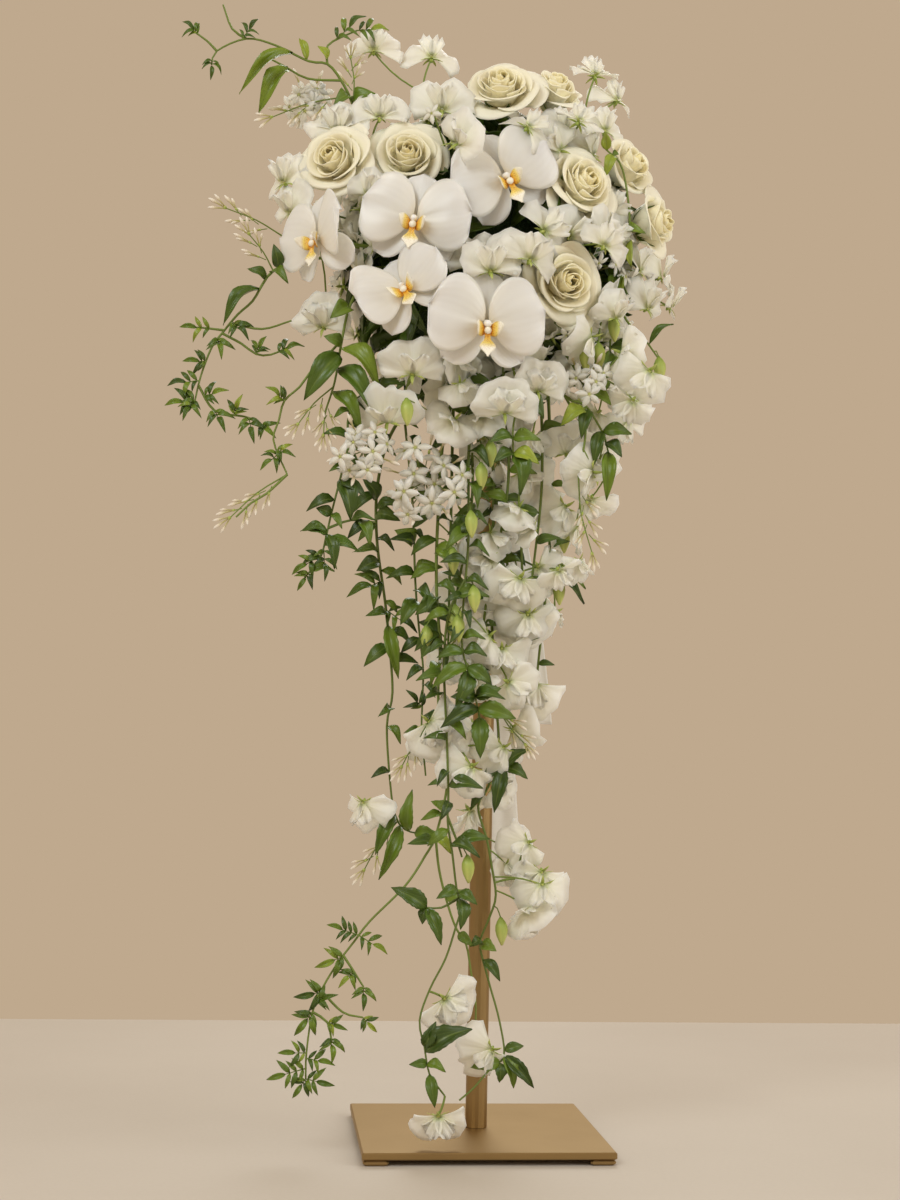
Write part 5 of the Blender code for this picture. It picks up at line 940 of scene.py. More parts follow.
# Sweet peas, one spray a row: what carries it, then each bloom's place in cm,
# degrees to the right, degrees upwards and width in cm.
sweetPeas = {
    "sweet_pea_top": ("core", [
        ((-13.5, -4, 115), -10, 35, 4.6), ((-7.5, -4, 114.5), 5, 40, 4.6), ((-6.5, -8, 108), -5, 10, 5.4),
    ]),
    "sweet_pea_top_left": ("core", [((-17.2, -7.5, 105.2), -20, 15, 5.0), ((-13, -8, 106.5), 0, 20, 4.6)]),
    "sweet_pea_left": ("core", [
        ((-22.5, -6, 100), -45, 10, 5.0), ((-22, -7, 96.5), -50, -5, 4.6),
        ((-18.5, -8, 84.5), -35, -15, 5.0),
    ]),
    "sweet_pea_top_right": ("core", [
        ((10.5, -1, 114.5), 15, 55, 4.4), ((13, 0, 112.5), 35, 40, 4.4), ((6.5, -7, 106.5), 15, 25, 4.6),
        ((11, -5, 107.5), 30, 25, 4.6),
    ]),
    "sweet_pea_centre": ("core", [((-3.5, -14, 90), -5, 0, 4.6), ((0.5, -14.5, 90.5), 10, 5, 4.6)]),
    "sweet_pea_front_left": ("core", [((-9.5, -15, 78.5), 0, -15, 5.0), ((-12, -12.5, 74), -20, -30, 5.2)]),
    "sweet_pea_front": ("core", [((0, -14.5, 75), 5, -25, 5.0), ((3.5, -13.5, 77.5), 15, -20, 4.6)]),
    "sweet_pea_right": ("core", [
        ((18.5, -0.5, 93.4), 68, 5, 4.8), ((16.5, -4, 89), 45, -5, 5.0), ((20, 1, 90.5), 75, 0, 4.8),
    ]),
    "sweet_pea_right_low": ("core", [
        ((15, -3, 76.5), 40, -35, 4.8), ((11, -6, 70.5), 20, -20, 5.0), ((7.5, -7, 72.5), 10, -10, 5.0),
    ]),
    "sweet_pea_back": ("core", [
        ((-9, 11.5, 101), 200, 15, 5.0), ((-3, 12.5, 96), 185, 5, 5.0), ((4, 12.5, 90), 170, -5, 5.0),
        ((11, 9.5, 97), 150, 10, 4.8),
    ]),
    "sweet_pea_cascade_1": ("strand_right", [
        ((3.5, -7.5, 68), 0, -10, 4.8), ((6.5, -6.5, 64.5), 20, -20, 5.0),
    ]),
    "sweet_pea_cascade_2": ("strand_right", [
        ((-1.5, -7.5, 59), -5, -5, 4.6), ((2, -8.5, 56.5), 0, -20, 5.0), ((5.5, -6, 58.5), 25, -10, 4.6),
        ((3.5, -7, 53), 10, -30, 4.6),
    ]),
    "sweet_pea_cascade_3": ("strand_right", [
        ((1, -7, 49.5), -5, -20, 4.4), ((2.5, -7, 46.5), 10, -25, 4.6),
    ]),
    "sweet_pea_cascade_4": ("strand_diagonal", [
        ((-5.5, -8, 42), -10, -5, 5.0), ((-3, -8.5, 37.5), 5, -20, 4.8), ((0.5, -7, 39.5), 15, -15, 4.6),
    ]),
    "sweet_pea_cascade_5": ("strand_right", [
        ((3.5, -4, 30), 5, -15, 4.4), ((5.5, -3, 26.5), 20, -20, 5.0), ((5.5, -2.5, 23), 15, -35, 4.4),
    ]),
    "sweet_pea_low_left": ("strand_left", [((-12.5, -5.5, 33.5), -45, -20, 4.6)]),
    "sweet_pea_mid": ("strand_front", [((-3.5, -8, 14.5), 10, -10, 4.8)]),
    "sweet_pea_low": ("strand_diagonal", [((-0.5, -7.5, 9.5), 10, -60, 4.8)]),
    "sweet_pea_lowest": ("strand_front", [((-5, -11.5, 3.6), -5, -85, 4.2)]),
}


# Jasmine heads: what carries each, its middle and half sizes in cm, how many stars it
# has in the list, how many more behind and before them, and the stars' size.
jasmine = {
    "jasmine_front": ("strand_diagonal", (-7.5, -11, 67), (3.6, 1.4, 4.2), 9, 6, 1.30),
    "jasmine_left": ("strand_left", (-14, -13.2, 69.5), (2.6, 0.8, 2.6), 5, 4, 1.12),
    "jasmine_right": ("core", (8.5, -12, 77.5), (2.4, 1.0, 1.8), 5, 4, 1.12),
    "jasmine_top_left": ("core", (-20.5, -5.5, 108), (2.0, 1.4, 2.0), 5, 4, 1.12),
}
starKinds = ("star", "starTurned")


# Leafy vines, each rooted in the foam at its first point. Leaves are given by
# root, tip and width, sprigs by root, tip, pairs of leaflets and leaflet length,
# and sprays of slender buds by root, tip and count. These roots are only near
# the stem, and each shoot grows from the nearest spot on it.
vines = {
    "vine_top_left": {
        "routes": [
            [(-12, -2, 100.5), (-15.5, -5, 107.5), (-17, -6, 110), (-18.5, -6.5, 111.5), (-20.5, -7, 111.5),
             (-24, -7, 113), (-27, -7, 113.5), (-30, -7, 112), (-30.5, -7, 110.5)],
            [(-30, -7, 112), (-31, -7, 113), (-32.5, -7, 114)],
            [(-27, -7, 113.5), (-28.5, -7, 114.5), (-29.5, -7, 117)],
            [(-18.5, -6.5, 111.5), (-18.5, -6.5, 113.5), (-16.5, -6, 115), (-15.5, -6, 115.5)],
            [(-17, -6, 110), (-20.5, -6, 110), (-23, -6.5, 111), (-25.5, -7, 112)],
        ],
        "leaves": [
            ((-22.5, -7, 111.5), (-27.5, -8.5, 107.5), 1.1), ((-22.5, -6.5, 111), (-25.5, -8, 106), 1.7),
            ((-20.5, -7, 112), (-21.5, -7, 114), 0.8), ((-18.5, -6.5, 112), (-19.5, -7.5, 113), 0.9),
            ((-16, -5, 108.5), (-17.5, -7, 107.5), 1.5), ((-15.5, -5, 108), (-13.5, -7, 108.5), 1.6),
        ],
        "sprigs": [
            ((-18, -6.5, 114.5), (-15, -7, 116.5), 1, 2.2), ((-15.5, -6, 115.5), (-12.5, -6, 115.8), 1, 2),
            ((-30.5, -7, 111), (-30.5, -7, 109.5), 1, 1.5), ((-27.5, -7, 113.5), (-26, -7, 115.5), 1, 1.6),
            ((-32, -7, 113.5), (-33, -7, 114.5), 1, 1.6),
        ],
        "sprays": [((-16.5, -5, 108.5), (-24, -6.5, 105.5), 4), ((-15.5, -5, 108), (-16, -4.5, 113), 4)],
    },
    "vine_left_upper": {
        "routes": [
            [(-15.5, -3, 92), (-21, -6, 90.5), (-23.5, -7, 89), (-24.5, -7.5, 87.5), (-25.5, -8, 85.5),
             (-27, -8, 84), (-28.5, -8, 82), (-29.5, -8, 80.5), (-30.5, -8, 77.5), (-31, -8, 75)],
            [(-28.5, -8, 82.5), (-30.5, -8, 82.5), (-31.5, -8, 82.5)],
            [(-27.5, -8, 83), (-24.5, -8.5, 82.5), (-21.5, -8.5, 83.5)],
            [(-28.5, -8, 82), (-26.5, -8, 81), (-25, -8, 80), (-23.5, -8, 80), (-21.5, -8, 81)],
            [(-30.5, -8, 76.5), (-29, -8, 74), (-26, -8, 73.5), (-24.5, -8, 73), (-23.5, -8, 72)],
            [(-15.5, -3, 92), (-19, -4.5, 92.8), (-22.5, -5, 93.2)],
        ],
        "leaves": [
            ((-25, -8, 87), (-28.5, -9, 83), 1.3), ((-24, -7.5, 88), (-26, -8, 89), 1),
            ((-23, -7, 89.5), (-23.5, -8, 91.5), 1.2), ((-23.5, -7, 88.5), (-22, -9, 87.5), 1.2),
        ],
        "sprigs": [
            ((-29.5, -8, 82.5), (-32.5, -8, 82.5), 1, 1.8), ((-27.5, -8, 83), (-26, -9, 81.5), 1, 2),
            ((-29, -8, 81.5), (-28.5, -9, 79.5), 1, 2), ((-25, -8, 80), (-24.5, -8, 81), 1, 1.6),
            ((-23, -8, 80.5), (-20.5, -8, 81), 1, 2), ((-30, -8, 79), (-32, -8, 79), 1, 1.8),
            ((-30.5, -8, 77), (-33.5, -8, 76.5), 1, 2), ((-31, -8, 75), (-33.5, -8, 74.5), 2, 2),
            ((-31, -8, 75), (-32, -9, 73), 1, 1.8), ((-30, -8, 75.5), (-28, -8.5, 76), 1, 1.8),
            ((-29, -8, 74), (-28, -9, 72), 1, 2), ((-27, -8, 73.5), (-26.5, -8.5, 75), 1, 1.7),
            ((-25.5, -8, 73.5), (-25, -9, 71), 1, 2), ((-24, -8, 73), (-23, -9, 71.5), 1, 1.8),
        ],
        "sprays": [((-22.5, -5, 93.2), (-28.5, -6.5, 95.5), 4), ((-23.5, -7, 89), (-26, -7.5, 92.5), 3)],
    },
    "vine_left_mid": {
        "routes": [
            [(-13, -4, 90), (-15.5, -9, 85.5), (-16.5, -10, 80.5), (-17, -10, 77), (-18, -10, 73.5)],
            [(-16.5, -10, 81.5), (-18.5, -9.5, 79), (-19.5, -9.5, 78), (-20.5, -9.5, 76.5), (-22, -9.5, 75),
             (-22.5, -9.5, 73), (-23, -9.5, 71), (-22, -9.5, 68.5), (-21.5, -9.5, 67.5)],
            [(-21.5, -9.5, 67.5), (-23.5, -9.5, 65.5), (-25, -9.5, 64.5), (-26.5, -9.5, 63)],
        ],
        "leaves": [
            ((-17, -10, 80), (-20, -11.5, 75), 2.2), ((-16.5, -10, 81), (-18, -11, 81.5), 1.3),
            ((-16.5, -10, 80.5), (-12.5, -12, 76.5), 2), ((-17, -10, 78.5), (-13, -12, 74), 2),
            ((-17, -10, 76), (-14, -11.5, 72), 1.5), ((-16, -9, 85), (-17.5, -11, 83.5), 1.7),
        ],
        "sprigs": [
            ((-22.5, -9.5, 70), (-21.5, -10, 69.5), 1, 1.6), ((-22.5, -9.5, 69.5), (-24, -10, 68), 1, 1.7),
            ((-22, -9.5, 75), (-23.5, -10, 76), 1, 1.8),
        ],
        "sprays": [
            ((-21.5, -9.5, 67.5), (-27, -9.5, 63), 6), ((-17, -10, 76.5), (-20.5, -11, 72.5), 3),
            ((-17.5, -10, 75.5), (-18, -11, 71.5), 3),
        ],
    },
    "strand_left": {
        "routes": [
            [(-5.5, -4, 80), (-10.5, -5, 73.5), (-12, -4, 68), (-12, -4, 62), (-11, -4, 55.5),
             (-10.5, -4, 51.5), (-10, -4, 46), (-10.5, -4, 42.5), (-10, -4, 36.5), (-9.5, -4.5, 33.5),
             (-8.5, -5, 32), (-6.5, -5.5, 31.5)],
            [(-9.5, -5, 75), (-8.5, -5.5, 66), (-8, -5.5, 57.5), (-7.5, -5.5, 52.5), (-7, -5.5, 48.5),
             (-7, -5.5, 45), (-7, -5.5, 42), (-6.5, -5.5, 37.5)],
            [(-5.5, -4, 80), (-14, -9.5, 76), (-15.5, -10.5, 73.5), (-15.5, -10.5, 70.5), (-16, -10.5, 68),
             (-17, -10.5, 63.5), (-17.5, -10.5, 61), (-18, -10.5, 59), (-19.5, -10.5, 57)],
            [(-17, -10.5, 62), (-15, -10, 63), (-12.5, -9, 63)],
        ],
        "leaves": [
            ((-10.5, -4, 53), (-9.5, -5, 47.5), 1.4), ((-9.5, -4.5, 33.5), (-11.5, -5.5, 29.5), 1.4),
            ((-9, -5, 32.5), (-11, -6, 27), 1.4), ((-8, -5, 32), (-8, -6, 36), 1.4),
            ((-7.5, -5.5, 32), (-5, -6.5, 31.5), 1.3), ((-12, -4, 66), (-13.5, -5, 68), 1.6),
            ((-12, -4, 59.5), (-14, -5, 58.5), 1.5), ((-8, -5.5, 61.5), (-10, -7, 62.5), 1.8),
            ((-8, -5.5, 58), (-5.5, -7, 59), 1.7), ((-8, -5.5, 55.5), (-9.5, -7, 53), 1.6),
            ((-12, -4, 64.5), (-10, -5.5, 64), 1.6), ((-16, -10.5, 67), (-15, -11.5, 63), 1.8),
            ((-17, -10.5, 63.5), (-18.5, -11, 64), 1.1), ((-17.5, -10.5, 61.5), (-19.5, -11, 62), 1.1),
            ((-17.5, -10.5, 61.5), (-16.5, -11.5, 58), 1.2), ((-14, -10, 63), (-13, -11, 60.5), 1.2),
        ],
        "sprigs": [
            ((-11.5, -4, 57.5), (-14.5, -5, 56), 1, 3), ((-11, -4, 54.5), (-8, -5, 52.5), 1, 2.4),
            ((-7, -5.5, 44.5), (-8.5, -6, 46), 1, 1.8), ((-18, -10.5, 59.5), (-20.5, -10.5, 57.5), 1, 1.9),
            ((-17.5, -10.5, 60), (-17.5, -11.5, 57), 1, 1.8),
            ((-19, -10.5, 57.5), (-20, -10.5, 56), 1, 1.6),
        ],
        "sprays": [((-7, -5.5, 41.5), (-9, -6.5, 38.5), 3), ((-9, -5, 33), (-12.5, -5.5, 28), 4)],
    },
    "strand_diagonal": {
        "routes": [
            [(-3.5, -5, 79.5), (-5.5, -7.5, 73), (-6, -7.5, 63.5), (-6, -7.5, 57), (-5.5, -7.5, 50.5),
             (-5.5, -7, 45), (-4.5, -7, 39), (-4.5, -7, 36), (-5.5, -7, 31.5), (-6.5, -7, 29.5),
             (-8.5, -7.5, 26.5), (-12, -8, 23), (-13.5, -8, 21), (-15, -8, 19), (-16.5, -8, 16.5),
             (-17.5, -8, 14), (-18, -8, 10), (-18, -8, 7.5)],
            [(-5.5, -7, 31.5), (-5, -6.5, 28), (-4, -6, 24.5), (-3, -5.5, 22), (-2, -5.5, 20.5),
             (-1.5, -5.5, 18), (-1, -6, 15), (-1, -6.5, 12.5)],
            [(-16.5, -8, 16), (-14.5, -8, 14), (-12.5, -8, 13.5)],
            [(-17.5, -8, 14), (-16, -8, 13), (-15.5, -8, 11)],
            [(-14.5, -8, 19.5), (-13.5, -8, 18), (-12.5, -8, 16.5)],
        ],
        "leaves": [
            ((-6, -7.5, 61), (-4, -8.5, 59.5), 1.5), ((-6, -7.5, 55.5), (-8, -8.5, 54), 1.5),
            ((-6, -7.5, 51.5), (-7.5, -8.5, 49.5), 1.4), ((-5, -7, 34), (-6, -8, 35), 1.2),
            ((-5.5, -7, 31.5), (-4, -8, 30), 1.1), ((-4.5, -6, 25), (-2, -7, 26), 1.2),
            ((-3, -5.5, 21.5), (-1.5, -6.5, 20.5), 1),
        ],
        "sprigs": [
            ((-13, -8, 21.5), (-16, -8, 22.5), 2, 1.7), ((-13, -8, 21.5), (-10.5, -8.5, 20), 1, 1.8),
            ((-14.5, -8, 19.5), (-17, -8, 18.5), 1, 2.2), ((-13.5, -8, 18), (-14.5, -8.5, 17), 1, 1.7),
            ((-12.5, -8, 16.5), (-12.5, -8.5, 15), 1, 1.8), ((-16.5, -8, 16), (-19, -8, 15.5), 1, 2.2),
            ((-17, -8, 15), (-16, -8.5, 15.5), 1, 1.8), ((-17.5, -8, 14), (-19, -8, 12), 1, 2.2),
            ((-12.5, -8, 13.5), (-11.5, -8, 12.5), 1, 1.5), ((-15.5, -8, 11.5), (-15.5, -8.5, 10), 1, 1.9),
            ((-16, -8, 13), (-14.5, -8.5, 12.5), 1, 1.6), ((-18, -8, 10), (-20.5, -8, 10), 1, 1.8),
            ((-18, -8, 9.5), (-15.5, -8.5, 9), 1, 1.8), ((-18, -8, 8.5), (-21.5, -8, 7.5), 2, 2),
            ((-18, -8, 7.5), (-19, -8, 6), 1, 1.7), ((-18, -8, 7.5), (-15.5, -8.5, 7), 1, 1.9),
        ],
        "buds": [(-4.5, -8.5, 59.5), (-4.5, -8.5, 53), (-7, -8, 51.5), (-10, -14.5, 73.5)],
    },
    "strand_front": {
        "routes": [
            [(-1, -6, 79.5), (-3, -9, 72), (-3, -9.5, 61.5), (-3.5, -9.5, 51.5), (-2.5, -9.5, 47.5),
             (-2, -9.5, 45.5), (-1.5, -9.5, 43.5)],
            [(-3, -9.5, 57.5), (-4.8, -9.2, 54), (-5.2, -9, 49), (-4.8, -9, 42), (-4.5, -9, 36),
             (-4.5, -9, 33), (-4, -9, 30), (-3.5, -9, 26.5), (-3, -9, 24.5), (-3.5, -9, 22.5),
             (-4.5, -9.5, 19.5), (-6, -9.5, 16.5), (-7, -10, 13.5), (-6.5, -10.5, 11), (-6, -11, 8.5),
             (-4.5, -11.5, 6.5)],
            [(-4.5, -9, 33.5), (-3.5, -9, 31), (-3, -9, 29.5)],
            [(-3, -9, 25.5), (-5, -9.5, 24.5), (-6.5, -9.5, 24.5)],
        ],
        "leaves": [
            ((-3.5, -9.5, 50), (-6, -10, 49.5), 1.3), ((-3.5, -9.5, 50), (-1, -10, 50), 1.3),
            ((-3, -9.5, 48.5), (-6.5, -10.5, 46.5), 1.5), ((-3, -9.5, 48.5), (-0.5, -10, 47), 1.5),
            ((-3, -9.5, 48), (-4, -10.5, 44.5), 1.7), ((-2, -9.5, 45.5), (-4.5, -10.5, 45.5), 1.4),
            ((-2, -9.5, 45.5), (0.5, -10, 46.5), 1.5), ((-1.5, -9.5, 44.5), (-5.5, -10.5, 42.5), 1.6),
            ((-1.5, -9.5, 44.5), (2, -10.5, 43.5), 1.7), ((-1.5, -9.5, 43.5), (-1.5, -10.5, 39.5), 1.7),
            ((-3, -9.5, 63.5), (-5, -10.5, 62), 1.6), ((-6.5, -9.5, 24.5), (-10, -10, 26.5), 1.7),
            ((-6.5, -9.5, 24.5), (-5, -10.5, 21), 1.3), ((-6.5, -9.5, 24.5), (-7, -10, 23), 1),
            ((-3, -9, 26.5), (-5.5, -10, 25.5), 1.2), ((-3, -9, 25.5), (-3, -10, 22.5), 1.4),
            ((-3, -9, 26), (-1.5, -10, 25), 1.2), ((-6.5, -10.5, 11), (-5.5, -11, 13.5), 1.3),
            ((-6.5, -10.5, 10.5), (-2, -11, 13), 2.1), ((-6.5, -11, 9.5), (-4.5, -11.5, 9), 1),
            ((-6.5, -11, 9.5), (-8, -11.5, 9.5), 0.9), ((-6, -11, 8.5), (-5.5, -12, 5.5), 1.1),
        ],
        "buds": [
            (-1, -9.5, 70.5), (-2, -10.5, 68), (-3, -11, 63), (-2.5, -10.5, 55.5), (-4, -10, 52.5),
            (-2.5, -9.5, 28.5),
        ],
    },
    "strand_right": {
        "routes": [
            [(1.5, -4, 80), (0.5, -5, 70), (0, -5, 62), (0, -5, 55), (0.5, -5, 47), (1, -5, 40.5),
             (0, -5, 36.5), (-1, -5, 34.5), (0, -5, 31), (0.5, -5, 28.5), (1, -5, 25.5), (0.5, -5, 23.5),
             (-0.5, -5, 21), (-0.5, -5, 20), (0.5, -5, 16.5), (1.5, -5.5, 13), (2, -6, 9.5),
             (0.5, -7.5, 8.5), (-1.5, -10, 7), (-3, -11, 6)],
            [(0, -5, 62), (3.5, -4.5, 60), (6, -4.5, 59)],
            [(1, -5, 40), (1.5, -5.5, 38.5)],
        ],
        "leaves": [
            ((6, -4.5, 59), (10, -5, 57.5), 1.2), ((6, -4.5, 59), (10, -5, 56), 1),
            ((1.5, -5.5, 38.5), (4, -6, 40.5), 1.3), ((1.5, -5.5, 38.5), (4, -6, 37.5), 1.3),
            ((1.5, -5.5, 38.5), (0.5, -6.5, 34), 1.5), ((-0.5, -5, 20.5), (1, -6, 20), 1.3),
            ((0, -5, 19), (1.5, -6, 17), 1.1), ((-0.5, -5, 21), (-1.5, -6, 20.5), 1),
            ((2, -6, 10), (4, -6, 10.5), 1), ((1.5, -6.5, 9), (-1.5, -7, 8.5), 1.3),
            ((1.5, -6.5, 8.5), (1.5, -7, 7), 1.2), ((2, -6, 9.5), (3, -7, 6.5), 1.3),
            ((2, -6, 9.5), (5, -7, 6.5), 1.3),
        ],
        "buds": [(7, -5, 57), (7.5, -4.5, 62.5), (1.5, -5.5, 22)],
        "sprays": [((0.5, -5, 45), (3.5, -6.5, 41), 3)],
    },
    "vine_right_low": {
        "routes": [
            [(5, -5, 82.5), (6.5, -10.5, 76.5), (8.5, -11, 75.5), (10.5, -10, 73), (11, -9.5, 72),
             (11.5, -9.5, 70)],
            [(6, -9, 79), (2, -12, 75.5), (1, -12.5, 73), (1, -12.5, 70)],
            [(8.5, -11, 75.5), (9.5, -11, 77), (10.5, -10, 78.5)],
            [(8.5, -11, 75.5), (8.5, -11.5, 72), (8, -10.5, 68.5)],
        ],
        "leaves": [
            ((11, -9.5, 71), (11, -10.5, 66), 1.4), ((10.5, -10, 73), (13.5, -10.5, 73), 1.3),
            ((11, -9.5, 72), (12.5, -10.5, 70.5), 1.3), ((10.5, -10, 73), (9.5, -11, 69.5), 1.3),
            ((8.5, -11, 75), (6, -12, 73.5), 1.6), ((9, -11, 75), (8, -12, 72), 1.3),
            ((1, -12.5, 71.5), (-1.5, -13.5, 71), 1.3), ((1, -12.5, 71.5), (3.5, -13.5, 71.5), 1.3),
            ((1, -12.5, 70), (-1, -13.5, 69), 1.3), ((1, -12.5, 70), (3.5, -13.5, 69), 1.4),
            ((1, -12.5, 70), (2, -13.5, 66), 1.6), ((10.5, -10, 78.5), (10, -11, 76.5), 1.2),
            ((9.5, -11, 77), (11, -12, 75.5), 1.1), ((2.5, -12, 76), (4, -13, 74), 1.5),
        ],
        "sprays": [((8, -10.5, 68.5), (9.5, -10.5, 60.5), 5)],
    },
    "vine_right_upper": {
        "routes": [
            [(12.6, -4.5, 92.5), (12.4, -7, 88.5), (13.5, -7, 85.5), (15.5, -7, 83.5), (17, -7, 81.5)],
            [(12.5, -7, 87), (12, -6, 83.5), (12.5, -5, 81), (13.5, -4.5, 79)],
            [(12, -7, 88.5), (10.5, -9, 85), (10, -10, 82)],
            [(12.6, -4.5, 92.5), (13.6, -7.5, 95), (12.5, -9, 101), (10.5, -9.5, 103)],
        ],
        "leaves": [
            ((12, -7, 91), (11.5, -8.5, 87), 1.3), ((13, -7, 90.5), (12.5, -8.5, 87), 1.2),
            ((12, -7.5, 92.5), (13.5, -9, 91), 1.4), ((12, -7, 88.5), (10, -9, 86.5), 1.3),
            ((12, -5.5, 82.5), (11, -7, 78), 1.3), ((12.5, -5.5, 83), (15, -6.5, 82), 1.5),
            ((16, -7, 83), (18.5, -7, 85.5), 0.7), ((11.5, -8, 94.5), (14.5, -9.5, 94.5), 1.1),
            ((10.5, -9.5, 102.5), (10.5, -10, 104.5), 1), ((11, -9, 102), (12, -9.5, 102.5), 0.8),
            ((11, -9, 102), (10.5, -10, 100), 1.1),
        ],
        "buds": [(17, -7, 80.5), (10, -10, 81), (8.5, -10.5, 80.5), (12, -7.5, 84.5)],
    },
}


# The stems that the strands and vines run along, which the sprays hang from.
vineWidths = {"root": 0.0042, "branch": 0.0030, "tip": 0.0019, "step": 0.008}


def vinePaths(routes):
    paths = []
    for number, route in enumerate(routes):
        points = [cm(place) for place in route]
        if number == 0:
            points.insert(0, coreSurfaceTo(points[0], stemDepth))
        else:
            points[0] = nearestSpot(paths, points[0])
        paths.append(smoothPath(points, vineWidths["step"]))
    return paths


allPaths = {name: vinePaths(rows["routes"]) for name, rows in vines.items()}


def carrierOf(name, place):
    return coreSurfaceTo(place) if name == "core" else nearestSpot(allPaths[name], place)


# Radii of the stems that end in a bloom, and how far a spray's fork stays from its blooms.
bloomStems = {"wide": 0.0025, "spray": 0.0016, "hung": 0.0012, "stalk": 0.0010, "reach": 0.02}
# The blooms on the strands hang with the calyx up.
hangForm = {"roll": 180, "sway": 55, "lowest": -25}


def peaPose(index, k, bloom, hangs):
    place, right, up, width = bloom
    sway = hangForm["sway"] * math.sin(2.1 * index + 1.7 * k)
    roll = hangForm["roll"] + sway if hangs else 0.0
    lift = max(up, hangForm["lowest"]) if hangs else up
    return axesFacing(facing(right, lift), roll), cm(place), width / 5


def sweetPeaPieces():
    for index, (name, (carrier, blooms)) in enumerate(sweetPeas.items()):
        plan = Plan()
        hangs = carrier != "core"
        poses = [peaPose(index, k, bloom, hangs) for k, bloom in enumerate(blooms)]
        roots = [middle + axes @ peaForm["root"] * size for axes, middle, size in poses]
        middle = np.mean(roots, axis=0)
        spot = carrierOf(carrier, middle)
        reach = min(0.45 * np.linalg.norm(spot - middle), bloomStems["reach"])
        fork = middle + unit(spot - middle) * reach if len(roots) > 1 else roots[0]
        if hangs:
            plan.stalk(spot, fork, bloomStems["hung"])
        else:
            plan.coreStem(fork, bloomStems["spray"])
        for k, (root, (axes, middle, size)) in enumerate(zip(roots, poses)):
            plan.stalk(fork, root, bloomStems["stalk"])
            plan.shoot(peaKinds[(index + 2 * k) % 5], middle, axes, size)
        plan.grow(f"sweetPeaSpray{index + 1}", "sweet_pea_petal", [name], tint=0.7, spread=0.2, seed=index)


def jasminePieces():
    for seed, (name, (carrier, middle, half, count, more, size)) in enumerate(jasmine.items()):
        draw = random.Random(40 + seed)
        plan = Plan()
        back = cm(middle) + np.array([0, 0.020, 0.004])
        plan.stalk(carrierOf(carrier, back), back, bloomStems["spray"])
        for k in range(count + more):
            share = (k + 0.5) / count if k < count else (k - count + 0.9) / more
            turn = k * goldenTurn + draw.uniform(-0.25, 0.25)
            reach = math.sqrt(min(share, 1.0))
            depth = draw.uniform(-1, 1) * half[1] + (0.9 if k >= count else 0)
            offset = cm((half[0] * reach * math.cos(turn), depth, half[2] * reach * math.sin(turn)))
            axes = axesFacing(facing(0, 0) + offset / 0.05 + np.array([0, 0, -0.1]), draw.uniform(0, 72))
            place = cm(middle) + offset
            plan.shoot(starKinds[k % 2], place, axes, size * draw.uniform(0.88, 1.0))
            plan.stalk(back, place - axes[:, 2] * 0.019, bloomStems["stalk"] * 0.6)
        for k in range(count):
            turn = k * goldenTurn + 1.1
            way = unit((math.cos(turn), -0.35, math.sin(turn)))
            root = back + way * np.array([half[0], 1.2, half[2]]) / 100 * 0.7
            plan.shoot("slimBud", root, axesAlong(way, (0, -1, 0.3)), 1.1)
            plan.stalk(back, root, bloomStems["stalk"] * 0.5)
        plan.grow(f"jasmineHead{seed + 1}", "jasmine_petal", [name], tint=0.5, seed=seed)


sweetPeaPieces()
jasminePieces()
print("sweet peas and jasmine ready")


# Leafy shoots. Each grows from the nearest spot on its vine's stems.
frontLean = np.array([0.0, -1.0, 0.2])
vineTints = {
    "strand_left": 0.42, "strand_front": 0.42, "strand_right": 0.46, "strand_diagonal": 0.68,
    "vine_left_mid": 0.68,
}
vineForm = {"leafWider": 1.1, "toothedBelow": 50, "toothedWider": 1.15, "tint": 0.60}
sprigForm = {"radii": [0.0008, 0.0006, 0.0004], "shortest": 0.0060, "pairStep": 0.0055, "wide": 0.31}
budForm = {"radii": (0.0009, 0.0006), "fork": 0.007, "forkRadius": 0.0005, "hang": 0.011, "stalk": 0.0007,
           "plump": 1.22}


def addSprig(plan, root, tip, outward, pairs, length):
    # Leaflets in pairs, and one at the tip.
    form = sprigForm
    along = unit(tip - root)
    across = unit(np.cross(along, outward))
    out = unit(outward)
    reach = max(np.linalg.norm(tip - root) - length * 0.8, form["shortest"] + form["pairStep"] * (pairs - 1))
    plan.stem([root, root + along * reach * 0.5 + out * 0.0006, root + along * reach], form["radii"])
    for pair in range(pairs + 1):
        start = root + along * (reach * (pair + 0.35) / (pairs + 1))
        for side in (-1, 1):
            way = unit(along * 0.65 + across * side + out * (0.10 + 0.1 * side))
            small = length * (0.86 + 0.07 * side * (-1) ** pair) * (0.85 + 0.15 * pair / pairs)
            plan.leaf(("leaf", "leafCurled")[pair % 2], start, way, outward, small, small * form["wide"])
    plan.leaf("leafWide", root + along * reach, along, outward, length, length * form["wide"])


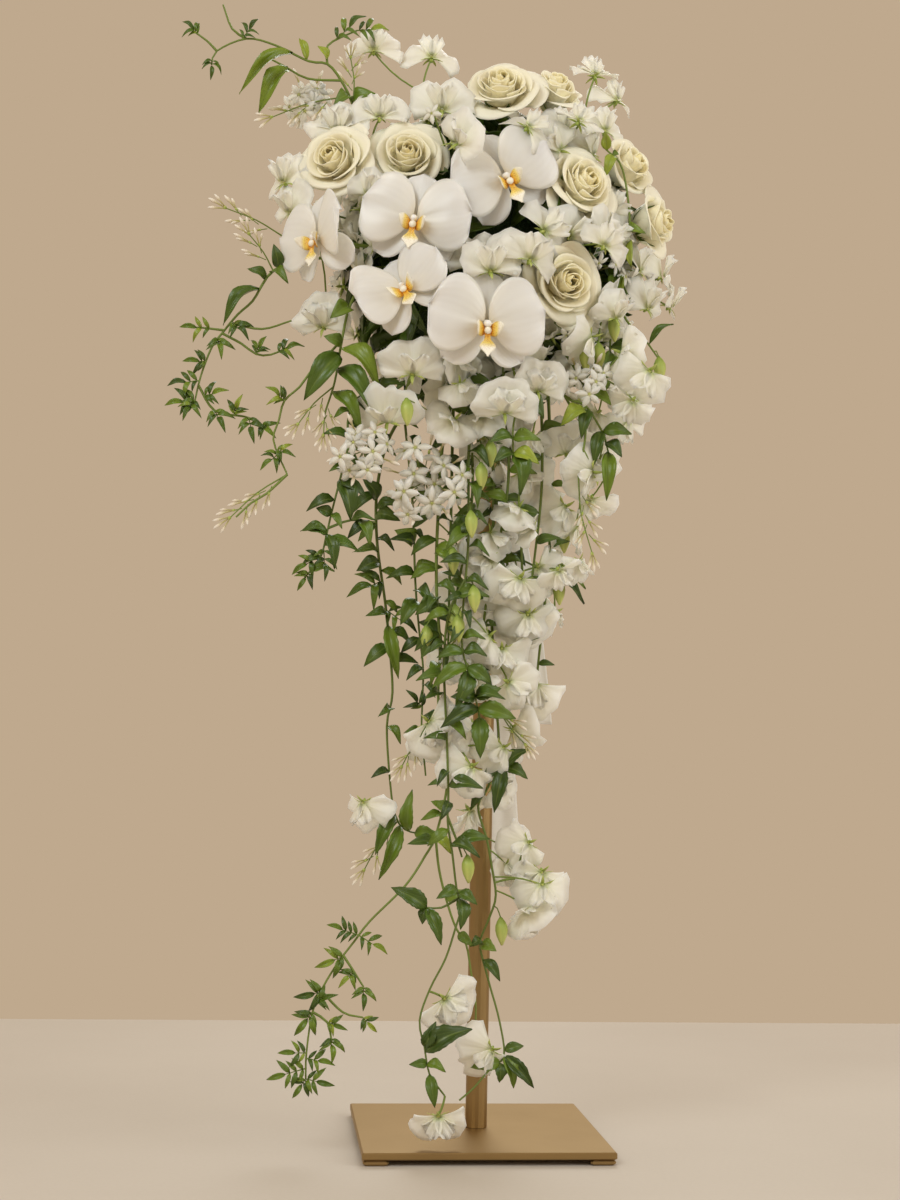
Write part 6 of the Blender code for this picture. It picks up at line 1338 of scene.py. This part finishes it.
def addBudSpray(plan, root, tip, outward, count):
    # Slender buds on a forked stalk, in twos, and three at the tip.
    form = budForm
    along = tip - root
    length = np.linalg.norm(along)
    across = unit(np.cross(along, outward))
    path = smoothPath([root, root + along * 0.5 + across * length * 0.05, tip], length / 5)
    plan.stem(path, np.linspace(*form["radii"], len(path)))
    along, out = unit(along), unit(outward)
    for k in range(count - 1):
        side = (-1, 1)[k % 2]
        start = root + along * (length * (0.22 + 0.74 * (k + 0.5) / count))
        way = unit(along + across * side * (0.55 + 0.2 * math.sin(5.1 * k)) + (0, 0, -0.15))
        fork = start + way * form["fork"]
        plan.stem([start, fork], form["forkRadius"])
        plan.shoot("slimBud", fork, axesAlong(way, outward), 0.95)
        other = unit(way + across * side * 0.55 + out * 0.5 * (-1) ** k)
        plan.shoot("slimBud", fork, axesAlong(other, outward), 0.82)
    for lean in (-0.35, 0.05, 0.4):
        way = unit(along + across * lean + out * lean * 0.6)
        plan.shoot("slimBud", tip, axesAlong(way, outward), 1.0 - 0.3 * abs(lean))


def addPlumpBud(plan, root, middle):
    top = middle + (0, 0, budForm["hang"])
    path = smoothPath([root, (root + top) / 2 + (0, 0, 0.004), top + (0, 0, 0.001)], 0.006)
    plan.stem(path, budForm["stalk"])
    plan.shoot("plumpBud", top, axesAlong((0.05, -0.08, -1), frontLean), budForm["plump"])


def vinePieces():
    form = vineForm
    for seed, (name, rows) in enumerate(vines.items()):
        draw = random.Random(seed)
        plan = Plan()
        paths = allPaths[name]
        for number, path in enumerate(paths):
            first = vineWidths["branch" if number else "root"]
            plan.stem(path, np.linspace(first, vineWidths["tip"], len(path)) / 2)
        for place in rows.get("buds", ()):
            addPlumpBud(plan, nearestSpot(paths, cm(place) + (0, 0, 0.022)), cm(place))
        for k, (root, tip, width) in enumerate(rows["leaves"]):
            lean = np.array([draw.uniform(-0.3, 0.3), -1, 0.3 + draw.uniform(-0.2, 0.3)])
            start = nearestSpot(paths, cm(root))
            way = cm(tip) - start
            isToothed = tip[2] < form["toothedBelow"] and width > form["toothedWider"]
            kind = "leafToothed" if isToothed else leafNames[k % 3]
            plan.leaf(kind, start, way, lean, np.linalg.norm(way), width / 100 * form["leafWider"])
        for root, tip, pairs, length in rows.get("sprigs", ()):
            lean = np.array([draw.uniform(-0.25, 0.25), -1, 0.25 + draw.uniform(-0.2, 0.2)])
            addSprig(plan, nearestSpot(paths, cm(root)), cm(tip), lean, pairs, length / 100)
        for root, tip, count in rows.get("sprays", ()):
            addBudSpray(plan, nearestSpot(paths, cm(root)), cm(tip), frontLean, count + 1)
        tint = vineTints.get(name, form["tint"])
        plan.grow(f"vineGrown{seed + 1}", "vine_leaf", [name], tint=tint, spread=0.40, seed=seed)


# Leafy stems that finish the back, each a way round the foam: which side of the
# back, degrees upwards at each point, and the leaves' length and width in cm.
backStems = {
    "foliage_back_left": (-1, (52, 22, -8, -38), (7.5, 3.4)),
    "foliage_back_right": (1, (46, 16, -14, -42), (7.2, 3.3)),
}
backForm = {"out": 0.014, "turn": 38, "sway": 9, "leafStep": 0.030}


def backPieces():
    form = backForm
    for seed, (name, (hand, ups, (long, wide))) in enumerate(backStems.items()):
        draw = random.Random(90 + seed)
        plan = Plan()
        route = []
        for k, up in enumerate(ups):
            turn = math.radians(form["turn"] + form["sway"] * math.sin(k * 1.7)) * hand
            lift = math.radians(up)
            way = np.array([math.sin(turn) * math.cos(lift), math.cos(turn) * math.cos(lift), math.sin(lift)])
            route.append(coreCentre + way * (coreRadii + form["out"]))
        path = smoothPath([coreSurfaceTo(route[0], stemDepth)] + route, vineWidths["step"])
        plan.stem(path, np.linspace(vineWidths["root"], vineWidths["tip"], len(path)) / 2)
        spots = smoothPath(route, form["leafStep"])
        for k, spot in enumerate(spots):
            out = unit(spot - coreCentre)
            run = unit(spots[min(k + 1, len(spots) - 1)] - spots[max(k - 1, 0)])
            for side in (-1, 1):
                way = unit(np.cross(out, run) * side + run * 0.45 + out * draw.uniform(0.25, 0.5))
                plan.leaf(leafNames[k % 3], spot, way, out, long / 100 * draw.uniform(0.85, 1.05), wide / 100)
        plan.grow(f"backFoliage{seed + 1}", "broad_leaf", [name], tint=0.30, spread=0.25, seed=30 + seed)


vinePieces()
backPieces()
print("vines ready")


# What fills the head between the blooms: leaves all over the foam, and more sweet
# peas and stars wherever no bloom of the lists stands. A layer is how many spots it
# tries, how far they lie off the foam, and how much farther at the front.
fillForm = {
    "leaves": 320, "leafLong": (0.040, 0.062), "leafWide": (0.32, 0.42), "leafRoot": 0.004, "wild": 0.75,
    "layers": ((900, 0.034, 0.018), (500, 0.048, 0.030)), "starShare": 0.16, "lowest": 0.79,
    "starRoom": 0.010, "peaRoom": 0.015, "stem": 0.0011,
}


def fibonacciWay(k, count):
    z = 1 - (2 * k + 1) / count
    turn = k * goldenTurn
    flat = math.sqrt(max(1 - z * z, 0))
    return np.array([flat * math.cos(turn), flat * math.sin(turn), z])


def bloomSpheres():
    # Each listed bloom as its middle and how far it keeps others away.
    shares = [(orchids, 0.72), (roses, 0.90)] + [(blooms, 0.8) for carrier, blooms in sweetPeas.values()]
    found = [(cm(row[0]), row[-1] / 200 * share) for rows, share in shares for row in rows]
    return found + [(cm(row[1]), max(row[2]) / 100) for row in jasmine.values()]


def clearWays():
    # The large blooms stay free of others in front of them: middle, way out, radius.
    found = []
    for row in orchids + roses:
        middle = cm(row[0])
        ways = [facing(row[1], row[2]), unit(np.array(cameraForm["place"]) - middle)]
        found += [(middle, way, row[-1] / 200) for way in ways if way[1] < 0.5]
    return found


heldSpots = bloomSpheres()
openWays = clearWays()


def hides(place, radius):
    for middle, way, keep in openWays:
        ahead = float((place - middle) @ way)
        aside = np.linalg.norm(place - middle - way * ahead)
        if ahead > -0.012 and aside < keep * 0.92 + radius * 0.7:
            return True
    return False


def hasRoom(place, radius):
    free = all(np.linalg.norm(place - other) > keep + radius for other, keep in heldSpots)
    return free and not hides(place, radius)


def fillLeaves():
    form = fillForm
    draw = random.Random(7)
    plan = Plan()
    for k in range(form["leaves"]):
        way = fibonacciWay(k, form["leaves"])
        root = coreCentre + way * (coreRadii - form["leafRoot"])
        wild = np.array([draw.uniform(-1, 1), draw.uniform(-1, 1), draw.uniform(-1, 0.6)])
        along = unit(way + form["wild"] * wild)
        length = draw.uniform(*form["leafLong"])
        width = length * draw.uniform(*form["leafWide"])
        plan.leaf(leafNames[k % 3], root, along, way + (0, 0, 0.4), length, width)
    # Their dark tint, 0.28, is partly painted shade: these leaves are darker than the others to stand for the
    # shaded hollows between and under the blooms.
    plan.grow("fillLeaves", "vine_leaf", tint=0.28, spread=0.30, seed=51)


def fillBlooms():
    form = fillForm
    draw = random.Random(8)
    plan = Plan()
    for k, count, lift, front in [(k, *layer) for layer in form["layers"] for k in range(layer[0])]:
        way = fibonacciWay(k, count)
        lift += front * max(-way[1], 0) + draw.uniform(-0.008, 0.008)
        place = coreCentre + way * (coreRadii + lift)
        isStar = draw.random() < form["starShare"]
        size = draw.uniform(0.84, 1.04)
        roll = draw.uniform(-70, 70)
        lean = np.array([draw.uniform(-0.6, 0.6), draw.uniform(-0.4, 0.4), draw.uniform(-0.7, 0.4)])
        isUnderLeft = way[0] < -0.2 and way[2] < -0.25 and way[1] < 0.2
        room = form["starRoom" if isStar else "peaRoom"]
        if place[2] < form["lowest"] or isUnderLeft or not hasRoom(place, room):
            continue
        heldSpots.append((place, room))
        axes = axesFacing(unit(way + lean), roll)
        plan.shoot(starKinds[k % 2] if isStar else peaKinds[k % 5] + "Plain", place, axes, size)
        plan.coreStem(place - axes[:, 2] * 0.006, form["stem"], place)
    plan.grow("fillBlooms", "sweet_pea_petal", tint=0.7, spread=0.2, seed=52)


# Under the head the strands carry more blooms, thickest at the right, with more leaves
# at the left. A row is, in cm, its height, where it begins and ends, and how far forward.
cascadeForm = {
    "rows": (
        (80, -9, 15, 11), (76.5, -7, 16, 11), (73, -5, 14, 10), (69.5, -3, 13, 9), (66, -2, 12, 8),
        (62.5, -3, 10, 8), (59, -3, 9, 8), (55.5, -2, 8, 7.5), (52, -1, 7, 7), (48.5, -2, 5, 7),
        (45, -5, 4, 7), (41.5, -6, 3, 7), (38, -5, 3, 7), (34.5, -2, 3, 6), (29, 2, 6, 4), (24, 4, 7, 4),
    ),
    "step": 2.7, "carriers": ("strand_right", "strand_front", "strand_diagonal", "vine_right_low"),
    "room": 0.010, "keep": 0.013, "stalk": 0.0009,
    "leafy": ("strand_left", "strand_diagonal", "strand_front", "strand_right"),
    "leafStep": 0.010, "leafTop": 0.82, "leafLow": 0.30, "leafLong": (0.018, 0.036), "leafWide": 0.42,
    "thickAbove": 0.48, "thick": 0.9, "thin": 0.4,
}


def cascadeBlooms():
    form = cascadeForm
    draw = random.Random(9)
    plan = Plan()
    paths = [path for name in form["carriers"] for path in allPaths[name]]
    for z, left, right, ahead in form["rows"]:
        for x in np.arange(left, right + 0.1, form["step"]):
            spot = (x + draw.uniform(-1.5, 1.5), -ahead + draw.uniform(-2, 4), z + draw.uniform(-1.8, 1.8))
            place = cm(spot)
            roll = draw.uniform(115, 245)
            way = facing(draw.uniform(-60, 70), draw.uniform(-50, 40))
            size = draw.uniform(0.72, 1.04)
            if not hasRoom(place, form["room"]):
                continue
            heldSpots.append((place, form["keep"]))
            axes = axesFacing(way, roll)
            plan.shoot(peaKinds[draw.randrange(5)] + "Plain", place, axes, size)
            root = place + axes @ peaForm["root"] * size
            plan.stalk(nearestSpot(paths, place + (0, 0, 0.03)), root, form["stalk"])
    plan.grow("cascadeBlooms", "sweet_pea_petal", tint=0.7, spread=0.2, seed=54)


def cascadeLeaves():
    form = cascadeForm
    draw = random.Random(10)
    plan = Plan()
    for path in [path for name in form["leafy"] for path in allPaths[name]]:
        for k, spot in enumerate(smoothPath(path[1:], form["leafStep"])[2::2]):
            share = form["thick" if spot[2] > form["thickAbove"] else "thin"]
            turn = draw.uniform(-1.3, 1.3) + (math.pi if k % 2 else 0)
            length = draw.uniform(*form["leafLong"])
            drop = draw.uniform(-0.9, 0.2)
            isOutside = spot[2] > form["leafTop"] or spot[2] < form["leafLow"]
            if isOutside or draw.random() > share:
                continue
            way = np.array([math.cos(turn), -abs(math.sin(turn)) * 0.7, drop])
            kind = ("leaf", "leafWide", "leafCurled", "leafTwisted")[draw.randrange(4)]
            outward = (draw.uniform(-0.3, 0.3), -1, 0.5)
            plan.leaf(kind, spot, way, outward, length, length * form["leafWide"])
    plan.grow("cascadeLeaves", "vine_leaf", tint=0.40, spread=0.35, seed=55)


# Plain stems that hang out of the head in front of the pole, each down to a bloom or bud.
hangingForm = {
    "stems": 9, "left": -4.5, "step": 1.25, "low": 46, "lowSpread": 12, "radii": (0.0021, 0.0013),
    "leafLong": (0.016, 0.032), "leafWide": 0.42, "leafShare": 0.7, "bud": 1.2,
}


def hangingStems():
    form = hangingForm
    draw = random.Random(12)
    plan = Plan()
    for k in range(form["stems"]):
        x = form["left"] + form["step"] * k
        y = -5.5 - 1.5 * math.sin(2.1 * k)
        low = form["low"] + form["lowSpread"] * abs(math.sin(1.9 * k + 0.4))
        sway = draw.uniform(-0.8, 0.8)
        ways = [(x * 0.8, y - 1, 86), (x, y - 1.5, 78), (x + sway, y - 1, (78 + low) / 2), (x - sway, y, low)]
        points = [cm(spot) for spot in ways]
        path = smoothPath([coreSurfaceTo(points[0], stemDepth)] + points, 0.01)
        plan.stem(path, np.linspace(*form["radii"], len(path)))
        for j, spot in enumerate(path[4:-2:3]):
            way = ((-1, 1)[(j + k) % 2], draw.uniform(-0.8, 0.1), draw.uniform(-0.7, 0.3))
            length = draw.uniform(*form["leafLong"])
            if draw.random() < form["leafShare"]:
                plan.leaf(leafNames[j % 3], spot, way, frontLean, length, length * form["leafWide"])
        if k % 2:
            plan.shoot("plumpBud", path[-1], axesAlong((0.1, -0.1, -1), frontLean), form["bud"])
        else:
            axes = axesFacing(facing(draw.uniform(-30, 30), -10), 180 + draw.uniform(-50, 50))
            plan.shoot(peaKinds[k % 5], path[-1] - axes @ peaForm["root"], axes, 1.0)
    plan.grow("hangingStems", "vine_leaf", tint=0.45, spread=0.30, seed=56)


# The stems of the large blooms, and the green cups under the roses: how far behind
# the bloom's middle each begins, and a cup leaf's width, length and lift.
cupForm = {"orchidBack": 0.012, "roseBack": 0.018, "leaves": 5, "leaf": (0.010, 0.027, 0.020)}


def stemPieces():
    form = cupForm
    plan = Plan()
    for place, right, up, roll, width in orchids:
        forward = axesFacing(facing(right, up))[:, 2]
        plan.coreStem(cm(place) - forward * form["orchidBack"], bloomStems["wide"] * 0.8)
    for place, right, up, width in roses:
        axes = axesFacing(facing(right, up))
        back = cm(place) - axes[:, 2] * form["roseBack"] * width / roseForm["openSize"]
        plan.coreStem(back, bloomStems["wide"])
        for k in range(form["leaves"]):
            turn = math.tau * k / form["leaves"]
            way = axes @ np.array([math.cos(turn), math.sin(turn), 0.35])
            plan.shoot("leafCurled", back, axesAlong(way, -axes[:, 2]), form["leaf"])
    plan.grow("bloomStems", "vine_leaf", tint=0.55, spread=0.15, seed=53)


fillLeaves()
fillBlooms()
cascadeBlooms()
cascadeLeaves()
hangingStems()
stemPieces()
print("fill ready")


# The ribbon: a band and a knot round the pole, and two tails that hang from it. A tail
# has where it ends in cm, which side it hangs to, and how far it sways.
ribbonForm = {
    "low": 0.744, "high": 0.786, "inner": 0.0125, "outer": 0.0150, "knot": 0.018, "width": 0.034,
    "thickness": 0.0004, "bandThickness": 0.0022, "rows": 60, "columns": 17, "pleats": 1.6,
    "tails": (((6.2, 3.6, 43.2), 1, 0.006), ((3.4, 5.6, 27.2), -1, -0.004)),
}


def pleatedRow(target, phase):
    # A folded cross-section of the ribbon: its arc stays the ribbon's width.
    form = ribbonForm
    across = np.linspace(-1, 1, form["columns"])
    wave = np.cos(form["pleats"] * math.pi * across + phase)
    low, high = 0.0, form["width"]
    for halving in range(40):
        depth = (low + high) / 2
        arc = np.hypot(np.diff(across * target), np.diff(wave * depth)).sum()
        low, high = (depth, high) if arc < form["width"] else (low, depth)
    return across * target, wave * depth


def tailPiece(number, start, end, side, sway):
    form = ribbonForm
    middles = []
    for v in np.linspace(0, 1, form["rows"]):
        middles.append(start + (end - start) * v + (sway * math.sin(math.pi * v), 0.004 * math.sin(5 * v), 0))
    length = np.linalg.norm(np.diff(middles, axis=0), axis=1).sum()
    points = []
    grain = []
    for row, middle in enumerate(middles):
        v = row / (form["rows"] - 1)
        target = form["width"] / 2 * min(0.985, 0.26 + 2.4 * v)
        across, fold = pleatedRow(target, 1.3 * side + 1.5 * v)
        points += [middle + (x, y, 0) for x, y in zip(across, fold)]
        grain += [(u, v * length, 0) for u in np.linspace(-1, 1, form["columns"])]
    faces = [(a, d, c, b) for a, b, c, d in gridFaces(form["columns"], form["rows"])]
    grid = {"points": np.array(points) + standOffset, "grain": grain, "faces": faces, "part": 0}
    tail = bodyless(f"ribbonTail{number}", meshOf("tail", [shell(grid, form["thickness"])]))
    tail.data.materials.append(silkFinish)
    dress(tail, "ribbon_silk", "ribbon")


def bandAt(u, v):
    form = ribbonForm
    turn = math.pi * u
    fold = 0.0006 * math.sin(5 * math.pi * v + 2 * math.sin(2 * turn)) * math.sin(math.pi * v)
    radius = (form["inner"] + form["outer"]) / 2 + fold
    return (radius * math.cos(turn), radius * math.sin(turn), form["low"] + (form["high"] - form["low"]) * v)


def ribbonPieces():
    form = ribbonForm
    band = shell(gridOf(49, 22, bandAt, "stem"), form["bandThickness"])
    profile = []
    for t in np.linspace(0, 1, 13):
        swell = max(math.sin(math.pi * (0.06 + 0.88 * t)), 0.1) ** 0.6
        profile.append((form["knot"] * 0.52 * swell, -0.012 + 0.026 * t))
    knotAt = np.array([0.004, form["outer"] + form["knot"] * 0.49, 0])
    knot = lathe(profile, 22, "stem", -0.07)
    knot = moved(knot, axesFacing((0.25, 0, 1)), knotAt + (0, 0, form["low"] + 0.006))
    grids = [moved(grid, np.eye(3), standOffset) for grid in (band, knot)]
    made = bodyless("ribbonBand", meshOf("band", grids))
    made.data.materials.append(silkFinish)
    dress(made, "ribbon_silk", "ribbon")
    start = knotAt + (0.001, 0, form["low"])
    for number, (end, side, sway) in enumerate(form["tails"], 1):
        tailPiece(number, start + (0.001 * side, -0.0032 * side, 0), cm(end), side, sway)


ribbonPieces()

# The stand and the foam keep their solids, with a finish of their own.
brassNodes = ("stand_plate", "stand_pole", *(f"stand_foot_{k}" for k in range(1, 5)))
for name in (*brassNodes, "foam_core"):
    materials = bpy.data.objects[name].data.materials
    materials.clear()
    materials.append(foamFinish if name == "foam_core" else brassFinish)
for made in list(shapes.objects):
    bpy.data.objects.remove(made)
bpy.data.collections.remove(shapes)
print("ribbon and stand ready")


# The studio: a pale floor, a plain light room, and soft lights. A light has its
# place, size, power and colour.
studio = {
    "floorWide": 3.4, "floorDeep": 1.7, "floorDrop": 0.0004, "room": (191, 169, 142), "roomLight": 1.0,
    "aim": (0, 0, 0.75),
    "lights": {
        "key": ((-1.5, -2.1, 2.3), 1.6, 38, (0.92, 0.99, 1.0)),
        "fill": ((2.0, -1.3, 1.3), 1.6, 21, (0.92, 0.99, 1.0)),
        "back": ((0.5, 1.9, 2.2), 1.5, 24, (0.94, 0.99, 1.0)),
    },
}


def makeStudio():
    wide = studio["floorWide"] / 2
    deep = studio["floorDeep"] / 2
    low = -studio["floorDrop"]
    mesh = bpy.data.meshes.new("floor")
    corners = [(-wide, -deep, low), (wide, -deep, low), (wide, deep, low), (-wide, deep, low)]
    mesh.from_pydata(corners, [], [(0, 1, 2, 3)])
    mesh.materials.append(newMaterial("floorPaper", floorPaper))
    bodyless("floor", mesh)
    world = bpy.data.worlds.new("room")
    bpy.context.scene.world = world
    world.use_nodes = True
    room = world.node_tree.nodes["Background"].inputs
    room["Color"].default_value = sRgb(studio["room"])
    room["Strength"].default_value = studio["roomLight"]
    for name, (place, size, power, colour) in studio["lights"].items():
        lamp = bpy.data.lights.new(name, "AREA")
        lamp.size = size
        lamp.energy = power
        lamp.color = colour
        made = bodyless(name, lamp)
        made.location = place
        made.rotation_mode = "QUATERNION"
        made.rotation_quaternion = (Vector(studio["aim"]) - Vector(place)).to_track_quat("-Z", "Y")


def makeCamera():
    form = cameraForm
    yaw, pitch, roll = form["yaw"], form["pitch"], form["roll"]
    forward = np.array([math.sin(yaw) * math.cos(pitch), math.cos(yaw) * math.cos(pitch), math.sin(pitch)])
    level = np.array([math.cos(yaw), -math.sin(yaw), 0.0])
    upright = np.cross(level, forward)
    right = level * math.cos(roll) + upright * math.sin(roll)
    up = upright * math.cos(roll) - level * math.sin(roll)
    lens = bpy.data.cameras.new("camera")
    lens.lens = form["lens"]
    lens.sensor_width = 36.0
    lens.clip_start = 0.01
    made = bodyless("camera", lens)
    place = Matrix(np.stack([right, up, -forward], axis=1).tolist()).to_4x4()
    place.translation = Vector(np.array(form["place"]) + standOffset)
    made.matrix_world = place
    bpy.context.scene.camera = made


makeStudio()
makeCamera()
bpy.context.scene.view_settings.view_transform = "Standard"

print("scene ready")
